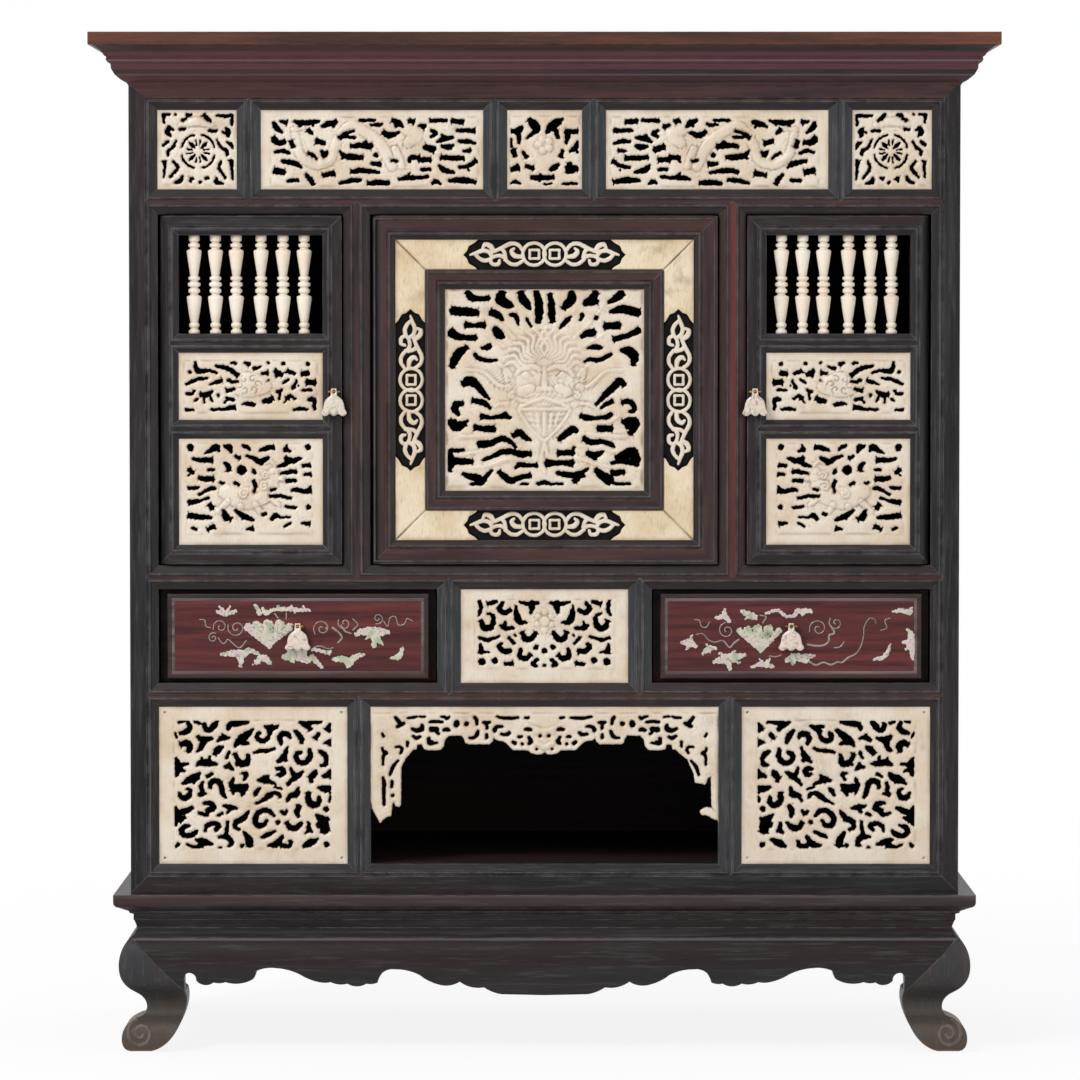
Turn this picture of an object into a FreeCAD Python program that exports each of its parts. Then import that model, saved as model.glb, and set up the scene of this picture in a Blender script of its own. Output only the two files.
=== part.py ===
import FreeCAD
import Part
import math
import os

# Table cabinet on a low stand, in millimetres.
# +Z is up, the front faces -Y, and the origin is under the middle of the object, on the floor.

V = FreeCAD.Vector

# Case, overall
CASE_W = 498.0
CASE_D = 215.0
BOARD_T = 12.0
SHELF_T = 10.0
BACK_T = 8.0

# Heights of the face frame, from the ledge up
STAND_H = 95.5
BOTTOM_RAIL_H = 17.7
NICHE_H = 94.8
DRAWER_RAIL_H = 14.4
DRAWER_ROW_H = 56.4
DOOR_RAIL_H = 14.4
DOOR_ROW_H = 210.6
FRIEZE_RAIL_H = 15.0
FRIEZE_H = 47.4
TOP_RAIL_H = 14.4

# Cornice
CORNICE_H = 23.6
CORNICE_OVERHANG = 22.5
CORNICE_BACKSET = 16.0
TOP_BOARD_T = 7.5

# Face frame sections
FRAME_T = 16.0
STILE_W = 17.0
FRIEZE_MUNTIN_W = 14.4
FRIEZE_OUTER_W = 47.6
FRIEZE_CENTRE_W = 44.8
DOOR_MUNTIN_W = 16.2
CENTRE_DOOR_W = 209.2
DRAWER_MUNTIN_W = 14.2
DRAWER_PANEL_W = 100.6
NICHE_MUNTIN_W = 14.0
NICHE_W = 209.4
FRAME_EDGE = {"slope": 4.0, "drop": 3.0, "reed": 1.0, "groove": 0.7}
FLAT_BAND_GAP = 0.6

# Bone panels
BONE_T = 4.0
BONE_SET_BACK = 3.2
BONE_BORDER = 4.6

# Side doors
DOOR_GAP = 0.8
DOOR_T = 15.0
DOOR_SET_BACK = 1.0
DOOR_STILE_W = 11.6
SPINDLE_H = 59.1
DOOR_CROSSRAIL_H = 11.4
FLOWER_PANEL_H = 40.2
DOOR_EDGE = {"slope": 2.8, "drop": 2.4, "reed": 0.8, "groove": 0.6}
DOOR_BONE_SET_BACK = 2.6
SPINDLE_COUNT = 6
SPINDLE_PITCH = 13.3
SPINDLE_R = 4.6
PIVOT_R = 2.0
PIVOT_L = 5.0
PIVOT_ROOT = 20.0
PIVOT_CLEARANCE = 0.08
PIVOT_END_GAP = 0.4

# Centre door
CENTRE_FRAME_W = 14.4
BAND_W = 18.0
BAND_T = 3.6
BAND_SET_BACK = 1.6
INNER_FRAME_W = 11.6
CENTRE_PANEL_SET_BACK = 4.0
CARTOUCHE_L = 96.6
CARTOUCHE_SHOULDER = 7.0
FRET_T = 2.4
FRET_WALL = 1.6

# Drawers
DRAWER_GAP = 0.8
DRAWER_RUN_GAP = 0.3
DRAWER_WALL = 6.0
DRAWER_BOX_SET_BACK = 9.0
DRAWER_FACE_SET_BACK = 2.5
DRAWER_FACE_MARGIN_X = 5.4
DRAWER_FACE_MARGIN_Z = 2.8
DRAWER_BACK_GAP = 5.0
INLAY_T = 0.6
INLAY_PROUD = 0.1

# Drop pulls and their staples
WIRE_R = 0.7
PULL_HOLE_R = 1.1
PULL_T = 3.2
PULL_W = 15.6
PULL_DROP = 14.6
PULL_TAB_W = 3.8
PULL_TAB_UP = 2.0
PULL_SIDE_GAP = 0.5
STAPLE_REACH = 3.6
STAPLE_DEPTH = 4.0
DOOR_PULL_EDGE = 4.6
DOOR_PULL_Z = 104.4
DRAWER_PULL_Z = 31.4

# Stand
LEDGE_T = 7.8
LEDGE_OVERHANG = 10.0
WAIST_H = 19.2
KNEE_OVERHANG = 7.0
APRON_T = 14.0
WAIST_T = 14.0
BACK_LEG_W = 26.0
BACK_LEG_TAPER = 2.0
BACK_APRON_H = 14.0

# Derived places
FRONT = -(CASE_D - CORNICE_OVERHANG) / 2
BACK = FRONT + CASE_D
HALF_W = CASE_W / 2
INNER_X = HALF_W - STILE_W
BEHIND_FRAME = FRONT + FRAME_T
INSIDE_BACK = BACK - BACK_T
CASE_INSIDE_X = HALF_W - BOARD_T

Z_BOTTOM_RAIL = STAND_H
Z_NICHE = Z_BOTTOM_RAIL + BOTTOM_RAIL_H
Z_DRAWER_RAIL = Z_NICHE + NICHE_H
Z_DRAWERS = Z_DRAWER_RAIL + DRAWER_RAIL_H
Z_DOOR_RAIL = Z_DRAWERS + DRAWER_ROW_H
Z_DOORS = Z_DOOR_RAIL + DOOR_RAIL_H
Z_FRIEZE_RAIL = Z_DOORS + DOOR_ROW_H
Z_FRIEZE = Z_FRIEZE_RAIL + FRIEZE_RAIL_H
Z_TOP_RAIL = Z_FRIEZE + FRIEZE_H
Z_CASE_TOP = Z_TOP_RAIL + TOP_RAIL_H
Z_TOP_BOARD = Z_CASE_TOP + CORNICE_H

LEDGE_LOW = STAND_H - LEDGE_T
APRON_TOP_Z = LEDGE_LOW - WAIST_H

DOOR_MUNTIN_X = CENTRE_DOOR_W / 2 + DOOR_MUNTIN_W / 2
DRAWER_MUNTIN_X = DRAWER_PANEL_W / 2 + DRAWER_MUNTIN_W / 2
NICHE_MUNTIN_X = NICHE_W / 2 + NICHE_MUNTIN_W / 2
FRIEZE_INNER_X = FRIEZE_CENTRE_W / 2 + FRIEZE_MUNTIN_W / 2
FRIEZE_OUTER_X = INNER_X - FRIEZE_OUTER_W - FRIEZE_MUNTIN_W / 2


# Basic shapes

def box(x0, x1, y0, y1, z0, z1):
    """A block between two corners."""
    return Part.makeBox(x1 - x0, y1 - y0, z1 - z0, V(x0, y0, z0))


def polygon_face(points):
    """A flat face with straight edges through the given points."""
    return Part.Face(Part.makePolygon(list(points) + [points[0]]))


def upright_prism(points_xz, y0, y1):
    """An outline in the XZ plane carried from y0 to y1."""
    face = polygon_face([V(x, y0, z) for x, z in points_xz])
    return face.extrude(V(0, y1 - y0, 0))


def mirrored(shape):
    """The same piece on the other side of the middle plane."""
    return shape.mirror(V(0, 0, 0), V(1, 0, 0))


def both_sides(shape):
    """A piece with its mirror image."""
    return [shape, mirrored(shape)]


def cylinder(radius, start, end):
    """A round rod between two points."""
    line = end - start
    return Part.makeCylinder(radius, line.Length, start, line)


def save(name, shapes):
    """Write one node, a single solid or a group of solids."""
    solids = [solid for shape in shapes for solid in shape.Solids]
    shape = solids[0] if len(solids) == 1 else Part.makeCompound(solids)
    shape.exportStep("parts/" + name + ".step")


def cut_all(shape, tools):
    """A shape with every tool taken out of it."""
    return shape.cut(tools) if tools else shape


# Moulded bars: u runs across the bar, v goes back from its front face

def edge_section(edge):
    """A sloping edge, then a reed and a shallow groove, from the opening inwards."""
    reed_start = edge["slope"] + 0.15 * edge["slope"]
    reed_end = reed_start + edge["reed"]
    return [
        (0.0, edge["drop"]),
        (edge["slope"], 0.3 * edge["drop"]),
        (reed_start, 0.0),
        (reed_end, 0.0),
        (reed_end + 0.5 * edge["groove"], edge["groove"]),
    ]


def two_edged_section(width, thickness, edge):
    """The section of a bar with an opening on both sides."""
    near = edge_section(edge)
    far = [(width - u, v) for u, v in reversed(near)]
    return [(0.0, thickness)] + near + far + [(width, thickness)]


def one_edged_section(width, thickness, edge):
    """The section of a bar with an opening at u = 0 and a flat outer band."""
    near = edge_section(edge)
    groove_end = near[-1][0] + FLAT_BAND_GAP
    band = [(groove_end, edge["groove"]), (groove_end + edge["groove"], 0.0), (width, 0.0)]
    return [(0.0, thickness)] + near + band + [(width, thickness)]


def bar_x(section, x0, x1, y_front, z_edge, side):
    """A moulded bar along X. side is 1 where u grows upwards and -1 where it grows downwards."""
    face = polygon_face([V(x0, y_front + v, z_edge + side * u) for u, v in section])
    return face.extrude(V(x1 - x0, 0, 0))


def bar_z(section, z0, z1, y_front, x_edge, side):
    """A moulded bar along Z. side is 1 where u grows towards +X and -1 towards -X."""
    face = polygon_face([V(x_edge + side * u, y_front + v, z0) for u, v in section])
    return face.extrude(V(0, 0, z1 - z0))


def pointed_outline_z(x_mid, width, z0, z1):
    """The front outline of an upright bar whose ends run out to points past z0 and z1."""
    half = width / 2
    return [
        (x_mid - half, z0), (x_mid, z0 - half), (x_mid + half, z0),
        (x_mid + half, z1), (x_mid, z1 + half), (x_mid - half, z1),
    ]


def pointed_outline_x(x0, x1, z0, height):
    """The front outline of a level bar whose ends run out to points past x0 and x1."""
    half = height / 2
    return [
        (x0, z0), (x1, z0), (x1 + half, z0 + half),
        (x1, z0 + height), (x0, z0 + height), (x0 - half, z0 + half),
    ]


def pointed_bar_z(x_mid, width, z0, z1, y_front, thickness, edge):
    """An upright pointed bar, and the plain prism that its neighbours are cut back by."""
    half = width / 2
    section = two_edged_section(width, thickness, edge)
    bar = bar_z(section, z0 - half, z1 + half, y_front, x_mid - half, 1)
    room = upright_prism(pointed_outline_z(x_mid, width, z0, z1), y_front, y_front + thickness)
    return bar.common(room), room


def pointed_bar_x(x0, x1, z0, height, y_front, thickness, edge):
    """A level pointed bar, and the plain prism that its neighbours are cut back by."""
    half = height / 2
    section = two_edged_section(height, thickness, edge)
    bar = bar_x(section, x0 - half, x1 + half, y_front, z0, 1)
    room = upright_prism(pointed_outline_x(x0, x1, z0, height), y_front, y_front + thickness)
    return bar.common(room), room


def mitred_frame(outer, width, thickness, y_front, section):
    """Four bars round a rectangle, mitred at the corners: left, right, bottom and top."""
    x0, x1, z0, z1 = outer
    corners = [(x0, z0), (x1, z0), (x1, z1), (x0, z1)]
    inner = [(x0 + width, z0 + width), (x1 - width, z0 + width),
             (x1 - width, z1 - width), (x0 + width, z1 - width)]
    bars = [
        bar_z(section, z0, z1, y_front, x0 + width, -1),
        bar_z(section, z0, z1, y_front, x1 - width, 1),
        bar_x(section, x0, x1, y_front, z0 + width, -1),
        bar_x(section, x0, x1, y_front, z1 - width, 1),
    ]
    sides = [(0, 3), (1, 2), (0, 1), (3, 2)]
    pieces = []
    for bar, (a, b) in zip(bars, sides):
        outline = [corners[a], corners[b], inner[b], inner[a]]
        pieces.append(bar.common(upright_prism(outline, y_front, y_front + thickness)))
    return pieces


# Pierced bone plates: every hole is a closed wire in the XZ plane at y = 0

def slot_hole(x, z, length, height, turn):
    """A straight slot with round ends, turned by an angle in degrees."""
    reach = max(length - height, 0.2 * height) / 2
    r = height / 2
    edges = [
        Part.makeLine(V(-reach, 0, -r), V(reach, 0, -r)),
        Part.Arc(V(reach, 0, -r), V(reach + r, 0, 0), V(reach, 0, r)).toShape(),
        Part.makeLine(V(reach, 0, r), V(-reach, 0, r)),
        Part.Arc(V(-reach, 0, r), V(-reach - r, 0, 0), V(-reach, 0, -r)).toShape(),
    ]
    wire = Part.Wire(edges)
    wire.rotate(V(0, 0, 0), V(0, 1, 0), turn)
    wire.translate(V(x, 0, z))
    return wire


def curved_hole(x, z, radius, height, start, sweep):
    """A slot bent round a centre, from a start angle through a sweep, in degrees."""
    outer = radius + height / 2
    inner = radius - height / 2

    def at(distance, angle):
        turn = math.radians(angle)
        return V(x + distance * math.cos(turn), 0, z + distance * math.sin(turn))

    def cap(angle, sign):
        turn = math.radians(angle)
        tangent = V(-math.sin(turn), 0, math.cos(turn)) * (sign * height / 2)
        return at(radius, angle) + tangent

    end = start + sweep
    middle = start + sweep / 2
    edges = [
        Part.Arc(at(outer, start), at(outer, middle), at(outer, end)).toShape(),
        Part.Arc(at(outer, end), cap(end, 1), at(inner, end)).toShape(),
        Part.Arc(at(inner, end), at(inner, middle), at(inner, start)).toShape(),
        Part.Arc(at(inner, start), cap(start, -1), at(outer, start)).toShape(),
    ]
    return Part.Wire(edges)


def pierced_plate(x_mid, z_mid, width, height, thickness, y_front, holes):
    """A flat plate with holes, which are placed from the plate's middle."""
    half_w = width / 2
    half_h = height / 2
    outline = Part.makePolygon([
        V(-half_w, 0, -half_h), V(half_w, 0, -half_h), V(half_w, 0, half_h),
        V(-half_w, 0, half_h), V(-half_w, 0, -half_h),
    ])
    face = Part.Face([outline] + holes, "Part::FaceMakerBullseye")
    plate = face.extrude(V(0, thickness, 0))
    plate.translate(V(x_mid, y_front, z_mid))
    return plate


def cloud_holes(width, height, motif_w, motif_h, columns, rows):
    """Rows of slits like drifting cloud, staggered, left whole inside a middle oval."""
    step_x = (width - 2 * BONE_BORDER) / columns
    step_z = (height - 2 * BONE_BORDER) / rows
    holes = []
    for row in range(rows):
        shift = 0.25 if row % 2 else -0.25
        z = (row + 0.5) * step_z - rows * step_z / 2
        for column in range(columns):
            x = (column + 0.5 + shift) * step_x - columns * step_x / 2
            if (2 * x / motif_w) ** 2 + (2 * z / motif_h) ** 2 < 1.0:
                continue
            length = min(step_x, step_x * (0.55 + 0.12 * math.sin(2.1 * row + 1.3 * column)))
            holes.append(slot_hole(x, z, length, 0.46 * step_z, 14 * math.sin(1.7 * row + column)))
    return holes


# Bent slots of the vine: the first one's start, the turn between neighbours and the bend of each
VINE_START_DEG = 35
VINE_TURN_DEG = 90
VINE_BEND_DEG = 115


def vine_holes(width, height, columns, rows):
    """Scrolling vine: each cell holds two bent slots that curl round one another."""
    step_x = (width - 2 * BONE_BORDER) / columns
    step_z = (height - 2 * BONE_BORDER) / rows
    cell = min(step_x, step_z)
    holes = []
    for row in range(rows):
        z = (row + 0.5) * step_z - rows * step_z / 2
        for column in range(columns):
            x = (column + 0.5) * step_x - columns * step_x / 2
            start = VINE_START_DEG + VINE_TURN_DEG * ((row + column) % 2)
            for turn in (0, 180):
                holes.append(curved_hole(x, z, 0.29 * cell, 0.2 * cell, start + turn, VINE_BEND_DEG))
    return holes


def bone_plate(x0, x1, z0, z1, set_back, holes_for):
    """A pierced plate that fills an opening from edge to edge."""
    width = x1 - x0
    height = z1 - z0
    holes = holes_for(width, height)
    y_front = FRONT + set_back
    return pierced_plate((x0 + x1) / 2, (z0 + z1) / 2, width, height, BONE_T, y_front, holes)


# Stand

def section_ring(section, inner_depth):
    """A moulding round the front and sides of the stand, mitred, with a plain back length.

    section holds (overhang past the case, height) pairs from the bottom up.
    """
    low = section[0][1]
    high = section[-1][1]
    reach = max(u for u, _ in section)
    front_face = polygon_face(
        [V(0, FRONT - u, z) for u, z in section]
        + [V(0, FRONT + inner_depth, high), V(0, FRONT + inner_depth, low)]
    )
    span = HALF_W + reach
    front = front_face.extrude(V(2 * span, 0, 0))
    front.translate(V(-span, 0, 0))
    plan = [
        V(-HALF_W - reach, FRONT - reach, low), V(HALF_W + reach, FRONT - reach, low),
        V(HALF_W - inner_depth, FRONT + inner_depth, low),
        V(-HALF_W + inner_depth, FRONT + inner_depth, low),
    ]
    front = front.common(polygon_face(plan).extrude(V(0, 0, high - low)))
    side_face = polygon_face(
        [V(HALF_W + u, 0, z) for u, z in section]
        + [V(HALF_W - inner_depth, 0, high), V(HALF_W - inner_depth, 0, low)]
    )
    side = side_face.extrude(V(0, BACK - FRONT + reach, 0))
    side.translate(V(0, FRONT - reach, 0))
    corner = [
        V(HALF_W + reach, FRONT - reach, low), V(HALF_W - inner_depth, FRONT + inner_depth, low),
        V(HALF_W - inner_depth, BACK, low), V(HALF_W + reach, BACK, low),
    ]
    side = side.common(polygon_face(corner).extrude(V(0, 0, high - low)))
    return front, side


def spline_edge(points):
    """A smooth edge through points."""
    curve = Part.BSplineCurve()
    curve.interpolate(points)
    return curve.toShape()


# The leg and apron outlines are drawn at this height and fitted to the real one
DRAWN_LEG_H = 68.5
DRAWN_HALF_SPAN = 256.0

# The slanted joint between leg and apron: how far in from the knee it starts and ends, and its drawn ends
MITRE_TOP_IN = 7.6
MITRE_LOW_IN = 39.4
MITRE_LOW_DRAWN_Z = 36.2
MITRE_TIP_DRAWN_Z = 30.0

# Outlines of leg and apron below the knee's top: distance in from the knee and drawn height
KNEE_TOP_IN = 6.0
KNEE_TO_NECK = [(1.4, 61.0), (0.0, 53.0), (1.4, 44.5), (6.7, 37.6), (13.2, 32.6), (15.8, 27.0), (13.4, 21.0)]
FOOT_SCROLL = [(9.0, 19.4), (4.0, 15.8), (1.6, 9.0), (3.0, 2.6), (8.0, 0.0)]
LEG_INNER_SIDE = [(18.0, 0.0), (30.0, 7.0), (37.0, 18.0), (40.0, 32.0)]
BACK_LEG_SIDE = [(0.0, 53.0), (6.7, 37.6), (12.0, 27.0), (10.0, 18.0), (2.0, 9.0), (3.0, 0.0)]
BACK_LEG_TAPER_DRAWN_Z = 27.0
APRON_BULGE = [(1.4, 61.0), (0.0, 53.0), (1.4, 44.5), (6.0, 38.0), (9.5, 32.0)]
LEG_BLANK = 60.0

# Lower edge of a side apron: distance from the back leg or from the knee, and drawn height
SIDE_ARCH_BACK = [(0.0, 40.0), (18.0, 44.0)]
SIDE_ARCH_FRONT = [(76.0, 47.0), (58.0, 43.0), (44.0, 41.0)]


def leg_z(z):
    """A drawn height on the leg or apron, fitted to the stand."""
    return z * APRON_TOP_Z / DRAWN_LEG_H


def leg_outline(point):
    """The leg's side view as a face. point turns (distance in from the knee, height) to a place."""
    def place(u, z):
        return point(u, leg_z(z))

    knee_top = (KNEE_TOP_IN, DRAWN_LEG_H)
    mitre_top = (MITRE_TOP_IN, DRAWN_LEG_H)
    mitre_low = (MITRE_LOW_IN, MITRE_LOW_DRAWN_Z)
    edges = [
        spline_edge([place(u, z) for u, z in [knee_top] + KNEE_TO_NECK]),
        spline_edge([place(u, z) for u, z in KNEE_TO_NECK[-1:] + FOOT_SCROLL]),
        Part.makeLine(place(*FOOT_SCROLL[-1]), place(*LEG_INNER_SIDE[0])),
        spline_edge([place(u, z) for u, z in LEG_INNER_SIDE + [mitre_low]]),
        Part.makeLine(place(*mitre_low), place(*mitre_top)),
        Part.makeLine(place(*mitre_top), place(*knee_top)),
    ]
    return Part.Face(Part.Wire(edges))


def front_leg():
    """The right front leg: its outline from the front crossed with the same outline from the side."""
    knee_x = HALF_W + KNEE_OVERHANG
    knee_y = FRONT - KNEE_OVERHANG
    from_front = leg_outline(lambda u, z: V(knee_x - u, knee_y, z)).extrude(V(0, LEG_BLANK, 0))
    from_side = leg_outline(lambda u, z: V(knee_x, knee_y + u, z)).extrude(V(-LEG_BLANK, 0, 0))
    return from_front.common(from_side)


def back_leg():
    """The right back leg, a plain tapered post that ends in a small toe."""
    knee_x = HALF_W + KNEE_OVERHANG
    outer_side = [(KNEE_TOP_IN, DRAWN_LEG_H)] + BACK_LEG_SIDE
    outline = [(knee_x - u, leg_z(z)) for u, z in outer_side]
    inner_x = knee_x - BACK_LEG_W
    outline += [(inner_x + BACK_LEG_TAPER, 0.0), (inner_x, leg_z(BACK_LEG_TAPER_DRAWN_Z)),
                (inner_x, APRON_TOP_Z)]
    return upright_prism(outline, BACK - BACK_LEG_W, BACK)


def apron_face(point):
    """The bulging section of an apron. point turns (distance in from the knee, height) to a place."""
    def place(u, z):
        return point(u, leg_z(z))

    knee_top = (KNEE_TOP_IN, DRAWN_LEG_H)
    low_z = APRON_BULGE[-1][1]
    edges = [
        spline_edge([place(u, z) for u, z in [knee_top] + APRON_BULGE]),
        Part.makeLine(place(*APRON_BULGE[-1]), place(APRON_T, low_z)),
        Part.makeLine(place(APRON_T, low_z), place(APRON_T, DRAWN_LEG_H)),
        Part.makeLine(place(APRON_T, DRAWN_LEG_H), place(*knee_top)),
    ]
    return Part.Face(Part.Wire(edges))


def arc_chain(points):
    """Edges through (x, z, rise): each arc stands rise above or below its chord."""
    edges = []
    for (x0, z0, _), (x1, z1, rise) in zip(points, points[1:]):
        start = V(x0, 0, z0)
        end = V(x1, 0, z1)
        if abs(rise) < 0.01:
            edges.append(Part.makeLine(start, end))
            continue
        chord = end - start
        normal = V(-chord.z, 0, chord.x)
        normal.normalize()
        edges.append(Part.Arc(start, (start + end) * 0.5 + normal * rise, end).toShape())
    return edges


# The front apron's lower edge from the middle to the leg: x, z, and the rise of the arc that ends there
SCALLOPS = [
    (0.0, 33.8, 0.0), (26.0, 34.4, 0.0), (36.4, 38.9, -0.7), (39.0, 38.6, 0.0), (51.0, 42.7, -1.2),
    (63.6, 40.8, -1.5), (75.0, 46.9, -0.7), (90.0, 50.5, 1.0), (97.4, 48.4, 0.8), (100.4, 42.2, 0.4),
    (107.2, 41.4, -0.6), (118.6, 41.4, -1.8), (128.6, 42.4, -1.0), (135.6, 42.4, -0.4),
    (147.0, 47.3, -0.6), (161.4, 51.2, 0.8), (173.4, 49.4, 0.9), (175.4, 44.3, -0.6),
    (192.0, 42.4, -1.9), (199.2, 42.2, -0.6), (209.6, 43.6, -2.4), (213.0, 48.2, 1.2), (216.6, 45.6, 1.0),
]


def plan_prism(points_xy):
    """An outline in plan carried up through the height of the legs."""
    return polygon_face([V(x, y, 0) for x, y in points_xy]).extrude(V(0, 0, APRON_TOP_Z))


def front_apron():
    """The front apron: a bulging bar, mitred at its ends, its lower edge sawn to the scalloped line."""
    knee_y = FRONT - KNEE_OVERHANG
    span = HALF_W + KNEE_OVERHANG
    bar = apron_face(lambda u, z: V(-span, knee_y + u, z)).extrude(V(2 * span, 0, 0))
    stretch = span / DRAWN_HALF_SPAN
    right = [(x * stretch, leg_z(z), rise) for x, z, rise in SCALLOPS]
    edges = arc_chain(right)
    end = V(right[-1][0], 0, right[-1][1])
    low = V(right[-1][0], 0, 0)
    start = V(right[0][0], 0, right[0][1])
    edges += [Part.makeLine(end, low), Part.makeLine(low, V(0, 0, 0)), Part.makeLine(V(0, 0, 0), start)]
    waste = Part.Face(Part.Wire(edges)).extrude(V(0, APRON_T + 1.0, 0))
    waste.translate(V(0, knee_y - 0.5, 0))
    right_end = [(span - MITRE_TOP_IN, APRON_TOP_Z), (span - MITRE_LOW_IN, leg_z(MITRE_LOW_DRAWN_Z)),
                 (span - MITRE_LOW_IN, leg_z(MITRE_TIP_DRAWN_Z))]
    mitre = right_end + [(-x, z) for x, z in reversed(right_end)]
    bar = bar.common(upright_prism(mitre, knee_y - 0.5, knee_y + APRON_T + 0.5))
    bar = bar.common(plan_prism([(-span, knee_y), (span, knee_y), (span - APRON_T, knee_y + APRON_T),
                                 (-span + APRON_T, knee_y + APRON_T)]))
    return cut_all(bar, both_sides(waste))


def side_apron():
    """The right apron, mitred to the front one, with a plain arched lower edge, up to the back leg."""
    knee_x = HALF_W + KNEE_OVERHANG
    y0 = FRONT - KNEE_OVERHANG
    y_end = BACK - BACK_LEG_W
    bar = apron_face(lambda u, z: V(knee_x - u, y0, z)).extrude(V(0, y_end - y0, 0))
    side_mitre = [V(0, y0 + MITRE_TOP_IN, APRON_TOP_Z), V(0, y_end, APRON_TOP_Z)]
    side_mitre += [V(0, y_end - y, leg_z(z)) for y, z in SIDE_ARCH_BACK]
    side_mitre += [V(0, y0 + y, leg_z(z)) for y, z in SIDE_ARCH_FRONT]
    side_mitre.append(V(0, y0 + MITRE_LOW_IN, leg_z(MITRE_LOW_DRAWN_Z)))
    keep = polygon_face(side_mitre).extrude(V(HALF_W * 2, 0, 0))
    corner = plan_prism([(knee_x, y0), (knee_x, y_end), (knee_x - APRON_T, y_end),
                         (knee_x - APRON_T, y0 + APRON_T)])
    return bar.common(keep).common(corner)


def build_stand():
    """Ledge, waist, aprons and legs."""
    ledge = box(-HALF_W - LEDGE_OVERHANG, HALF_W + LEDGE_OVERHANG, FRONT - LEDGE_OVERHANG, BACK,
                LEDGE_LOW, STAND_H)
    nose = LEDGE_T * 0.45
    front_edges = [e for e in ledge.Edges if e.BoundBox.ZMax < LEDGE_LOW + 0.01
                   and (e.BoundBox.YMax < FRONT or abs(e.BoundBox.XMin) > HALF_W)]
    front_edges = [e for e in front_edges if e.BoundBox.XLength > BOARD_T or e.BoundBox.YLength > BOARD_T]
    front_edges = [e for e in front_edges if e.BoundBox.YMin < BACK - 1.0]
    save("stand_ledge", [ledge.makeFillet(nose, front_edges)])

    drawn = [(0.4, 0.0), (-1.6, 0.13), (-3.6, 0.31), (-2.0, 0.54), (-1.4, 0.58), (-1.4, 0.76), (0.8, 0.8),
             (1.2, 0.86), (7.0, 1.0)]
    waist_section = [(u, APRON_TOP_Z + share * WAIST_H) for u, share in drawn]
    waist_front, waist_side = section_ring(waist_section, WAIST_T)
    waist_back = box(-HALF_W + WAIST_T, HALF_W - WAIST_T, BACK - WAIST_T, BACK, APRON_TOP_Z, LEDGE_LOW)
    save("stand_waist", [waist_front] + both_sides(waist_side) + [waist_back])

    save("legs_front", both_sides(front_leg()))
    save("legs_back", both_sides(back_leg()))
    save("apron_front", [front_apron()])
    save("apron_sides", both_sides(side_apron()))
    inner = HALF_W + KNEE_OVERHANG - BACK_LEG_W
    save("apron_back", [box(-inner, inner, BACK - APRON_T, BACK, APRON_TOP_Z - BACK_APRON_H, APRON_TOP_Z)])


# Case and cornice

def build_case():
    """The boards of the case and its inner shelves and dividers."""
    def shelf(z_top):
        return box(-CASE_INSIDE_X, CASE_INSIDE_X, BEHIND_FRAME, INSIDE_BACK, z_top - SHELF_T, z_top)

    side = box(CASE_INSIDE_X, HALF_W, BEHIND_FRAME, BACK, STAND_H, Z_CASE_TOP)
    save("case_side_right", [side])
    save("case_side_left", [mirrored(side)])
    save("case_back", [box(-CASE_INSIDE_X, CASE_INSIDE_X, INSIDE_BACK, BACK, STAND_H, Z_CASE_TOP)])
    save("case_bottom", [box(-CASE_INSIDE_X, CASE_INSIDE_X, BEHIND_FRAME, INSIDE_BACK,
                             Z_NICHE - BOARD_T, Z_NICHE)])
    save("case_top", [shelf(Z_CASE_TOP)])
    save("niche_shelf", [shelf(Z_DRAWERS)])
    save("drawer_shelf", [shelf(Z_DOORS)])
    save("cupboard_top", [shelf(Z_FRIEZE_RAIL + SHELF_T)])
    half = SHELF_T / 2
    cupboard = box(DOOR_MUNTIN_X - half, DOOR_MUNTIN_X + half, BEHIND_FRAME, INSIDE_BACK,
                   Z_DOORS, Z_FRIEZE_RAIL)
    drawer = box(DRAWER_MUNTIN_X - half, DRAWER_MUNTIN_X + half, BEHIND_FRAME, INSIDE_BACK,
                 Z_DRAWERS, Z_DOORS - SHELF_T)
    save("dividers", both_sides(cupboard) + both_sides(drawer))


def build_cornice():
    """The stepped cornice moulding, mitred at the front corners, and the top board."""
    drawn = [(0.0, 0.0), (0.04, 0.07), (0.18, 0.14), (0.34, 0.27), (0.43, 0.42), (0.44, 0.53), (0.52, 0.58),
             (0.56, 0.64), (0.54, 0.7), (0.6, 0.74), (0.68, 0.86), (0.83, 0.96), (0.91, 1.0)]
    section = [(u * CORNICE_OVERHANG, Z_CASE_TOP + share * CORNICE_H) for u, share in drawn]
    front, side = section_ring(section, CORNICE_BACKSET)
    inner = HALF_W - CORNICE_BACKSET
    back = box(-inner, inner, BACK - CORNICE_BACKSET, BACK, Z_CASE_TOP, Z_TOP_BOARD)
    save("cornice_moulding", [front] + both_sides(side) + [back])
    reach = HALF_W + CORNICE_OVERHANG
    save("top_board", [box(-reach, reach, FRONT - CORNICE_OVERHANG, BACK,
                           Z_TOP_BOARD, Z_TOP_BOARD + TOP_BOARD_T)])


# Face frame

def outer_rail(z_edge, height, side):
    """The top or bottom rail, mitred into the stiles, and the prism that they are cut back by."""
    section = one_edged_section(height, FRAME_T, FRAME_EDGE)
    reach = min(INNER_X + height, HALF_W)
    slant = z_edge + side * (reach - INNER_X)
    z_far = z_edge + side * height
    bar = bar_x(section, -reach, reach, FRONT, z_edge, side)
    outline = [(-INNER_X, z_edge), (INNER_X, z_edge), (reach, slant)]
    if abs(slant - z_far) > 0.001:
        outline += [(reach, z_far), (-reach, z_far)]
    outline += [(-reach, slant)]
    room = upright_prism(outline, FRONT, BEHIND_FRAME)
    return bar.common(room), room


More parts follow.
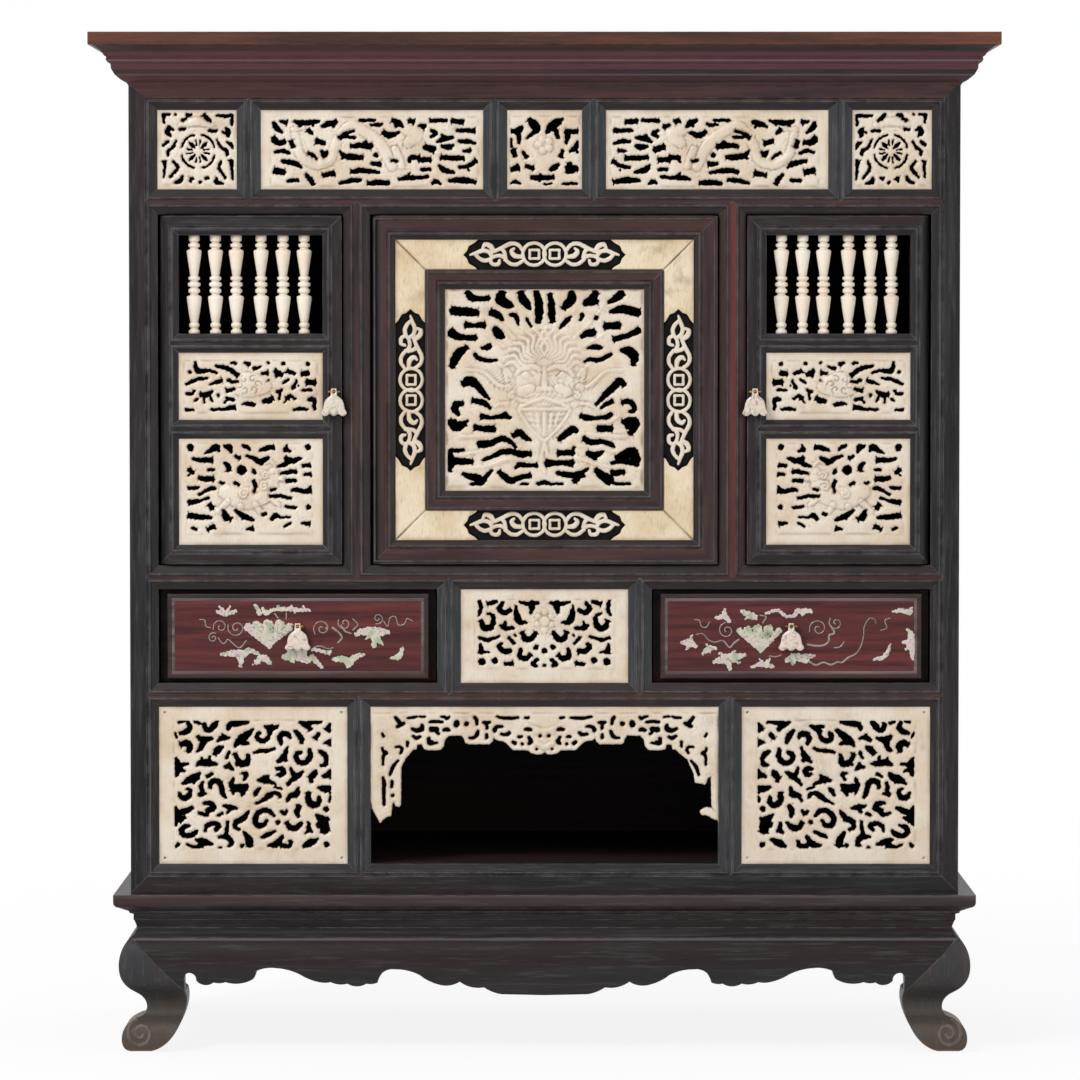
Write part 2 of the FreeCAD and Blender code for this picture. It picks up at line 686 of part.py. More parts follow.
def build_face_frame():
    """Stiles, rails and pointed muntins, each let into its neighbours."""
    rows = {
        "muntins_frieze": ([FRIEZE_INNER_X, FRIEZE_OUTER_X], FRIEZE_MUNTIN_W, Z_FRIEZE, FRIEZE_H),
        "muntins_doors": ([DOOR_MUNTIN_X], DOOR_MUNTIN_W, Z_DOORS, DOOR_ROW_H),
        "muntins_drawers": ([DRAWER_MUNTIN_X], DRAWER_MUNTIN_W, Z_DRAWERS, DRAWER_ROW_H),
        "muntins_niche": ([NICHE_MUNTIN_X], NICHE_MUNTIN_W, Z_NICHE, NICHE_H),
    }
    notches = pivot_sockets()
    for name, (places, width, z0, height) in rows.items():
        bars = []
        for x in places:
            bar, room = pointed_bar_z(x, width, z0, z0 + height, FRONT, FRAME_T, FRAME_EDGE)
            bars += both_sides(bar)
            notches += both_sides(room)
        save(name, bars)

    rails = {
        "rail_top": outer_rail(Z_TOP_RAIL, TOP_RAIL_H, 1),
        "rail_bottom": outer_rail(Z_NICHE, BOTTOM_RAIL_H, -1),
    }
    for name, z0, height in (("rail_frieze", Z_FRIEZE_RAIL, FRIEZE_RAIL_H),
                             ("rail_door", Z_DOOR_RAIL, DOOR_RAIL_H),
                             ("rail_drawer", Z_DRAWER_RAIL, DRAWER_RAIL_H)):
        rails[name] = pointed_bar_x(-INNER_X, INNER_X, z0, height, FRONT, FRAME_T, FRAME_EDGE)
    for name, (bar, _) in rails.items():
        save(name, [cut_all(bar, notches)])

    section = one_edged_section(STILE_W, FRAME_T, FRAME_EDGE)
    stile = bar_z(section, STAND_H, Z_CASE_TOP, FRONT, INNER_X, 1)
    stile = cut_all(stile, [room for _, room in rails.values()])
    save("stile_right", [stile])
    save("stile_left", [mirrored(stile)])


# Fixed bone panels

def valance_outline(width, height):
    """Half of the valance's lower edge, from the side down the bracket and up to the middle."""
    half = width / 2
    return [
        (half, 0.0), (half, -0.76 * height), (half - 4.0, -0.76 * height), (half - 5.6, -0.66 * height),
        (half - 4.6, -0.54 * height), (half - 9.0, -0.46 * height), (half - 12.0, -0.36 * height),
        (half - 20.0, -0.32 * height), (half - 26.0, -0.26 * height), (half - 40.0, -0.25 * height),
        (0.28 * half, -0.27 * height), (0.2 * half, -0.33 * height), (0.1 * half, -0.34 * height),
        (0.06 * half, -0.4 * height), (0.0, -0.4 * height),
    ]


def build_bone_panels():
    """The pierced bone plates that stay put in the face frame, and the niche's valance."""
    frieze_top = Z_TOP_RAIL
    outer_x = FRIEZE_OUTER_X + FRIEZE_MUNTIN_W / 2
    wide_x0 = FRIEZE_INNER_X + FRIEZE_MUNTIN_W / 2
    wide_x1 = FRIEZE_OUTER_X - FRIEZE_MUNTIN_W / 2
    centre_x = FRIEZE_CENTRE_W / 2
    small = bone_plate(outer_x, INNER_X, Z_FRIEZE, frieze_top, BONE_SET_BACK,
                       lambda w, h: cloud_holes(w, h, 0.42 * w, 0.42 * h, 4, 7))
    wide = bone_plate(wide_x0, wide_x1, Z_FRIEZE, frieze_top, BONE_SET_BACK,
                      lambda w, h: cloud_holes(w, h, 0.3 * w, 0.3 * h, 11, 7))
    centre = bone_plate(-centre_x, centre_x, Z_FRIEZE, frieze_top, BONE_SET_BACK,
                        lambda w, h: cloud_holes(w, h, 0.5 * w, 0.5 * h, 4, 7))
    save("frieze_panels_outer", both_sides(small))
    save("frieze_panels_wide", both_sides(wide))
    save("frieze_panel_centre", [centre])
    half = DRAWER_PANEL_W / 2
    save("drawer_row_panel", [bone_plate(-half, half, Z_DRAWERS, Z_DOOR_RAIL, BONE_SET_BACK,
                                         lambda w, h: vine_holes(w, h, 7, 4))])
    lower_x = NICHE_W / 2 + NICHE_MUNTIN_W
    lower = bone_plate(lower_x, INNER_X, Z_NICHE, Z_DRAWER_RAIL, BONE_SET_BACK,
                       lambda w, h: vine_holes(w, h, 7, 6))
    save("lower_panels", both_sides(lower))

    right = valance_outline(NICHE_W, NICHE_H)
    left = [(-x, z) for x, z in reversed(right[:-1])]
    valance = upright_prism([(x, Z_DRAWER_RAIL + z) for x, z in right + left],
                            FRONT + BONE_SET_BACK, FRONT + BONE_SET_BACK + BONE_T)
    loop = 0.11 * NICHE_H
    count = 16
    step = (NICHE_W - 4 * BONE_BORDER) / count
    holes = []
    for i in range(count):
        x = (i + 0.5) * step - count * step / 2
        holes.append(slot_hole(x, 0, 0.62 * step, 0.62 * loop, 0))
    cutters = [Part.Face(hole).extrude(V(0, BONE_T, 0)) for hole in holes]
    for cutter in cutters:
        cutter.translate(V(0, FRONT + BONE_SET_BACK, Z_DRAWER_RAIL - 0.16 * NICHE_H))
    save("niche_valance", [cut_all(valance, cutters)])


# Pulls and staples

def staple_and_pull(x, y_face, z):
    """A wire staple in a face at y_face and the drop that hangs on it."""
    y_bar = y_face - STAPLE_REACH
    side = PULL_TAB_W / 2 + PULL_SIDE_GAP + WIRE_R
    left = V(x - side, y_bar, z)
    right = V(x + side, y_bar, z)
    back = V(0, STAPLE_REACH + STAPLE_DEPTH, 0)
    staple = cylinder(WIRE_R, left, right)
    for corner in (left, right):
        staple = staple.fuse([cylinder(WIRE_R, corner, corner + back), Part.makeSphere(WIRE_R, corner)])

    half = PULL_W / 2
    tab = PULL_TAB_W / 2
    flare = [V(tab, 0, -0.16 * PULL_DROP), V(0.5 * half, 0, -0.3 * PULL_DROP),
             V(0.74 * half, 0, -0.58 * PULL_DROP), V(half, 0, -0.86 * PULL_DROP)]
    right_side = spline_edge(flare)
    left_side = spline_edge([V(-p.x, 0, p.z) for p in flare])
    low = -0.86 * PULL_DROP
    third = half / 3
    edges = [
        Part.makeLine(V(-tab, 0, PULL_TAB_UP), V(tab, 0, PULL_TAB_UP)),
        Part.makeLine(V(tab, 0, PULL_TAB_UP), flare[0]),
        right_side,
        Part.Arc(V(half, 0, low), V(2 * third, 0, -PULL_DROP * 0.96), V(third, 0, low)).toShape(),
        Part.Arc(V(third, 0, low), V(0, 0, -PULL_DROP), V(-third, 0, low)).toShape(),
        Part.Arc(V(-third, 0, low), V(-2 * third, 0, -PULL_DROP * 0.96), V(-half, 0, low)).toShape(),
        left_side,
        Part.makeLine(V(-tab, 0, -0.16 * PULL_DROP), V(-tab, 0, PULL_TAB_UP)),
    ]
    drop = Part.Face(Part.Wire(Part.__sortEdges__(edges))).extrude(V(0, PULL_T, 0))
    drop.translate(V(x, y_bar - PULL_T / 2, z))
    hole = cylinder(PULL_HOLE_R, V(x - half, y_bar, z), V(x + half, y_bar, z))
    return staple.removeSplitter(), drop.cut(hole)


# Doors

def hinge_axis(opening_edge, side):
    """The x of a pivot: half a door's thickness in from its edge. side is 1 where the door is to +X."""
    return opening_edge + side * (DOOR_GAP + DOOR_T / 2)


def pivot_places():
    """The x of every door's pivots: left, right and centre."""
    return [hinge_axis(-INNER_X, 1), hinge_axis(INNER_X, -1), hinge_axis(-CENTRE_DOOR_W / 2, 1)]


PIVOT_Y = FRONT + DOOR_SET_BACK + DOOR_T / 2


def pivot_sockets():
    """Round holes in the rails over and under the doors, with running room."""
    depth = PIVOT_L - DOOR_GAP + PIVOT_END_GAP
    sockets = []
    for x in pivot_places():
        for z0 in (Z_DOORS - depth, Z_FRIEZE_RAIL):
            start = V(x, PIVOT_Y, z0)
            sockets.append(cylinder(PIVOT_R + PIVOT_CLEARANCE, start, start + V(0, 0, depth)))
    return sockets


def pivot_pins(x):
    """The two wooden pivots that stand out of a door's hinge stile."""
    low = Z_DOORS + DOOR_GAP
    high = Z_FRIEZE_RAIL - DOOR_GAP
    return [cylinder(PIVOT_R, V(x, PIVOT_Y, low + PIVOT_ROOT), V(x, PIVOT_Y, low - PIVOT_L)),
            cylinder(PIVOT_R, V(x, PIVOT_Y, high - PIVOT_ROOT), V(x, PIVOT_Y, high + PIVOT_L))]


def hang_on_pivots(pieces, x_axis, x_free, z0, z1):
    """Round a door's hinge edge about its pivots. The first piece, the hinge stile, takes the pivots."""
    y0 = FRONT + DOOR_SET_BACK
    room = Part.makeCylinder(DOOR_T / 2, z1 - z0, V(x_axis, PIVOT_Y, z0))
    room = room.fuse(box(x_axis, x_free, y0, y0 + DOOR_T, z0, z1))
    pins = pivot_pins(x_axis)
    stile = pieces[0].common(room).fuse(pins).removeSplitter()
    return [stile] + [piece.common(room).cut(pins) for piece in pieces[1:]]


def spindle_profile():
    """Radius along a spindle as (share of its length from the bottom, share of its full radius)."""
    lower_half = [(0.0, 0.66), (0.03, 0.72), (0.07, 0.4), (0.1, 0.36), (0.12, 0.56), (0.15, 0.56),
                  (0.17, 0.4), (0.27, 0.5), (0.36, 0.8), (0.41, 0.96), (0.44, 0.7), (0.46, 0.5)]
    middle = [(0.48, 0.5), (0.49, 0.72), (0.52, 0.72), (0.53, 0.5)]
    upper_half = [(0.55, 0.5), (0.57, 0.42), (0.66, 0.52), (0.77, 0.84), (0.83, 1.0), (0.87, 0.72),
                  (0.885, 0.46), (0.9, 0.62), (0.93, 0.62), (0.945, 0.42), (0.965, 0.62), (1.0, 0.66)]
    return lower_half + middle + upper_half


def spindle(x, y, z0, height):
    """A turned bone spindle."""
    points = [V(x + SPINDLE_R * r, y, z0 + height * s) for s, r in spindle_profile()]
    outline = [V(x, y, z0)] + points + [V(x, y, z0 + height)]
    return polygon_face(outline).revolve(V(x, y, z0), V(0, 0, 1), 360)


def build_side_door(name, mirror_it):
    """A side door: frame with two crossrails, spindles, two bone panels, staple and pull."""
    place = mirrored if mirror_it else (lambda shape: shape)
    x0 = -INNER_X + DOOR_GAP
    x1 = -CENTRE_DOOR_W / 2 - DOOR_MUNTIN_W - DOOR_GAP
    z0 = Z_DOORS + DOOR_GAP
    z1 = Z_FRIEZE_RAIL - DOOR_GAP
    y_front = FRONT + DOOR_SET_BACK
    section = one_edged_section(DOOR_STILE_W, DOOR_T, DOOR_EDGE)
    stile_hinge, stile_free, rail_low, rail_high = mitred_frame(
        (x0, x1, z0, z1), DOOR_STILE_W, DOOR_T, y_front, section)

    inner_x0 = x0 + DOOR_STILE_W
    inner_x1 = x1 - DOOR_STILE_W
    z_spindle_top = z1 - DOOR_STILE_W
    z_spindle = z_spindle_top - SPINDLE_H
    z_flower_top = z_spindle - DOOR_CROSSRAIL_H
    z_flower = z_flower_top - FLOWER_PANEL_H
    z_beast_top = z_flower - DOOR_CROSSRAIL_H
    z_beast = z0 + DOOR_STILE_W
    crossrails = [
        pointed_bar_x(inner_x0, inner_x1, z, DOOR_CROSSRAIL_H, y_front, DOOR_T, DOOR_EDGE)
        for z in (z_flower_top, z_beast_top)
    ]
    rooms = [room for _, room in crossrails]
    frame = [cut_all(stile_hinge, rooms), cut_all(stile_free, rooms), rail_low, rail_high]
    frame = hang_on_pivots(frame, hinge_axis(-INNER_X, 1), x1, z0, z1)
    frame += [bar for bar, _ in crossrails]
    save(name + "_door_frame", [place(shape) for shape in frame])

    middle = (inner_x0 + inner_x1) / 2
    y_mid = y_front + DOOR_T / 2
    first = middle - SPINDLE_PITCH * (SPINDLE_COUNT - 1) / 2
    spindles = [spindle(first + i * SPINDLE_PITCH, y_mid, z_spindle, SPINDLE_H)
                for i in range(SPINDLE_COUNT)]
    save(name + "_door_spindles", [place(shape) for shape in spindles])

    set_back = DOOR_SET_BACK + DOOR_BONE_SET_BACK
    flower = bone_plate(inner_x0, inner_x1, z_flower, z_flower_top, set_back,
                        lambda w, h: cloud_holes(w, h, 0.34 * w, 0.6 * h, 8, 6))
    beast = bone_plate(inner_x0, inner_x1, z_beast, z_beast_top, set_back,
                       lambda w, h: cloud_holes(w, h, 0.42 * w, 0.4 * h, 8, 9))
    save(name + "_door_panels", [place(flower), place(beast)])

    staple, pull = staple_and_pull(x1 - DOOR_PULL_EDGE, y_front, Z_DOORS + DOOR_PULL_Z)
    save(name + "_door_staple", [place(staple)])
    save(name + "_door_pull", [place(pull)])


def cartouche(length, height):
    """The outline of an opening in the band, pointed at both ends, taller than the band."""
    half = length / 2
    tall = height / 2 + 1.0
    shoulder = half - CARTOUCHE_SHOULDER
    return [(half, 0.0), (half - 0.4 * CARTOUCHE_SHOULDER, 0.3 * height), (shoulder, tall),
            (-shoulder, tall), (-half + 0.4 * CARTOUCHE_SHOULDER, 0.3 * height), (-half, 0.0),
            (-half + 0.4 * CARTOUCHE_SHOULDER, -0.3 * height), (-shoulder, -tall), (shoulder, -tall),
            (half - 0.4 * CARTOUCHE_SHOULDER, -0.3 * height)]


def fret(length, height, y_front):
    """A chain of rings, two linked in the middle, that fills a cartouche."""
    big = 0.42 * height
    ring_places = [(0.35 * big, big), (1.9 * big, 0.8 * big), (3.25 * big, 0.72 * big),
                   (4.4 * big, 0.58 * big)]
    rings = []
    for x, radius in ring_places:
        for side in (1, -1):
            centre = V(side * x, y_front, 0)
            ring = Part.makeCylinder(radius, FRET_T, centre, V(0, 1, 0))
            rings.append(ring.cut(Part.makeCylinder(radius - FRET_WALL, FRET_T, centre, V(0, 1, 0))))
    tip = length / 2 - 0.4 * CARTOUCHE_SHOULDER
    tail = ring_places[-1][0] + ring_places[-1][1] - FRET_WALL
    bars = [box(min(s * tail, s * tip), max(s * tail, s * tip), y_front, y_front + FRET_T,
                -FRET_WALL / 2, FRET_WALL / 2) for s in (1, -1)]
    return rings[0].fuse(rings[1:] + bars).removeSplitter()


def build_centre_door():
    """The square door: outer frame, bone band with four frets, inner frame and carved panel."""
    x0 = -CENTRE_DOOR_W / 2 + DOOR_GAP
    x1 = -x0
    z0 = Z_DOORS + DOOR_GAP
    z1 = Z_FRIEZE_RAIL - DOOR_GAP
    y_front = FRONT + DOOR_SET_BACK
    ground = BAND_SET_BACK + BAND_T
    face = one_edged_section(CENTRE_FRAME_W, DOOR_T, DOOR_EDGE)
    full = [(-BAND_W, DOOR_T), (-BAND_W, ground), (0.0, ground)] + face[1:]
    section = [(u + BAND_W, v) for u, v in full]
    frame = mitred_frame((x0, x1, z0, z1), CENTRE_FRAME_W + BAND_W, DOOR_T, y_front, section)
    frame = hang_on_pivots(frame, hinge_axis(-CENTRE_DOOR_W / 2, 1), x1, z0, z1)
    save("centre_door_frame", frame)

    band_outer = (x0 + CENTRE_FRAME_W, x1 - CENTRE_FRAME_W, z0 + CENTRE_FRAME_W, z1 - CENTRE_FRAME_W)
    plain = [(0.0, BAND_T), (0.0, 0.0), (BAND_W, 0.0), (BAND_W, BAND_T)]
    y_band = y_front + BAND_SET_BACK
    band = mitred_frame(band_outer, BAND_W, BAND_T, y_band, plain)
    z_mid = (z0 + z1) / 2
    half_x = (band_outer[1] - band_outer[0] - BAND_W) / 2
    half_z = (band_outer[3] - band_outer[2] - BAND_W) / 2
    opening = upright_prism(cartouche(CARTOUCHE_L, BAND_W), y_band, y_band + BAND_T)
    lace = fret(CARTOUCHE_L, BAND_W, y_front + ground - FRET_T)
    turned_pieces = []
    for i, (x, z, turn) in enumerate(((-half_x, 0, 90), (half_x, 0, 90), (0, -half_z, 0), (0, half_z, 0))):
        pair = []
        for shape in (opening, lace):
            copy = shape.copy()
            copy.rotate(V(0, 0, 0), V(0, 1, 0), turn)
            copy.translate(V(x, 0, z_mid + z))
            pair.append(copy)
        band[i] = band[i].cut(pair[0])
        turned_pieces.append(pair[1])
    save("centre_door_band", band)
    save("centre_door_frets", turned_pieces)

    inner_outer = (band_outer[0] + BAND_W, band_outer[1] - BAND_W, band_outer[2] + BAND_W,
                   band_outer[3] - BAND_W)
    inner_section = one_edged_section(INNER_FRAME_W, DOOR_T - DOOR_SET_BACK, DOOR_EDGE)
    save("centre_door_inner_frame", mitred_frame(inner_outer, INNER_FRAME_W, DOOR_T - DOOR_SET_BACK,
                                                 y_front + DOOR_SET_BACK, inner_section))
    panel_x = inner_outer[1] - INNER_FRAME_W
    panel = bone_plate(-panel_x, panel_x, inner_outer[2] + INNER_FRAME_W, inner_outer[3] - INNER_FRAME_W,
                       DOOR_SET_BACK + CENTRE_PANEL_SET_BACK,
                       lambda w, h: cloud_holes(w, h, 0.52 * w, 0.66 * h, 9, 14))
    save("centre_door_panel", [panel])


# Drawers

def leaf(x, z, radius, lobes, turn, y_front):
    """A lobed leaf, its radius swelling and shrinking round its middle, as a thin inlay."""
    steps = 6 * lobes
    points = []
    for i in range(steps):
        angle = 2 * math.pi * i / steps
        r = radius * (0.72 + 0.28 * math.cos(lobes * angle))
        points.append((x + r * math.cos(angle + turn), z + r * math.sin(angle + turn)))
    return upright_prism(points, y_front, y_front + INLAY_T)


# Leaves on a drawer front: x and z from its middle and radius; then each leaf's lobes and its turn
INLAY_LEAVES = [
    (-17.0, 2.0, 13.0), (0.0, -6.0, 8.0), (-34.0, -13.0, 8.0), (-19.0, -16.5, 5.0),
    (48.0, 1.0, 9.0), (33.0, -14.0, 7.5), (-41.0, 15.0, 5.0), (64.0, -12.0, 4.0),
]
LEAF_LOBE_COUNT = [3, 4, 5, 3, 5, 5, 3, 2]
LEAF_TURN_ANGLE = [0.5, 0.2, 0.4, 1.0, -0.6, 0.0, 0.3, 0.5]


def build_drawer(name, side):
    """A drawer: box of five boards, applied front with inlay, staple and pull. side is -1 on the left."""
    span = [INNER_X, DRAWER_PANEL_W / 2 + DRAWER_MUNTIN_W]
    x0, x1 = sorted(side * x for x in span)
    bx0 = x0 + DRAWER_GAP
    bx1 = x1 - DRAWER_GAP
    bz0 = Z_DRAWERS + DRAWER_RUN_GAP
    bz1 = Z_DOOR_RAIL - DRAWER_GAP
    by0 = FRONT + DRAWER_BOX_SET_BACK
    by1 = INSIDE_BACK - DRAWER_BACK_GAP
    wall = DRAWER_WALL
    save(name + "_drawer_box", [
        box(bx0, bx1, by0, by0 + wall, bz0, bz1),
        box(bx0, bx0 + wall, by0 + wall, by1, bz0, bz1),
        box(bx1 - wall, bx1, by0 + wall, by1, bz0, bz1),
        box(bx0 + wall, bx1 - wall, by1 - wall, by1, bz0, bz1),
        box(bx0 + wall, bx1 - wall, by0 + wall, by1 - wall, bz0, bz0 + wall),
    ])
    fx0 = x0 + DRAWER_FACE_MARGIN_X
    fx1 = x1 - DRAWER_FACE_MARGIN_X
    fz0 = Z_DRAWERS + DRAWER_FACE_MARGIN_Z
    fz1 = Z_DOOR_RAIL - DRAWER_FACE_MARGIN_Z
    y_face = FRONT + DRAWER_FACE_SET_BACK
    x_mid = (fx0 + fx1) / 2
    z_mid = (fz0 + fz1) / 2
    leaves = [leaf(x_mid + x, z_mid + z, r, lobes, turn, y_face - INLAY_PROUD)
              for (x, z, r), lobes, turn in zip(INLAY_LEAVES, LEAF_LOBE_COUNT, LEAF_TURN_ANGLE)]
    front = cut_all(box(fx0, fx1, y_face, by0, fz0, fz1), leaves)
    save(name + "_drawer_front", [front])
    save(name + "_drawer_inlay", [leaves[0].fuse(leaves[1:])])
    staple, pull = staple_and_pull(x_mid, y_face - INLAY_PROUD, fz0 + DRAWER_PULL_Z)
    save(name + "_drawer_staple", [staple])
    save(name + "_drawer_pull", [pull])


def main():
    """Build every piece and write it to its own file."""
    os.makedirs("parts", exist_ok=True)
    build_stand()
    build_case()
    build_cornice()
    build_face_frame()
    build_bone_panels()
    build_side_door("left", False)
    build_side_door("right", True)
    build_centre_door()
    build_drawer("left", -1)
    build_drawer("right", 1)


main()
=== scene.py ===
"""Looks of a carved table cabinet: dark wood, pierced bone panels and inlaid drawers on a low stand."""

import logging
import math
from dataclasses import dataclass
from enum import Enum
from typing import Any, Iterable, Sequence

import bpy
import numpy as np
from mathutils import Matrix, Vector


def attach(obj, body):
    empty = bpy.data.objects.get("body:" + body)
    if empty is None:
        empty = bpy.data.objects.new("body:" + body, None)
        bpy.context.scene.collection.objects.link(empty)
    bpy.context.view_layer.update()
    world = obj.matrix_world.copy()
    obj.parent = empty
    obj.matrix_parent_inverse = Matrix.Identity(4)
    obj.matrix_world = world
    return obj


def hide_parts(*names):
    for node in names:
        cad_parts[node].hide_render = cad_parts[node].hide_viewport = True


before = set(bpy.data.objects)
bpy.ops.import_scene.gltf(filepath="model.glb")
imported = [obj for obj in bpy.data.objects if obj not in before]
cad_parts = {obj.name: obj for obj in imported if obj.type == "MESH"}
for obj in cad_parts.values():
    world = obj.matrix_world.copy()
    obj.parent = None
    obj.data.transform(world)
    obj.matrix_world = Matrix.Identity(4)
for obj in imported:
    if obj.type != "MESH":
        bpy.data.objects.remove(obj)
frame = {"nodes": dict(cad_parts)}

LOG = logging.getLogger("cabinet")
MM = 0.001
# A stroke is x, z and half-width of each of its points, a span low and high, a place x and z, an edge the
# width and depth of its rounding, and a border its widths at left, right, bottom and top
Array = np.ndarray
Stroke = Sequence[float]
Span = tuple[float, float]
Place = tuple[float, float]
Edge = tuple[float, float]
Border = tuple[float, float, float, float]
Tree = bpy.types.NodeTree
Socket = bpy.types.NodeSocket
Material = bpy.types.Material
Piece = bpy.types.Object

# Bone height of whole plate, or below zero of empty ground; also the most that counts as distance from a cut
WHOLE = 6.0
# Least half-width of a brush, how far its field is worked out beyond it, and the least square of a span
LEAST_BRUSH = 0.2
BRUSH_PAD = 2.5
TINY = 1e-9
# Degrees in a radian, nearly
PER_RADIAN = 57.3
# Image of x, z and half-width about x = 0
MIRROR = np.array([-1.0, 1.0, 1.0])
# A slot's end is blunt from this half-width on; the cut across it lies this share of that further out,
# with these half-widths at its ends and middle
BLUNT_END = 1.0
CUT_OUT = 0.6
CUT_HALVES = (0.1, 0.5, 0.1)
# Share of its radius that a spiral ends at, its points for each turn and the fewest it has
SPIRAL_EYE = 0.15
TURN_POINTS = 10
LEAST_POINTS = 6
# Shape of a lock of hair: share of its run, bend in degrees and share of its width
LOCK = np.array([[0.0, 0.0, 0.6], [0.35, 9.0, 1.0], [0.7, -5.0, 0.9], [1.0, 3.0, 0.5]])
# Waves of a hand-sawn edge along x and z, in radians for each mm
WAVES = ((0.9, 1.3), (-1.6, 2.1), (2.7, 1.2))
# Corners 0 to 3 and crossings 4 to 7 that bound the bone in a grid cell, for each pattern of full corners
CELL_OUTLINES = {
    1: (0, 4, 7), 2: (1, 5, 4), 3: (0, 1, 5, 7), 4: (2, 6, 5), 5: (0, 4, 5, 2, 6, 7), 6: (1, 2, 6, 4),
    7: (0, 1, 2, 6, 7), 8: (3, 7, 6), 9: (0, 4, 6, 3), 10: (1, 5, 6, 3, 7, 4), 11: (0, 1, 5, 6, 3),
    12: (2, 3, 7, 5), 13: (0, 4, 5, 2, 3), 14: (1, 2, 3, 7, 4), 15: (0, 1, 2, 3),
}
# How far past the drawing a plate's edge is looked for, and the least share of a cell between it and a corner
EDGE_STEP = 0.01
SNAP = 0.03
# Stain on a plate's back, darkening on its rounded edges, dirt with painted shadow of the frame along its
# rim, and staining in its hollows, with the rim's width, the depth of a hollow, how many places away its mean
# is taken, and the least drop of an edge
BACK_STAIN = 0.6
EDGE_DARKENING = 0.25
RIM_DIRT_AND_SHADOW = 0.45
RIM_WIDTH = 3.2
HOLLOW_STAIN = 0.5
HOLLOW_DEPTH = 0.35
HOLLOW_REACH = 3
LEAST_DROP = 0.1


class Grain(Enum):
    """The axis along which a board's grain runs, with the share of stretch on x, y and z."""

    ACROSS = (0.06, 1.0, 1.0)
    DEEP = (1.0, 0.06, 1.0)
    UPRIGHT = (1.0, 1.0, 0.06)


def linear(colour: str) -> tuple[float, float, float, float]:
    """Turns an sRGB hex colour into linear light.

    Args:
        colour: six hex digits, such as "e4d6c2".
    Returns:
        Red, green, blue and alpha from 0 to 1.
    """
    parts = np.array([int(colour[i:i + 2], 16) for i in (0, 2, 4)]) / 255.0
    light = np.where(parts <= 0.04045, parts / 12.92, ((parts + 0.055) / 1.055) ** 2.4)
    return (*(float(v) for v in light), 1.0)


def per_mm(size_mm: float) -> float:
    """Texture scale, per metre, of a pattern that repeats about every size_mm."""
    return 1.0 / (size_mm * MM)


def node(tree: Tree, kind: str, settings: dict[str, Any] | None = None, **inputs: Any) -> bpy.types.Node:
    """Adds a node, sets its properties and sets or links its sockets.

    Args:
        tree: the material's or world's node tree.
        kind: the node's type name.
        settings: properties of the node itself.
        inputs: socket name, with _ for a space or iN for socket number N, to a value or another
            node's output.
    Returns:
        The new node.
    """
    made = tree.nodes.new(kind)
    for key, value in (settings or {}).items():
        setattr(made, key, value)
    for key, value in inputs.items():
        numbered = key[0] == "i" and key[1:].isdigit()
        socket = made.inputs[int(key[1:]) if numbered else key.replace("_", " ")]
        if isinstance(value, Socket):
            tree.links.new(value, socket)
        else:
            socket.default_value = value
    return made


def ramp(tree: Tree, factor: Socket, stops: Iterable[tuple[float, str]]) -> Socket:
    """Colours a factor by stops.

    Args:
        tree: the node tree.
        factor: socket with values from 0 to 1.
        stops: place and hex colour of each stop, in order.
    Returns:
        The colour socket.
    """
    made = node(tree, "ShaderNodeValToRGB", Fac=factor)
    places = list(stops)
    band = made.color_ramp.elements
    for _ in places[2:]:
        band.new(0.5)
    for element, (place, colour) in zip(band, places):
        element.position = place
        element.color = linear(colour)
    return made.outputs["Color"]


def new_material(name: str) -> tuple[Material, Tree]:
    """Makes an empty node material.

    Args:
        name: the material's name.
    Returns:
        The material and its cleared node tree.
    """
    material = bpy.data.materials.new(name)
    material.use_nodes = True
    material.node_tree.nodes.clear()
    return material, material.node_tree


def noise(tree: Tree, place: Socket, size_mm: float, detail: float, roughness: float = 0.5,
          warp: float = 0.0) -> Socket:
    """Adds cloudy noise.

    Args:
        tree: the node tree.
        place: where to look it up.
        size_mm: about how wide its clouds are.
        detail: octaves of finer noise.
        roughness: share of each finer octave.
        warp: how far it twists.
    Returns:
        A value about a half, mostly from 0.3 to 0.7.
    """
    return node(tree, "ShaderNodeTexNoise", Vector=place, Scale=per_mm(size_mm), Detail=detail,
                Roughness=roughness, Distortion=warp).outputs["Fac"]


def remap(tree: Tree, value: Socket, span: Span, to: Span = (0.0, 1.0)) -> Socket:
    """Carries a value from one span to another.

    Args:
        tree: the node tree.
        value: the value.
        span: the values that become the ends of to.
        to: the new span; results are held at its ends.
    Returns:
        The new value.
    """
    return node(tree, "ShaderNodeMapRange", Value=value, From_Min=span[0], From_Max=span[1], To_Min=to[0],
                To_Max=to[1]).outputs["Result"]


def mix(tree: Tree, share: Socket | float, first: Any, second: Any, way: str = "MIX") -> Socket:
    """Mixes two colours.

    Args:
        tree: the node tree.
        share: how much of the second colour shows.
        first: a colour or its socket.
        second: a colour or its socket.
        way: the blend, such as MIX or MULTIPLY.
    Returns:
        The mixed colour.
    """
    return node(tree, "ShaderNodeMix", {"data_type": "RGBA", "blend_type": way}, i0=share, i6=first,
                i7=second).outputs[2]


def calc(tree: Tree, operation: str, first: Any, second: Any = 0.0) -> Socket:
    """Works out one sum, held from 0 to 1.

    Args:
        tree: the node tree.
        operation: such as MULTIPLY or MAXIMUM.
        first: a number or its socket.
        second: a number or its socket.
    Returns:
        The result.
    """
    return node(tree, "ShaderNodeMath", {"operation": operation, "use_clamp": True}, i0=first,
                i1=second).outputs["Value"]


def vector(tree: Tree, operation: str, first: Any, second: Any, output: str = "Vector") -> Socket:
    """Works out one vector sum.

    Args:
        tree: the node tree.
        operation: such as SUBTRACT or DOT_PRODUCT.
        first: a vector or its socket.
        second: a vector or its socket.
        output: Vector or Value.
    Returns:
        The result.
    """
    return node(tree, "ShaderNodeVectorMath", {"operation": operation}, i0=first, i1=second).outputs[output]


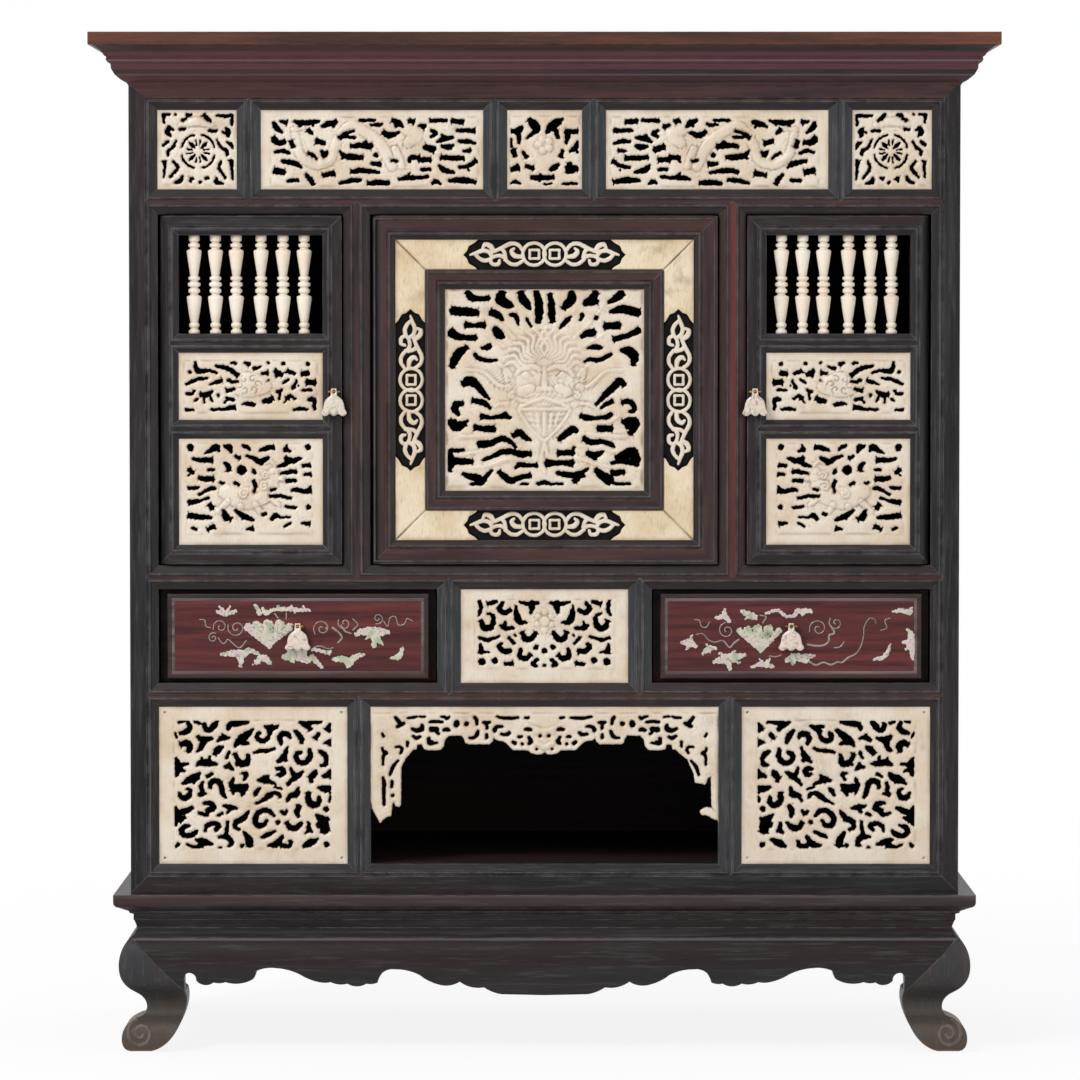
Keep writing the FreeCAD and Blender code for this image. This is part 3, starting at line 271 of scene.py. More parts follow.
def shade(tree: Tree, **sockets: Any) -> None:
    """Ends a material in one surface shader with those sockets."""
    shader = node(tree, "ShaderNodeBsdfPrincipled", **sockets)
    node(tree, "ShaderNodeOutputMaterial", Surface=shader.outputs["BSDF"])


@dataclass(frozen=True)
class Wood:
    """Polished hardwood: planed, stained and polished, so it shows streaks, pores, soft sheen and worn edges
    that are pale partly as painted highlight.

    The slope colour is painted light and shade on its moulded slopes, and tint that of its worn patches;
    bands are colours at heights in mm, some of them painted highlight or painted sheen. mitre holds a frame's
    middle x and z and half the width and height of its opening, in mm.
    """

    name: str
    dark: str
    mid: str
    streak: str
    rubbed_and_highlight: str
    slope_light_and_shade: str = "1d1b1c"
    tint: str = "3a2323"
    slope_light_share: float = 0.0
    tint_share: float = 0.5
    band_share: float = 0.72
    bands: tuple[tuple[float, str], ...] = ()
    grain: Grain = Grain.UPRIGHT
    cloud_mm: float = 26.0
    patch_mm: float = 9.0
    streak_mm: float = 5.0
    fleck_mm: float = 2.4
    pore_mm: float = 0.9
    edge_mm: float = 0.9
    edge_wear_and_highlight: float = 0.85
    dust: float = 0.22
    mitre: tuple[float, float, float, float] | None = None
    roughness: float = 0.42
    pore_gloss: Span = (-0.08, 0.1)
    shine: float = 0.2

    def along(self, tree: Tree, place: Socket) -> Socket:
        """Places stretched along the grain, which turns at the mitres of a frame.

        A frame that stands on both sides is told by x without its sign.

        Args:
            tree: the material's nodes.
            place: the Object coordinates.
        Returns:
            The stretched places.
        """
        ways = (self.grain,) if self.mitre is None else (Grain.ACROSS, Grain.UPRIGHT)
        stretched = [node(tree, "ShaderNodeMapping", Vector=place, Scale=way.value).outputs["Vector"]
                     for way in ways]
        if self.mitre is None:
            return stretched[0]
        x, z, half_x, half_z = (value * MM for value in self.mitre)
        reach = place
        for corner in ((x, 0.0, z), (half_x, 0.0, half_z)):
            reach = vector(tree, "SUBTRACT", vector(tree, "ABSOLUTE", reach, (0.0, 0.0, 0.0)), corner)
        beyond = node(tree, "ShaderNodeSeparateXYZ", Vector=reach)
        above = calc(tree, "MAXIMUM", beyond.outputs["Z"])
        beside = calc(tree, "GREATER_THAN", beyond.outputs["X"], above)
        return node(tree, "ShaderNodeMix", {"data_type": "VECTOR"}, i0=beside, i4=stretched[0],
                    i5=stretched[1]).outputs[1]

    def banded(self, tree: Tree, place: Socket, body: Socket) -> Socket:
        """Mixes the body colour with the bands' colours by height.

        Args:
            tree: the material's nodes.
            place: the Object coordinates.
            body: the colour without bands.
        Returns:
            The mixed colour.
        """
        low, high = self.bands[0][0], self.bands[-1][0]
        height = node(tree, "ShaderNodeSeparateXYZ", Vector=place).outputs["Z"]
        stops = [((z - low) / (high - low), colour) for z, colour in self.bands]
        share = remap(tree, height, (low * MM, high * MM))
        return mix(tree, self.band_share, body, ramp(tree, share, stops))

    def edges(self, tree: Tree, place: Socket, soft: Socket) -> Socket:
        """Where edges turn pale, partly worn and partly as painted highlight: soft and flat normals part
        there, and broad noise breaks it up.

        Args:
            tree: the material's nodes.
            place: the Object coordinates.
            soft: normals rounded over the edges.
        Returns:
            The share of the pale edge colour.
        """
        flat = node(tree, "ShaderNodeNewGeometry").outputs["Normal"]
        edge = remap(tree, vector(tree, "DOT_PRODUCT", soft, flat, "Value"), (0.998, 0.9), (0.0, self.edge_wear_and_highlight))
        patchy = remap(tree, noise(tree, place, self.patch_mm, detail=4.0), (0.38, 0.62), (0.1, 1.0))
        return calc(tree, "MULTIPLY", edge, patchy)

    def build(self) -> Material:
        """Stretched noise gives streaks, broad noise worn patches; slopes take painted shade, on slate a
        painted sheen, and sharp turns a pale colour, partly wear and partly painted highlight.

        Returns:
            The finished material.
        """
        material, tree = new_material(self.name)
        coordinates = node(tree, "ShaderNodeTexCoord")
        place = coordinates.outputs["Object"]
        stretched = self.along(tree, place)
        streaks = noise(tree, stretched, self.streak_mm, detail=6.0, roughness=0.62, warp=0.5)
        body = ramp(tree, streaks, [(0.36, self.dark), (0.5, self.mid), (0.64, self.streak)])
        if self.bands:
            body = self.banded(tree, place, body)
        clouds = noise(tree, stretched, self.cloud_mm, detail=4.0)
        body = mix(tree, remap(tree, clouds, (0.42, 0.68), (0.0, self.tint_share)), body, linear(self.tint))
        # Painted light and shade: slopes that turn away from the front take the slope colour, darker on most
        # woods and a grey sheen on the slate muntins
        if self.slope_light_share:
            depth = node(tree, "ShaderNodeSeparateXYZ", Vector=coordinates.outputs["Normal"]).outputs["Y"]
            slant = remap(tree, calc(tree, "ABSOLUTE", depth), (0.985, 0.9), (0.0, self.slope_light_share))
            body = mix(tree, slant, body, linear(self.slope_light_and_shade))
        flecks = noise(tree, stretched, self.fleck_mm, detail=5.0, roughness=0.7)
        body = mix(tree, remap(tree, flecks, (0.52, 0.74), (0.0, self.dust)), body, linear(self.rubbed_and_highlight))
        soft = node(tree, "ShaderNodeBevel", {"samples": 4}, Radius=self.edge_mm * MM).outputs["Normal"]
        # Sharp edges turn pale: partly wear, partly painted highlight
        colour = mix(tree, self.edges(tree, place, soft), body, linear(self.rubbed_and_highlight))
        pores = noise(tree, stretched, self.pore_mm, detail=2.0)
        low, high = self.pore_gloss
        gloss = remap(tree, pores, (0.3, 0.7), (self.roughness + low, self.roughness + high))
        bump = node(tree, "ShaderNodeBump", Strength=0.14, Distance=0.25 * MM, Height=pores, Normal=soft)
        shade(tree, Base_Color=colour, Roughness=gloss, IOR=1.5, Specular_IOR_Level=self.shine,
              Normal=bump.outputs["Normal"])
        return material


@dataclass(frozen=True)
class Bone:
    """Carved and scraped bone: pale cream, with fine pores, brown staining in hollows, painted shadow along
    the rims of panels and a dull polish.
    """

    name: str = "scraped_bone"
    pale: str = "e0d4c3"
    warm: str = "d3bfa5"
    stain_and_shade: str = "89705a"
    pit: str = "a58a68"
    slant: float = 0.5
    pits: float = 0.15
    blots: float = 0.45
    roughness: float = 0.42
    cloud_mm: float = 28.0
    blot_mm: float = 17.0
    pore_mm: float = 0.9

    def build(self) -> Material:
        """Cream clouds, short dark pores along z, and a brown colour where the piece's hollow attribute is
        high, for staining and painted shade.

        Returns:
            The finished material.
        """
        material, tree = new_material(self.name)
        place = node(tree, "ShaderNodeTexCoord").outputs["Object"]
        clouds = noise(tree, place, self.cloud_mm, detail=5.0, roughness=0.6)
        base = ramp(tree, clouds, [(0.32, self.warm), (0.6, self.pale)])
        slanted = node(tree, "ShaderNodeMapping", Vector=place, Rotation=(0.0, self.slant, 0.0),
                       Scale=(1.0, 1.0, 0.16)).outputs["Vector"]
        pores = noise(tree, slanted, self.pore_mm, detail=2.0)
        dark = ramp(tree, pores, [(0.25, self.pit), (0.46, "ffffff")])
        pitted = mix(tree, self.pits, base, dark, "MULTIPLY")
        blots = noise(tree, place, self.blot_mm, detail=7.0, roughness=0.6)
        aged = remap(tree, blots, (0.56, 0.8), (0.0, self.blots))
        hollow = node(tree, "ShaderNodeAttribute", {"attribute_name": "hollow"}).outputs["Fac"]
        # The hollow attribute holds staining and painted shade, such as the frame's shadow along panel rims
        soiled_and_shaded = calc(tree, "MULTIPLY", hollow, remap(tree, blots, (0.38, 0.62), (0.5, 1.6)))
        colour = mix(tree, calc(tree, "MAXIMUM", aged, soiled_and_shaded), pitted, linear(self.stain_and_shade))
        bump = node(tree, "ShaderNodeBump", Strength=0.15, Distance=0.2 * MM, Height=pores)
        shade(tree, Base_Color=colour, Roughness=self.roughness, IOR=1.54, Normal=bump.outputs["Normal"])
        return material


@dataclass(frozen=True)
class MotherOfPearl:
    """Cut and polished shell: silvery, with slow bands of pink and green and a glossy clear surface."""

    name: str = "cut_shell"
    silver: str = "d0c9b9"
    pink: str = "c6b3b7"
    green: str = "a9b197"
    grey: str = "877f76"
    line: str = "8a837c"
    between: str = "eee8e2"
    line_share: float = 0.6
    roughness: float = 0.22
    band_mm: float = 15.0
    line_mm: float = 5.0

    def build(self) -> Material:
        """Colour bands follow one warped noise, and growth lines darken it and roughen the gloss.

        Returns:
            The finished material.
        """
        material, tree = new_material(self.name)
        place = node(tree, "ShaderNodeTexCoord").outputs["Object"]
        bands = noise(tree, place, self.band_mm, detail=1.0, warp=1.0)
        colour = ramp(tree, bands, [(0.32, self.green), (0.42, self.silver), (0.5, self.pink),
                                    (0.56, self.silver), (0.64, self.green), (0.72, self.grey)])
        lines = noise(tree, place, self.line_mm, detail=2.5, warp=2.5)
        shadow = ramp(tree, lines, [(0.36, self.line), (0.44, "ffffff"), (0.6, self.between)])
        bump = node(tree, "ShaderNodeBump", Strength=0.1, Distance=0.1 * MM, Height=lines)
        shade(tree, Base_Color=mix(tree, self.line_share, colour, shadow, "MULTIPLY"), IOR=1.53,
              Roughness=self.roughness, Coat_Weight=0.5, Coat_Roughness=0.1, Normal=bump.outputs["Normal"])
        return material


@dataclass(frozen=True)
class Brass:
    """Drawn brass wire, tarnished: a brown yellow metal with cloudy gloss."""

    name: str = "tarnished_brass_wire"
    bright: str = "a8884e"
    dull: str = "5d4727"
    cloud_mm: float = 2.5

    def build(self) -> Material:
        """Tarnish clouds mix the two colours and the gloss.

        Returns:
            The finished material.
        """
        material, tree = new_material(self.name)
        clouds = noise(tree, node(tree, "ShaderNodeTexCoord").outputs["Object"], self.cloud_mm, detail=4.0)
        shade(tree, Metallic=1.0, Roughness=remap(tree, clouds, (0.0, 1.0), (0.3, 0.55)),
              Base_Color=ramp(tree, clouds, [(0.35, self.dull), (0.65, self.bright)]))
        return material


def put_mesh(name: str, points: Array, faces: Sequence[Array], smooth: bool = True) -> Piece:
    """Makes a mesh object at the origin from whole arrays.

    Args:
        name: the piece's name.
        points: places in mm, one row each.
        faces: arrays of corner numbers, one array for each number of corners.
        smooth: shade the faces smoothly.
    Returns:
        The linked object.
    """
    mesh = bpy.data.meshes.new(name)
    corners = np.concatenate([f.ravel() for f in faces]).astype(np.int32)
    counts = np.concatenate([np.full(len(f), f.shape[1]) for f in faces])
    starts = np.concatenate([[0], np.cumsum(counts)[:-1]]).astype(np.int32)
    mesh.vertices.add(len(points))
    mesh.vertices.foreach_set("co", (points * MM).astype(np.float32).ravel())
    mesh.loops.add(len(corners))
    mesh.loops.foreach_set("vertex_index", corners)
    mesh.polygons.add(len(counts))
    mesh.polygons.foreach_set("loop_start", starts)
    mesh.polygons.foreach_set("use_smooth", np.full(len(counts), smooth))
    mesh.update(calc_edges=True)
    mesh.validate()
    piece = bpy.data.objects.new(name, mesh)
    bpy.context.scene.collection.objects.link(piece)
    return piece


def set_hollow(piece: Piece, values: Array) -> None:
    """Stores one darkening value from 0 to 1 on each point of the piece, for staining and, in places, painted
    shade.
    """
    store = piece.data.attributes.new("hollow", "FLOAT", "POINT")
    store.data.foreach_set("value", np.clip(values, 0.0, 1.0).astype(np.float32))


def dress(piece: Piece, finish: Material, body: str, slot: str, *nodes: str) -> None:
    """Gives a piece its finish and body, and hides the solids that it stands for.

    Args:
        piece: the new piece.
        finish: its material.
        body: the body that carries it.
        slot: the record's material slot; not used.
        nodes: the solids that it replaces.
    """
    piece.data.materials.append(finish)
    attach(piece, body)
    if nodes:
        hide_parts(*nodes)
    LOG.info("piece %s on %s, %d points", piece.name, body, len(piece.data.vertices))


def smooth_path(path: Array, steps: int = 5) -> Array:
    """Rounds a path: each span is a cubic whose end slopes are half the chord between its neighbours.

    Args:
        path: points in rows, any number of columns.
        steps: points for each span.
    Returns:
        The rounded path.
    """
    if len(path) < 3:
        return path
    p = np.vstack([2 * path[0] - path[1], path, 2 * path[-1] - path[-2]])
    a, b, c, d = (p[i:len(p) - 3 + i, None] for i in range(4))
    t = np.linspace(0.0, 1.0, steps, endpoint=False)[None, :, None]
    square, cube = 2 * a - 5 * b + 4 * c - d, 3 * b - a - 3 * c + d
    spans = 0.5 * (2 * b + (c - a) * t + square * t ** 2 + cube * t ** 3)
    return np.vstack([spans.reshape(-1, path.shape[1]), path[-1:]])


def as_rows(strokes: Iterable[Stroke], mirror: bool = False) -> list[Array]:
    """Strokes as rows of x, z and half width; where mirror is set, their images about x = 0 follow."""
    rows = [np.reshape(np.asarray(stroke, float), (-1, 3)) for stroke in strokes]
    return rows + [row * MIRROR for row in rows] if mirror else rows


def spiral(x: float, z: float, radius: float, turns: float, start: float, half: float) -> Stroke:
    """A stroke that winds in about a middle, evenly with the angle.

    Args:
        x: middle of the spiral.
        z: middle of the spiral.
        radius: where it starts.
        turns: how often it winds, below zero for clockwise.
        start: angle of its start, in degrees from the x axis.
        half: half-width of the stroke.
    Returns:
        The stroke.
    """
    count = max(LEAST_POINTS, int(TURN_POINTS * abs(turns)))
    angle = np.radians(start) + np.linspace(0.0, 2 * np.pi * turns, count)
    shrink = radius * np.linspace(1.0, SPIRAL_EYE, len(angle))
    rows = [x + shrink * np.cos(angle), z + shrink * np.sin(angle), np.full(len(angle), half)]
    return np.stack(rows, -1).ravel()


def lock(x: float, z: float, inner: float, outer: float, turn: float, width: float) -> Stroke:
    """A waving lock of hair that runs out from (x, z) between two radii.

    Args:
        x: middle of the head of hair.
        z: middle of the head of hair.
        inner: radius where the lock starts.
        outer: radius where it ends.
        turn: direction, in degrees from the x axis.
        width: half-width in the middle.
    Returns:
        The stroke, bent to one side and back and thinner at its ends.
    """
    share, bend, widths = LOCK.T
    angle = np.radians(turn + bend)
    radius = inner + (outer - inner) * share
    return np.stack([x + radius * np.cos(angle), z + radius * np.sin(angle), width * widths], 1).ravel()


def corner_cuts(strokes: Iterable[Stroke], reach: float) -> list[Array]:
    """Short cuts across the blunt ends of strokes, so that a sawn slot ends in two corners.

    Args:
        strokes: the slots; those of one point and their pointed ends are left as they are.
        reach: how far a corner stands out past the slot's side.
    Returns:
        One stroke across each blunt end.
    """
    cuts = []
    for path in as_rows(strokes):
        for end, near in ((path[0], path[1]), (path[-1], path[-2])) if len(path) > 1 else ():
            run = (end - near)[:2] / np.hypot(*(end - near)[:2])
            across = np.array([-run[1], run[0]]) * (end[2] + reach)
            if end[2] >= BLUNT_END:
                tip = end[:2] + CUT_OUT * end[2] * run
                cuts.append(np.column_stack([[tip - across, tip, tip + across], CUT_HALVES]))
    return cuts


@dataclass(frozen=True)
class Chasing:
    """How bone is tooled between its holes, in mm: rounded over, a line along each edge, then scratches.

    Each off is measured from an edge, and the tooling fades out towards the border.
    """

    fade: float = 1.5
    round_rise: float = 0.5
    round_reach: float = 3.0
    line_deep: float = 0.2
    line_off: float = 1.9
    line_half: float = 0.4
    scratch_rise: float = 0.07
    scratch_off: float = 2.4
    scratch_pitch: float = 2.6
    scratch_turn: float = 2.2
    scratch_wave: Place = (0.13, 0.21)

    def relief(self, away: Array, x: Array, z: Array) -> Array:
        """Relief by the distance from an edge; the rounding grows as its root, and the scratches wave.

        Args:
            away: the distance.
            x: place along x.
            z: place along z.
        Returns:
            The rise at each place.
        """
        rounded = self.round_rise * np.sqrt(np.clip(away / self.round_reach, 0.0, 1.0))
        line = self.line_deep * np.exp(-((away - self.line_off) / self.line_half) ** 2)
        along_x, along_z = self.scratch_wave
        hatch = np.sin(self.scratch_pitch * x + self.scratch_turn * np.sin(along_z * z + along_x * x) * z)
        scratched = self.scratch_rise * hatch * np.clip(away - self.scratch_off, 0.0, 1.0)
        return rounded - line + scratched


class Drawing:
    """A flat drawing of pierced bone on a fine grid, x to the right and z up, in mm from its middle.

    bone is a signed height like a distance, above zero in bone and below it in a hole; lift is carved relief.
    """

    def __init__(self, width: float, height: float, step: float = 0.5, solid: bool = True) -> None:
        """Lays out the grid.

        Args:
            width: size along x.
            height: size along z.
            step: grid spacing.
            solid: start from a whole plate, or from nothing.
        """
        self.xs = np.linspace(-width / 2, width / 2, round(width / step) + 1)
        self.zs = np.linspace(-height / 2, height / 2, round(height / step) + 1)
        self.x, self.z = np.meshgrid(self.xs, self.zs)
        self.bone = np.full(self.x.shape, WHOLE if solid else -WHOLE)
        self.lift = np.zeros(self.x.shape)

    def reach(self, stroke: Array) -> tuple[tuple[slice, slice], Array]:
        """Brush field of a stroke: radius less distance to the rounded path, the largest over its spans.

        Args:
            stroke: rows of x, z and radius.
        Returns:
            The part of the grid near the stroke, and the field there.
        """
        path = smooth_path(stroke.copy())
        path[:, 2] = np.maximum(path[:, 2], LEAST_BRUSH)
        pad = path[:, 2].max() + BRUSH_PAD
        low, high = path[:, :2].min(0) - pad, path[:, :2].max(0) + pad
        window = (slice(*np.searchsorted(self.zs, [low[1], high[1]])),
                  slice(*np.searchsorted(self.xs, [low[0], high[0]])))
        x, z = self.x[window][..., None], self.z[window][..., None]
        if len(path) == 1:
            return window, path[0, 2] - np.hypot(x - path[0, 0], z - path[0, 1])[..., 0]
        start, run = path[:-1], np.diff(path, axis=0)
        span = np.maximum(run[:, 0] ** 2 + run[:, 1] ** 2, TINY)
        t = np.clip(((x - start[:, 0]) * run[:, 0] + (z - start[:, 1]) * run[:, 1]) / span, 0.0, 1.0)
        far = np.hypot(x - start[:, 0] - t * run[:, 0], z - start[:, 1] - t * run[:, 1])
        return window, (start[:, 2] + t * run[:, 2] - far).max(-1)

    def pierce(self, strokes: Iterable[Stroke], mirror: bool = False, wider: float = 0.0) -> None:
        """Cuts a hole along each stroke.

        Args:
            strokes: the saw cuts.
            mirror: cut their mirror images too.
            wider: how much more each cut takes on both sides.
        """
        for stroke in as_rows(strokes, mirror):
            window, field = self.reach(stroke + [0.0, 0.0, wider])
            self.bone[window] = np.minimum(self.bone[window], -field)

    def lay(self, strokes: Iterable[Stroke], mirror: bool = False) -> None:
        """Lays bone along each stroke.

        Args:
            strokes: the bars.
            mirror: lay their mirror images too.
        """
        for stroke in as_rows(strokes, mirror):
            window, field = self.reach(stroke)
            self.bone[window] = np.maximum(self.bone[window], field)

    def carve(self, strokes: Iterable[Stroke], height: float, mirror: bool = False) -> None:
        """Adds round ridges along the strokes; where they cross they merge.

        Args:
            strokes: middle lines and half-widths.
            height: how high they stand, or below zero how deep a groove is.
            mirror: carve their mirror images too.
        """
        total = np.zeros(self.x.shape)
        for stroke in as_rows(strokes, mirror):
            window, field = self.reach(stroke)
            share = np.clip(field / max(stroke[:, 2].max(), LEAST_BRUSH), 0.0, 1.0)
            total[window] = np.maximum(total[window], np.sqrt(1.0 - (1.0 - share) ** 2))
        self.lift = self.lift + height * total

    def inside(self, border: Border) -> Array:
        """Distance from a border's inner edge.

        Args:
            border: its widths at left, right, bottom and top.
        Returns:
            The distance at each place, below zero on the border.
        """
        left, right, bottom, top = border
        return np.minimum.reduce([self.x - self.xs[0] - left, self.xs[-1] - right - self.x,
                                  self.z - self.zs[0] - bottom, self.zs[-1] - top - self.z])

    def chase(self, border: Border, tooling: Chasing = Chasing()) -> None:
        """Tools the bone between the holes, inside a border.

        Args:
            border: its widths at left, right, bottom and top.
            tooling: the relief to cut.
        """
        share = np.clip(self.inside(border) / tooling.fade, 0.0, 1.0)
        self.lift = self.lift + share * tooling.relief(np.clip(self.bone, 0.0, WHOLE), self.x, self.z)

    def frame(self, border: Border) -> None:
        """Fills a border."""
        self.bone = np.maximum(self.bone, -self.inside(border))

    def waver(self, amount: float, seed: float) -> None:
        """Makes the cut edges uneven, as a hand saw leaves them: crossing sine waves shift the edge.

        Args:
            amount: the furthest shift.
            seed: where the waves start.
        """
        wave = sum(np.sin(a * self.x + b * self.z + i * seed) for i, (a, b) in enumerate(WAVES, 1))
        self.bone = self.bone + amount * wave / len(WAVES)

    def flip(self) -> None:
        """Turns the drawing left to right."""
        self.bone, self.lift = self.bone[:, ::-1], self.lift[:, ::-1]

    def turn(self) -> None:
        """Swaps x and z, so that what lay along x stands upright."""
        self.xs, self.zs, self.x, self.z = self.zs, self.xs, self.z.T, self.x.T
        self.bone, self.lift = self.bone.T.copy(), self.lift.T.copy()

    def surface(self, round_mm: float, drop: float) -> Array:
        """Relief of the face: it falls towards each edge as a quarter round.

        Args:
            round_mm: width of the rounding.
            drop: its depth.
        Returns:
            The rise at each place.
        """
        share = np.clip(self.bone / round_mm, 0.0, 1.0)
        return self.lift * share - drop * (1.0 - np.sqrt(1.0 - (1.0 - share) ** 2))

    def hollows(self, rise: Array) -> Array:
        """Where the face darkens: staining below the mean of the places about it, and dirt with painted
        shadow of the frame along the plate's rim.

        Args:
            rise: relief of the face, one place wider than the grid on every side.
        Returns:
            The darkening at each place, from 0 to 1.
        """
        near = (-HOLLOW_REACH, 0, HOLLOW_REACH)
        mean = sum(np.roll(rise, (i, j), (0, 1)) for i in near for j in near) / len(near) ** 2
        edge = np.minimum.outer(np.minimum(self.zs - self.zs[0], self.zs[-1] - self.zs),
                                np.minimum(self.xs - self.xs[0], self.xs[-1] - self.xs))
        # Painted shadow of the frame, with dirt, darkens a band along the plate's rim
        dirt_and_shadow = RIM_DIRT_AND_SHADOW * np.clip(1.0 - np.pad(edge, 1) / RIM_WIDTH, 0.0, 1.0) ** 2
        return np.clip((mean - rise) / HOLLOW_DEPTH, 0.0, HOLLOW_STAIN) + dirt_and_shadow


def crossings(a: Array, b: Array) -> Array:
    """Points between neighbouring places where the bone height is zero, kept a little off both ends.

    Args:
        a: x, z, rise and bone height at each place.
        b: the same at its neighbour.
    Returns:
        x, z and rise of the crossings.
    """
    above, below = a[..., 3:], b[..., 3:]
    t = np.clip(above / np.where(above == below, 1.0, above - below), SNAP, 1.0 - SNAP)
    return (a + t * (b - a))[..., :3]


def march(grid: Array) -> tuple[Array, list[Array]]:
    """Marching squares: outlines where the bone height is above zero, as faces, backs and the walls between.

    Args:
        grid: x, z, rise and bone height at each place.
    Returns:
        x, z and rise of every place and crossing, and the faces; a back's numbers go on after all the points.
    """
    rows, columns = grid.shape[:2]
    ids = np.arange(rows * columns).reshape(rows, columns)
    level, upright = crossings(grid[:, :-1], grid[:, 1:]), crossings(grid[:-1], grid[1:])
    level_ids = ids.size + np.arange(level[..., 0].size).reshape(level.shape[:2])
    upright_ids = ids.size + level_ids.size + np.arange(upright[..., 0].size).reshape(upright.shape[:2])
    points = np.concatenate([part.reshape(-1, 3) for part in (grid[..., :3], level, upright)])
    cells = np.stack([ids[:-1, :-1], ids[:-1, 1:], ids[1:, 1:], ids[1:, :-1], level_ids[:-1],
                      upright_ids[:, 1:], level_ids[1:], upright_ids[:, :-1]], -1).reshape(-1, 8)
    full = grid[..., 3] > 0
    pattern = (full[:-1, :-1] + 2 * full[:-1, 1:] + 4 * full[1:, 1:] + 8 * full[1:, :-1]).ravel()
    faces: list[Array] = []
    for number, outline in CELL_OUTLINES.items():
        chosen = cells[pattern == number]
        front = chosen[:, outline]
        faces += [front, front[:, ::-1] + len(points)]
        for a, b in zip(outline, outline[1:] + outline[:1]):
            if min(a, b) > 3:
                ends = chosen[:, (b, a)]
                faces.append(np.hstack([ends, ends[:, ::-1] + len(points)]))
    return points, faces


def renumber(faces: Sequence[Array]) -> tuple[Array, list[Array]]:
    """Leaves out the points that no face uses.

    Args:
        faces: arrays of corner numbers.
    Returns:
        Numbers of the points in use, and the faces with each number counted among those.
    """
    used = np.unique(np.concatenate([f.ravel() for f in faces]))
    return used, [np.searchsorted(used, f) for f in faces]


def cut_plate(name: str, drawing: Drawing, middle: Place, y_front: float, thickness: float,
              round_mm: float = 1.2, drop: float = 0.7) -> Piece:
    """Turns a drawing into a closed plate: walls along the cuts join a carved face to a flat back.

    Args:
        name: the piece's name.
        drawing: what is bone and what is cut.
        middle: x and z of the drawing's middle, in mm.
        y_front: the face's place before relief; the front is towards lower y.
        thickness: from the face to the back.
        round_mm: width of the rounded edges.
        drop: depth of the rounded edges.
    Returns:
        The plate, with its hollow attribute set.
    """
    xs, zs = (np.concatenate([[line[0] - EDGE_STEP], line, [line[-1] + EDGE_STEP]])
              for line in (drawing.xs, drawing.zs))
    bone = np.pad(drawing.bone, 1, mode="edge")
    ring = np.ones(bone.shape, bool)
    ring[1:-1, 1:-1] = False
    bone[ring] = -np.abs(bone[ring]) - EDGE_STEP
    rise = np.pad(drawing.surface(round_mm, drop), 1, mode="edge")
    flat, faces = march(np.stack([*np.meshgrid(xs, zs), rise, bone], -1))
    used, faces = renumber(faces)
    front = np.stack([flat[:, 0] + middle[0], y_front - flat[:, 2], flat[:, 1] + middle[1]], -1)
    back = front.copy()
    back[:, 1] = y_front + thickness
    piece = put_mesh(name, np.concatenate([front, back])[used], faces)
    # Darker on the rounded edges, by how far they drop
    low = EDGE_DARKENING * np.clip(-flat[:, 2] / max(drop, LEAST_DROP), 0.0, 1.0)
    low[:rise.size] += drawing.hollows(rise).ravel()
    set_hollow(piece, np.concatenate([low, np.full(len(flat), BACK_STAIN)])[used])
    return piece


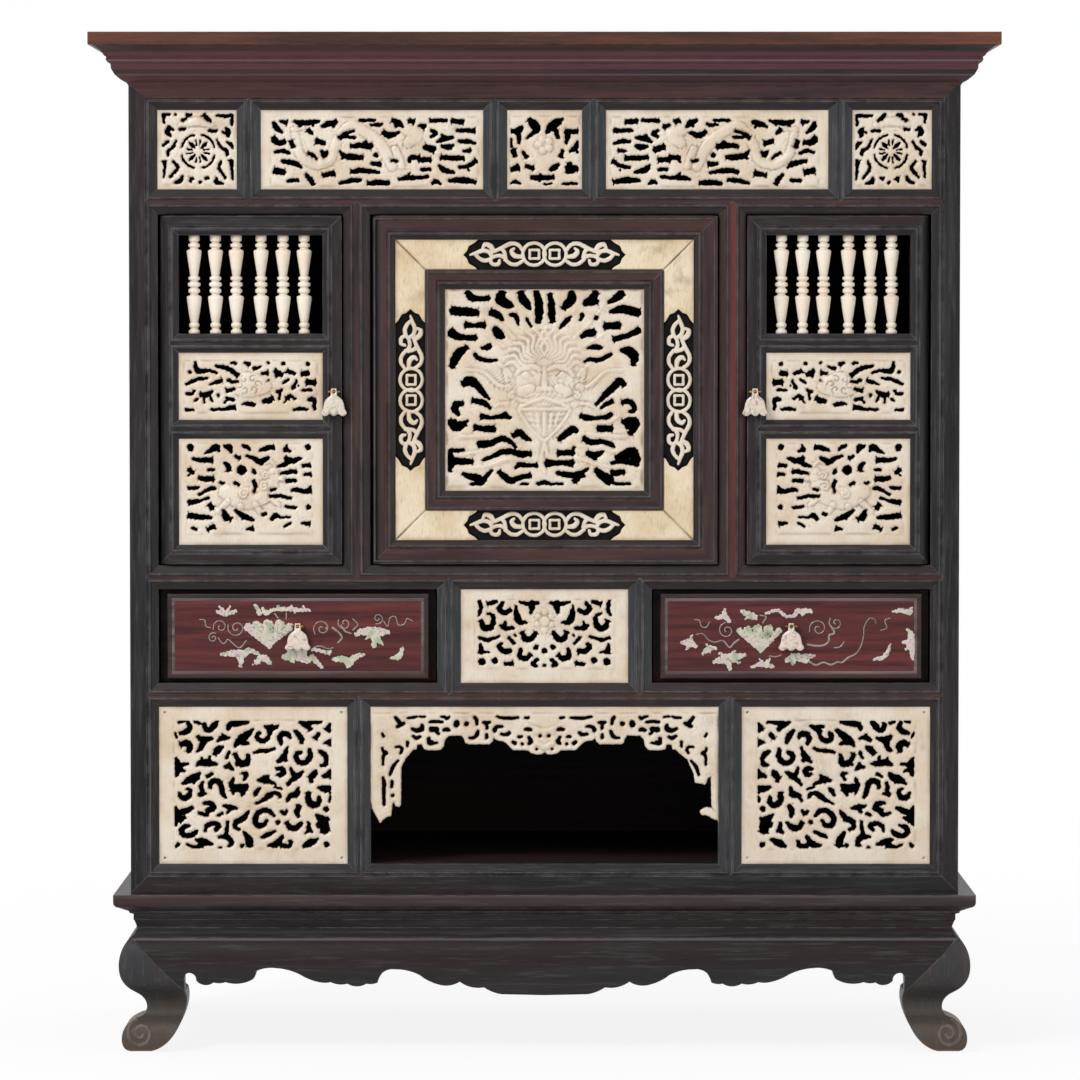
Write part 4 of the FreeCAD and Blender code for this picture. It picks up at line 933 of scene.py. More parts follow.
# Holes of the pierced panels: x, z and half width in mm along each saw cut, measured from the panel's middle
FRIEZE_WIDE_HOLES: list[Stroke] = [
    (-58.6, 16, .9, -57.6, 13.4, 1.6, -54, 10.4, .7), (-54.6, 17, .6, -51.6, 16.4, 1.2),
    (-46, 17, .8, -42, 16, 1.4, -36, 16.4, 1.3, -31.6, 17.2, .6), (-43, 14.6, .9), (-35.4, 15, .8),
    (-29.6, 14, .7, -26, 15.4, 1.6, -22, 16.4, 1.2), (-23, 14, .8), (-38, 11.6, 1.1, -36, 10, .9),
    (-58.6, 6, 2, -56, 4.2, 1.5, -52.8, 4.4, 1.3), (-48.4, 4.8, 1, -47.4, 2.2, 1.2),
    (-32.8, 5, 1.4, -29, 4, 1.3), (-58, -1.6, .6, -54, -.6, 1, -50, -2, .8),
    (-38, -2, .8, -35, -3.6, .8, -33, -5.4, .5), (-30, -1.2, .8, -28.6, -3.2, 1.4, -27, -1.4, .7),
    (-53.4, -6.8, .9, -48, -7.8, 1.4, -45, -8.6, 1.4, -42.4, -10.4, .6),
    (-57.6, -12.6, 1.7, -53.4, -13.4, 1.6), (-50, -18.6, .9, -44.6, -18.2, .9),
    (-39.4, -15, .8, -36.8, -18, 1.3, -35.6, -20.4, 1), (-29, -15.2, 1, -23.4, -14.2, 1.5),
    (-19, 7.4, 1, -16, 9.6, .9, -11, 11.2, .6), (-17, 7.6, .6, -10.4, 7.4, .8),
    (-12, 2.2, 1, -6, 2.6, 1.5, -1, 2, 1.6), (-4, 4, 1.3),
    (-19, -1, .6, -16.6, -3.6, 1.3, -11, -4.4, 1.7, -6, -4.6, 1), (-18, -5.2, .6), (2.4, -3.2, 1.3),
    (0, -8.4, .9, 4.4, -8.6, 1.4), (-12, -13.2, 1, -6, -12.4, 1.4, 4, -13.6, .7),
    (-19, -20, .7, -12, -18.4, 1.2, -7, -18.2, .9), (-2, -20.2, 1, 4, -19.6, 1.5, 9.6, -20, 1.1),
    (-7, 17.6, .8, 1.6, 17.6, .7), (-.6, 15, .5, 4, 14.8, 1, 6, 15.4, .6),
    (12.6, 17.4, 1, 16, 16, 1.7, 18, 14, .8), (14.6, 14.4, .9), (23, 17.4, 1.2, 24.6, 16.8, 1.2),
    (28.6, 14.6, .7, 31, 13.8, 1.4), (7, 10.4, 1, 10.6, 8.6, 1.7, 16, 10.2, .7),
    (35.4, 17.4, 1, 44.6, 17.6, .9), (48.6, 17.2, 1.3, 54, 16.6, 1.3),
    (35.6, 11.4, .8, 38, 9.8, 1.3, 35.6, 7.8, .7), (51.4, 11.6, .9, 61, 11.4, 1.2),
    (39.4, 4.8, .6, 43, 6.6, 1.6, 48, 7.2, .8), (42.4, 8.6, .8), (52.4, 5, .8, 57, 5, 1.2, 61.6, 3.8, .6),
    (32.2, 1.6, 1.4, 36.4, .2, 1.8), (42, 2, .8, 46, 1.6, 1.6, 48.4, 2.4, .7), (55, -.8, .6, 58.4, -.6, 1),
    (22.4, -7, .7, 23.4, -4.8, 1.3, 28, -4.6, 1.1), (29, -6, 1.3, 34.4, -6, 1.3),
    (42, -4.6, 1.1, 48, -5, 1.3, 54.4, -5, 1.2), (12, -6.4, .7, 14.6, -6.8, .8),
    (62, -7, 1.2, 58, -9.6, 1, 52.4, -10.6, .8), (58, -12, .5), (30, -11.8, .9, 34.6, -11.8, .9),
    (40.6, -9.6, .8, 43, -12, 1.6, 49, -13.6, .7),
    (16.4, -17.6, .7, 22, -16.6, 1.4, 27, -16.8, .9, 33, -16.2, .9), (22.4, -14.4, .6),
    (36.4, -20, .7, 38.4, -19, 1.2, 41, -20.4, .5), (46.6, -18.4, .9, 54, -18.2, 1.7, 61.6, -19.2, 1),
]
FRIEZE_OUTER_HOLES: list[Stroke] = [
    (-20.3, 21, .7, -16.5, 21.2, .6), (-20.2, 21, .8, -19.8, 16.5, .6), (-13, 21.2, .6),
    (-8.6, 17.7, .9, -6.4, 18.6, .5), (-5.5, 20.6, 1.1, -3.6, 20.8, .7),
    (4.4, 20.6, 1, 5.6, 19.2, 1, 8, 17.4, .8), (12, 20.4, .5, 17, 20.2, .9, 21, 20.4, .8),
    (21.2, 20, .7, 20.8, 15, .7), (-16.4, 13, 1.1, -17.6, 10.8, 1.5, -16, 8.4, .6), (-14.4, 12, .5),
    (-10.4, 12, .6, -7.6, 12.4, .8), (7.6, 11.4, .8, 11.6, 11.2, .7),
    (17.6, 12.4, .8, 18.4, 10.4, 1.6, 18.6, 8, .6), (15.6, 10.4, .6), (-20, 2.8, .8, -17.6, 4.8, .8),
    (-17.4, -3, .7, -17.3, -.6, .7, -14.6, 1.4, .8, -12.6, 5, .4),
    (18.2, 4.4, .5, 20.4, 3.2, .9, 21.6, .6, .4), (11.8, 6, .3, 14.6, 1.2, .7, 17.6, -.4, .9, 18, -3, .7),
    (-19.6, -7.4, 1, -19.4, -10, .7, -20, -16.4, .4), (-14.2, -7, .6, -11.8, -11, .9, -16, -16.2, .5),
    (14.4, -7, .5, 13.2, -11, .8, 17, -17, .6), (20.6, -7, 1.2, 20.8, -11, .8, 21.4, -17.4, .5),
    (-13.4, -20, .5, -10.2, -18.6, 1.1, -8.8, -16, .5), (-3.4, -17.6, 1.1, -4, -18.8, .6), (1.8, -19.6, .8),
    (5.4, -17.2, .9, 6.6, -16.8, .6), (11.4, -17.4, .8, 12, -19.4, 1.2, 15.4, -20.4, .4),
]
# A quarter of the round fretwork: an arc beside the rim, a petal and a bar
ROUNDEL_QUARTER: list[Stroke] = [
    (9.8, 2.4, .3, 8.9, 5, .4, 7.1, 7.3, .4, 5, 8.9, .4, 2.4, 9.8, .3),
    (2, 2, .3, 3.6, 3.6, .9, 5.2, 5.2, .3), (3.6, .9, .2, 6.4, 1.3, .3), (.9, 3.6, .2, 1.3, 6.4, .3),
]
FRIEZE_CENTRE_HOLES: list[Stroke] = [
    (-9, 17.6, 1.2, -6.6, 15.4, 2.4, -4.6, 12.4, 1.9, -7.4, 9.6, .9, -10.4, 7, .5),
    (10.4, 18, .9, 7, 16, 2.2, 3.6, 13.4, 2, 1.4, 10.2, .7), (7, 11, 1.2, 8.2, 7.4, .9),
    (-19, 11, 1, -15.6, 11.4, 1.9, -13.6, 13.6, .8), (-15.4, 9, 1.2, -15.2, 4.4, .8),
    (-20, 6, .6, -20, 2, .6), (-18.6, -.8, 1.5, -17.6, -3.4, 1), (-12.6, -1.6, .9, -11, -4.2, 1.1),
    (-19.6, -11.6, 1.1, -16.4, -11, 1.7), (-16, -9.2, .8), (-10.6, -10, 1, -7.4, -10.8, 1.3),
    (-7.2, -16.6, 1.2, -3.4, -16.8, 1.5, 4.8, -16.6, 1.1), (-2.6, -14.8, .5), (-3, -18.6, .5),
    (-20, -20, .5, -17.2, -19.2, .9, -14.6, -20.2, .4), (0, -20.6, .4, 4, -20.4, .4),
    (11, -20.6, .4, 15, -20.2, .7, 19.4, -20.4, .5), (13.6, 10.6, 1.6, 19.4, 11, 1),
    (14, 9, 1.6, 13.2, 4.4, .8), (20, 5, .6, 18.6, 1, 1.5, 15.4, -.8, .6), (19.6, -1.4, .7),
    (10.8, -.8, .8, 9.8, -3.6, 1.2), (3.6, -12, .8, 6, -10.6, 1.6, 8.2, -9, .7),
    (15, -8.8, 1.3, 15, -11.4, 2.2, 18.6, -11.4, 1.7), (13.4, -13.4, .9, 17, -13.2, .8),
]
DOOR_FLOWER_HOLES: list[Stroke] = [
    (-33.2, 14.6, .7, -32.8, 11, 1.1, -31, 9, 1.5, -26, 9.4, .8, -20.6, 8.2, .6), (-36.6, 8.4, .8),
    (-20.6, 12, .7, -16, 11.4, 1, -11.6, 9.4, 1.1, -8.2, 6.6, 1.1), (-11.6, 14, .5, -9.4, 13.8, .9),
    (-3.6, 14, .6, -1.4, 13.2, 1.2), (2.2, 10.6, .9, 5.8, 11.6, .6), (10.4, 14, .7), (19.6, 13.6, 1),
    (34.4, 13.4, 1.1), (-38.6, 1.2, .5, -34.4, 3.2, .9, -31, 4.4, .9, -26, 4.8, .5),
    (-24, 1.2, .4, -20.4, 2.4, .9, -18, 3.2, 1.1), (-13.2, 3.8, .9, -10.6, 2.6, .8, -8, 2.8, .5),
    (6.8, 7.6, .6, 9.8, 8, 1), (14.8, 10, .6, 16, 8.2, 1.4, 18.6, 7, 1), (15.4, 5.8, .6),
    (22.4, 9, 1, 26, 7.6, .9), (31.4, 7.6, 1.3, 34, 7.6, 1.3), (10.6, 3.4, .4), (19.8, 2.2, .7, 22.6, 4, .7),
    (27.6, 3.4, .4, 26, 0, 1, 25, -1.4, .7), (28.4, .4, .5), (34.4, 2.4, 1.5, 38, 2.2, 1.5),
    (-38.4, -4.6, .7, -35, -4.4, .9), (-34.2, -3, .7), (-29.4, -5, 1.3, -26, -5, 1.3, -23, -2.8, .5),
    (-33.4, -8.6, .6, -32, -7.6, .6), (-28, -9.6, .5, -28.2, -7, .6), (-24.4, -6.4, .7, -23.2, -8.6, .6),
    (-19.4, -5.4, .9), (-14, -2.8, 1.1, -10, -1.6, .6), (-14.4, -7.4, .8, -10.6, -8, .9),
    (-15.8, -9.8, .4, -14, -7.6, .7), (-39, -14.2, .8, -34.4, -14.2, .5),
    (-23.4, -14, .7, -16, -13.8, .7, -11.4, -12.8, 1.3, -10, -12.6, 1.2),
    (-4.6, -10.6, .5, -.6, -10.6, 1.2, 2, -11, .9), (7.6, -9.2, .9, 10.6, -8.6, 1.6, 12.6, -7.4, 1.2),
    (15.8, -3.4, .7, 18.4, -2.4, .9), (17.4, -4, .7, 17.2, -7.6, .5),
    (22.4, -7, 1, 23.6, -5.8, .8, 26.6, -7.6, .6), (20.4, -9.6, .3, 21.6, -7.4, .6),
    (31.4, -2.4, .6, 36, -2.2, .7), (26, -14, .6, 30.4, -13.6, .9, 34, -13.8, .5),
    (35, -8.2, .9, 37.8, -8, 1.3, 38.2, -12, .8, 38.6, -14, .4),
]
DOOR_BEAST_HOLES: list[Stroke] = [
    (-36.4, 26.8, 1.8), (-36.2, 25.6, 1.4), (-27.4, 23, .4, -24, 25, 1.2, -21, 26.6, 2, -19.4, 25, .9),
    (-15.6, 27.4, .8, -13, 26.6, 1.6, -12, 24, .8), (-4.6, 27.4, .9, -2, 26.6, 1.1, -.6, 25, .5),
    (5.6, 24.8, .8, 9, 26, 1.2, 13, 26.8, 1.3), (21.4, 26, 1.2, 21.6, 28, .4), (20, 24.6, .7, 23.4, 24.6, .7),
    (34.4, 26.8, 1.6), (-34.4, 19.6, .8, -30, 19, 1.2, -24, 19, 1.5), (-9, 21, .9, -7.2, 20.2, 1),
    (-2.6, 21.4, .6, 2, 20, 1.2, 5.6, 18, 1.6, 10.6, 20.6, .7), (6.4, 16.6, .7),
    (21.6, 19.4, 1.6, 25, 18.6, 1.6, 30, 20.2, .6), (16.6, 15.4, .7, 19.6, 16, 1.1, 22, 17.4, 1),
    (-15.4, 17, .9, -13.6, 15.4, 1.4, -13.4, 13.2, 1.3), (-5.6, 13, 2.7), (-36.8, 13, 1.3, -35, 11.6, 1),
    (-37.2, 10, .6), (-25.4, 13, .8, -22.4, 13.4, .6), (1, 13.4, .4, 2, 12, 1, 2.4, 11.4, .8),
    (-30.6, 8.2, 1.2, -27, 7.6, 1.4, -23.4, 7.6, 1.4), (31.4, 15.6, .9, 35, 15.8, 1),
    (18, 11, .6, 22, 11.6, 1, 26.6, 12, 1), (24, 12.6, .8), (32.4, 10.4, .7, 35.6, 10.4, 1),
    (21.8, 6.6, 1, 26.4, 6.6, .9), (-18, 5.4, .8, -16.4, 5.2, .6), (-9.6, 5.4, .8, -7.4, 4.2, .8),
    (1.8, 6.4, .9, 2.6, 3.6, .9, 2, -.4, .4), (-37.4, 2, .9, -32, 2.4, .8),
    (-31.4, -2, .5, -27.4, .4, .7, -24.4, 1.8, 1.2, -22, 2, .8),
    (-36.6, -6.4, 1.4, -33.4, -6, 1.2, -29, -5, .6, -25.4, -3.6, .6), (12, .8, .7, 14.6, 1.6, .6),
    (11.4, -2.8, .7, 17, -2.6, .9, 21, -3.4, .8, 24, -3.8, .7),
    (25, 1, .9, 28.4, 1, 1.2, 32, .2, 1.2, 35.4, .6, 1.6), (35.6, 3, .6), (-24.8, -8, 1.1, -23.4, -9.6, 1.3),
    (-37, -14.4, 1.3, -33, -15, 1.6, -28, -15.4, 1.2, -24.4, -15.6, .9), (-35, -21.8, .7, -33, -22.6, .8),
    (-25.6, -22.6, 1, -22.6, -21, 1.3), (-16.4, -11.6, .7, -15.4, -14.6, 1.7, -12.4, -16.6, 1),
    (-15.6, -17, .6), (-9, -11.4, .7, -6, -13.8, 1.5, -2, -15.6, 1.4, 1.4, -17, .7), (-4.6, -16, 1),
    (-2.4, -22.6, .5, .6, -22.2, 1.2), (7, -14, .8, 9, -13, .7),
    (12.4, -16.6, .8, 14.6, -14.4, 1.4, 17.4, -15.2, .6), (17, -15.4, .5, 23, -15.4, .5),
    (21, -9, .7, 26.6, -9.6, .8), (34.6, -9.4, 1.3), (20.6, -20.6, .8, 24, -18.8, .5),
    (31, -18.8, .6, 34.6, -19.4, 1.2),
]
# Left-hand and right-hand cuts of the centre panel, round a maned mask
CENTRE_PANEL_HOLES: list[Stroke] = [
    (-46, 58.4, 1.3, -43.6, 55.4, 1.7, -39, 54.8, 1.2, -34, 55, 1.1),
    (-25.5, 58, 1.8, -26.5, 54.5, 2.6, -22, 51.5, 2.2, -19.5, 50.5, .8),
    (-14, 58, 1.6, -13, 55, 2.2, -10.5, 51.5, 1.8, -8.6, 49, .7),
    (-5, 58.4, 1.4, -3.6, 54, 1.9, -3.2, 47, 2.2, -3.6, 41.5, 1.4),
    (3.4, 57, 1, 4.2, 51, 1.7, 4.4, 45, 1.8, 4.8, 41.5, 1.2),
    (-54.5, 47.5, 2.2, -48, 47, 2.3, -41, 46.5, 1.8), (-31.5, 46.5, 1.6, -28, 45, 1.6, -25, 42, .5),
    (-20.5, 45, .5, -17.5, 44.5, 1.2, -15.6, 39.6, .4), (-10.6, 42.5, .7, -8, 38.5, .4),
    (-46.5, 39, 1.6, -42, 38.8, .9, -37, 39, 1.7),
    (-55.4, 34, 2.4, -52, 32, 1.6, -46, 31.4, 1.3, -42, 31.3, 1.4),
    (-29.5, 36.5, 1.4, -27.5, 33.5, 2.4, -24.5, 32, .6), (-37.5, 25.3, .5, -34, 25.8, 1.5, -33, 27, .9),
    (-41.8, 21.3, .8, -39.5, 19, .9, -35, 17.8, .9, -29, 17.8, .5),
    (-47, 25.5, 1, -51, 22.5, 2.2, -54, 18, 2.2, -55.2, 14.5, 1.4),
    (-48.6, 3.8, 1.3, -45, 5.4, 2.6, -40.5, 2.8, 2, -36.5, -2.2, 1.2, -33, -5.4, .4),
    (-42.6, -6.5, 1.2, -38, -7.2, 1.4, -35, -8.6, 1.1, -32.4, -11, .5),
    (-49.5, -8.3, 1, -52.8, -8.4, 1.6, -53.8, -11.5, 1.8, -52, -14.6, .9),
    (-37.5, -16, 1.3, -31, -16.6, .7, -25, -15.6, 1.3, -21, -16.6, .9), (-23.4, -14.6, 1.2),
    (-56.6, -19.5, 1.6, -53, -22, 2.6, -48, -20, 1.3), (-54.6, -19.8, 2), (-46.4, -18.8, .6),
    (-41.3, -22.6, 1.4, -36, -23.3, 1.4, -31, -23.4, 1.8),
    (-18.6, -27.4, 1, -15, -25.6, 1.8, -11, -29, 1.2, -8.6, -30, .5),
    (-38.5, -32.6, 2, -33, -32.2, 1.7, -28, -30, 1.3, -24.5, -29.3, 1.4, -20, -31.5, 1, -17.5, -34.5, .5),
    (-36.5, -42, .6, -31, -39.8, 1, -26, -37.4, 1.3, -20, -37, 1.4, -14, -38.6, 1.7, -9, -38.2, 1.2),
    (-56.6, -37, 1, -56.4, -43, 2.2, -57, -48, 1), (-56, -36.4, .9, -49, -36.2, .7),
    (-54, -42.6, 2, -49, -43, 1.6, -44, -43, 1.2),
    (-17.3, -46.6, .6, -14.5, -44.9, 1.3, -9, -45.4, .8, -5, -45.2, 1),
    (-48.6, -50.6, .9, -45, -52, 1.6, -40, -53, 1.8, -37.6, -55.4, 1.5, -44, -56.6, .5),
    (-36, -53, 1.2, -32, -48.6, .7),
    (-27, -49.4, 1, -23.6, -52.4, 1.8, -20, -54.6, 1.6, -16, -53, 1.2, -9, -51.4, 1.2),
    (-14, -56.6, .4, -10, -56.4, .4), (-4, -56.4, .6, 0, -55.6, 1.1, 4, -56.4, .5, 11, -56.4, .4),
    (16, 58, 1.4, 16.5, 55, 2.4, 13.6, 51.5, 2, 11.6, 49.4, 1),
    (30.5, 58, 1.6, 28.6, 54.6, 2.2, 25, 52.2, 1.6, 31, 53, 1.4),
    (46, 58, 1.8, 43.5, 55.6, 1.8, 38.6, 52.6, .7), (45.5, 56.5, 1.8),
    (40, 47, .9, 46, 48.4, 2, 52, 47.6, 2.2, 55.8, 46.6, 2.2), (47, 50.4, .7),
    (37, 38.4, 1.6, 41, 38.6, 1.8, 44, 38.8, 1.9),
    (42.2, 30.6, 1.3, 46, 31.6, 1.3, 51, 33, 1.2, 56.2, 35.6, 1.6), (31, 43.2, 1.1),
    (22.4, 43.4, .8, 21.6, 42.2, .5), (22.6, 45, 1), (9.4, 37.4, .4, 13, 41.4, 1.2, 15.4, 43.6, .7),
    (22.6, 32.2, .9, 26, 34, 1.8, 29, 34.4, 1.9), (26.4, 25.4, .5, 31, 25.8, 1.3, 34.4, 25.4, .5),
    (31.5, 26.6, .8), (24.4, 17.2, .5, 28, 18.6, .8, 32, 17.8, 1, 36, 19.4, .9, 39.8, 21.4, .8),
    (46.4, 23.6, .9, 50.4, 23.4, 2.4, 54, 20, 2.4, 53.4, 15.6, 1),
    (47.4, 3.4, 1.4, 45, 5.2, 2, 41.6, 1.8, 1.9, 36, -3.4, 1.4, 31, -8.8, .4),
    (40.2, -7, 1, 36.6, -8.8, 1, 34, -10.8, .4),
    (47.2, -7.4, 1, 50.4, -6.8, 1.3, 53.4, -8.8, 1.3, 53.8, -12, 1.1, 51.4, -13, .7),
    (22.4, -15.6, 1.1, 26, -16.8, 1.4, 32, -16.8, .7, 38, -16, 1.2, 40, -14.6, .9),
    (47.6, -19, 1.2, 53, -18.6, 2.2, 55.2, -20.6, 1.8, 52, -25.4, 1.4), (50.6, -21.6, 2),
    (33.2, -23.2, 1.6, 39.6, -23.2, 1.6), (9.4, -29.4, 1.2, 13, -26.4, 1.7, 17, -23.6, 1.8, 19, -24.4, 1.2),
    (24, -29.4, 1.2, 28, -31.4, 1.5, 34, -31, 1.1, 39.4, -32.4, 1.2, 41.6, -33.8, .6),
    (9, -38, 1.4, 13, -37.6, 1.2, 16.4, -37.8, 1.5), (17.6, -34.6, .6, 16.8, -37, 1),
    (26.4, -38, 1.3, 30, -39.4, 1.8, 34.6, -37.4, .9), (30.4, -41, 1),
    (44, -40.4, 1.4, 49, -38.6, 2.4, 53, -37.6, 2.8, 55, -41.6, 2.6),
    (40.8, -43.8, .7, 47, -42.4, 1.6, 55.6, -44.6, 1.2), (2.2, -44, 1.9, 9, -43.8, 1.1, 16, -44, 1.7),
    (8.2, -49.8, .9, 14, -51, 1.4, 20, -51, 1.6, 26, -47.4, .5), (18.6, -54.6, 1.4, 20.6, -52, 1.4),
    (23.6, -51.8, .7), (31.4, -48.4, 1.2, 35, -51.6, 2.2, 39, -53.6, 2.4, 38, -55.6, 1.2),
    (41.4, -50, 1.6, 47, -49.4, 1.2), (42, -56.4, .6, 51, -56.4, .5),
]
# Left half of the mask: flame locks, curls, brow, eye, ear, nose, lips and beard, then rays into the openwork
MASK_CURLS: list[Place] = [
    (-3.6, 24.4), (-10.4, 21.6), (-16, 16.4), (-19.4, -3.4), (-21.8, 1.4), (-17.8, -8.6),
]
MASK_FORMS: list[Stroke] = [(0, 24, 12, 0, 10, 17, 0, -6, 15, 0, -22, 6)]
MASK_RIDGES: list[Stroke] = [
    *(lock(0, 13, 7.5, 24.5, turn, 1.1) for turn in range(90, 186, 12)),
    *(spiral(x, z, 2.1, 1.2, 90 + 20 * x, .6) for x, z in MASK_CURLS),
    (-2.4, 12.2, 1.1, -8, 14.4, 1.5, -14, 12.8, 1.3, -17.6, 8.6, .8), (-10.8, 9, 1.9),
    (-20.6, 8.8, 1.2, -23.4, 12, 1.6, -22.6, 5.4, 1), (0, 13, 1.1, 0, 6, 1.5, 0, 1.4, 2.2), (-3.2, .6, 1.7),
    (-8.6, 1.2, 2.6, -13.4, -.8, 2.8), (0, -4.6, 1, -4, -6, 1.2, -9, -7.8, 1.1, -14.8, -10.2, .9),
    (0, -11.6, 1, -8, -11.4, 1, -15.4, -11.8, .9),
    (-15.4, -12.6, .9, -11.4, -19, .9, -6.6, -24.8, .9, 0, -31, .8), (0, -14, .9, 0, -27, .8),
    (-4.4, -14.4, .8, -3.4, -23, .6), (-8.8, -14.2, .8, -6.8, -20, .6), (-25, 14, 1, -34, 21, 1, -44, 16, .6),
    (-25, 2, 1.1, -29, 4, 1.2, -37, 11, 1, -47, 12, .7), (-22, -8, 1, -28, -9, 1, -34, -13.6, .6),
    (-6.6, 40, 1, -8, 46, .9, -7.6, 56, .6), (-13, 37, 1, -18, 48, .9, -18, 57, .6),
    (-18, 31, 1, -29, 42, .9, -35, 50, .6), (0, 41, 1, .4, 48, .9, 0, 58, .6),
    (-24, 26, 1, -33, 32, .9, -38, 35, .6), (-27, -19.6, 1, -38, -19.4, 1, -46, -15, .7),
    (-24, -26.4, 1, -36, -27.6, 1, -50, -28, .8), (-14, -34, 1, -26, -33.6, 1, -40, -37, .9, -50, -39.4, .7),
    (-8, -41.6, 1, -22, -41.4, 1.2, -33, -45.4, 1, -44, -47, .8), (0, -32, 1, -1.6, -40, 1, 0, -50, .8),
]
MASK_GROOVES: list[Stroke] = [
    (-10.8, 8.8, .6), (-14.8, 9, .5, -10.8, 11.6, .5, -7, 8.4, .5),
    (-6, -3.6, .5, -12, -5, .5, -18.6, -2.2, .5), (-6.6, -9.4, .5, -13, -8, .5, -20, -6, .5),
    (-4.4, -17, .4, -12, -15.6, .4), (-2, -20.4, .4, -9.4, -19.4, .4),
]
ROW_PANEL_HOLES: list[Stroke] = [
    (-39, 21, .8, -38.3, 16.5, 1, -39.6, 12.5, .5), (-33.6, 19.4, 1, -29.5, 20.8, 1.1),
    (-25.2, 20, .9, -27, 16.5, 1.4, -24.5, 14, 1.4, -20.8, 15.3, 1),
    (-17.2, 18, .4, -16.5, 12, 1.8, -14.8, 8.6, 1.6, -10.8, 8, .5),
    (-15, 20.3, .5, -9, 19.3, 1.2, -4, 20, .8), (-7.5, 19, 2.2, -8, 14, .7),
    (-37.8, 8.5, 1.2, -36.5, 5.2, 1.6, -33, 4.8, 1.6, -30.8, 8, 1.3, -31.2, 12, 1, -34.3, 13.6, .4),
    (-26, 6.2, .7, -23.5, 4.6, 1.2, -19, 4.8, .8), (-24, 6.5, 1.1, -23.6, 8, .6),
    (-13.2, 1.8, 1.2, -11.5, -1.8, 1.5, -8, -1.6, 1.5, -5.4, 1.7, 1.1),
    (-39, -1.2, .7, -34.5, -2.4, 1.1, -31.5, -1.7, .7, -27.5, -.4, .7), (-21.2, -1, .9, -18.4, -4.3, .8),
    (-17.6, .4, .6), (-38, -9.3, 1.6, -38.6, -5, .5), (-38, -9.8, .8, -33.6, -9.8, .4),
    (-26, -4.8, .8, -27.5, -6.2, 1.1, -24.5, -9, 1.5, -21, -9.3, 1.3),
    (-14.4, -8.2, .9, -14.6, -12.5, 1.4, -11, -13.6, 1.4, -8.6, -11.5, 1), (-5, -6.8, 1.4), (0, -9, 1.5),
    (-4.3, -14.2, .8, -7, -16.8, 1.1, -5, -18, .8), (-.3, -17.8, .7), (-37.6, -15.6, 2), (-29.8, -14.8, 1.7),
    (-23.6, -17, .9, -19.5, -16.6, 1),
]
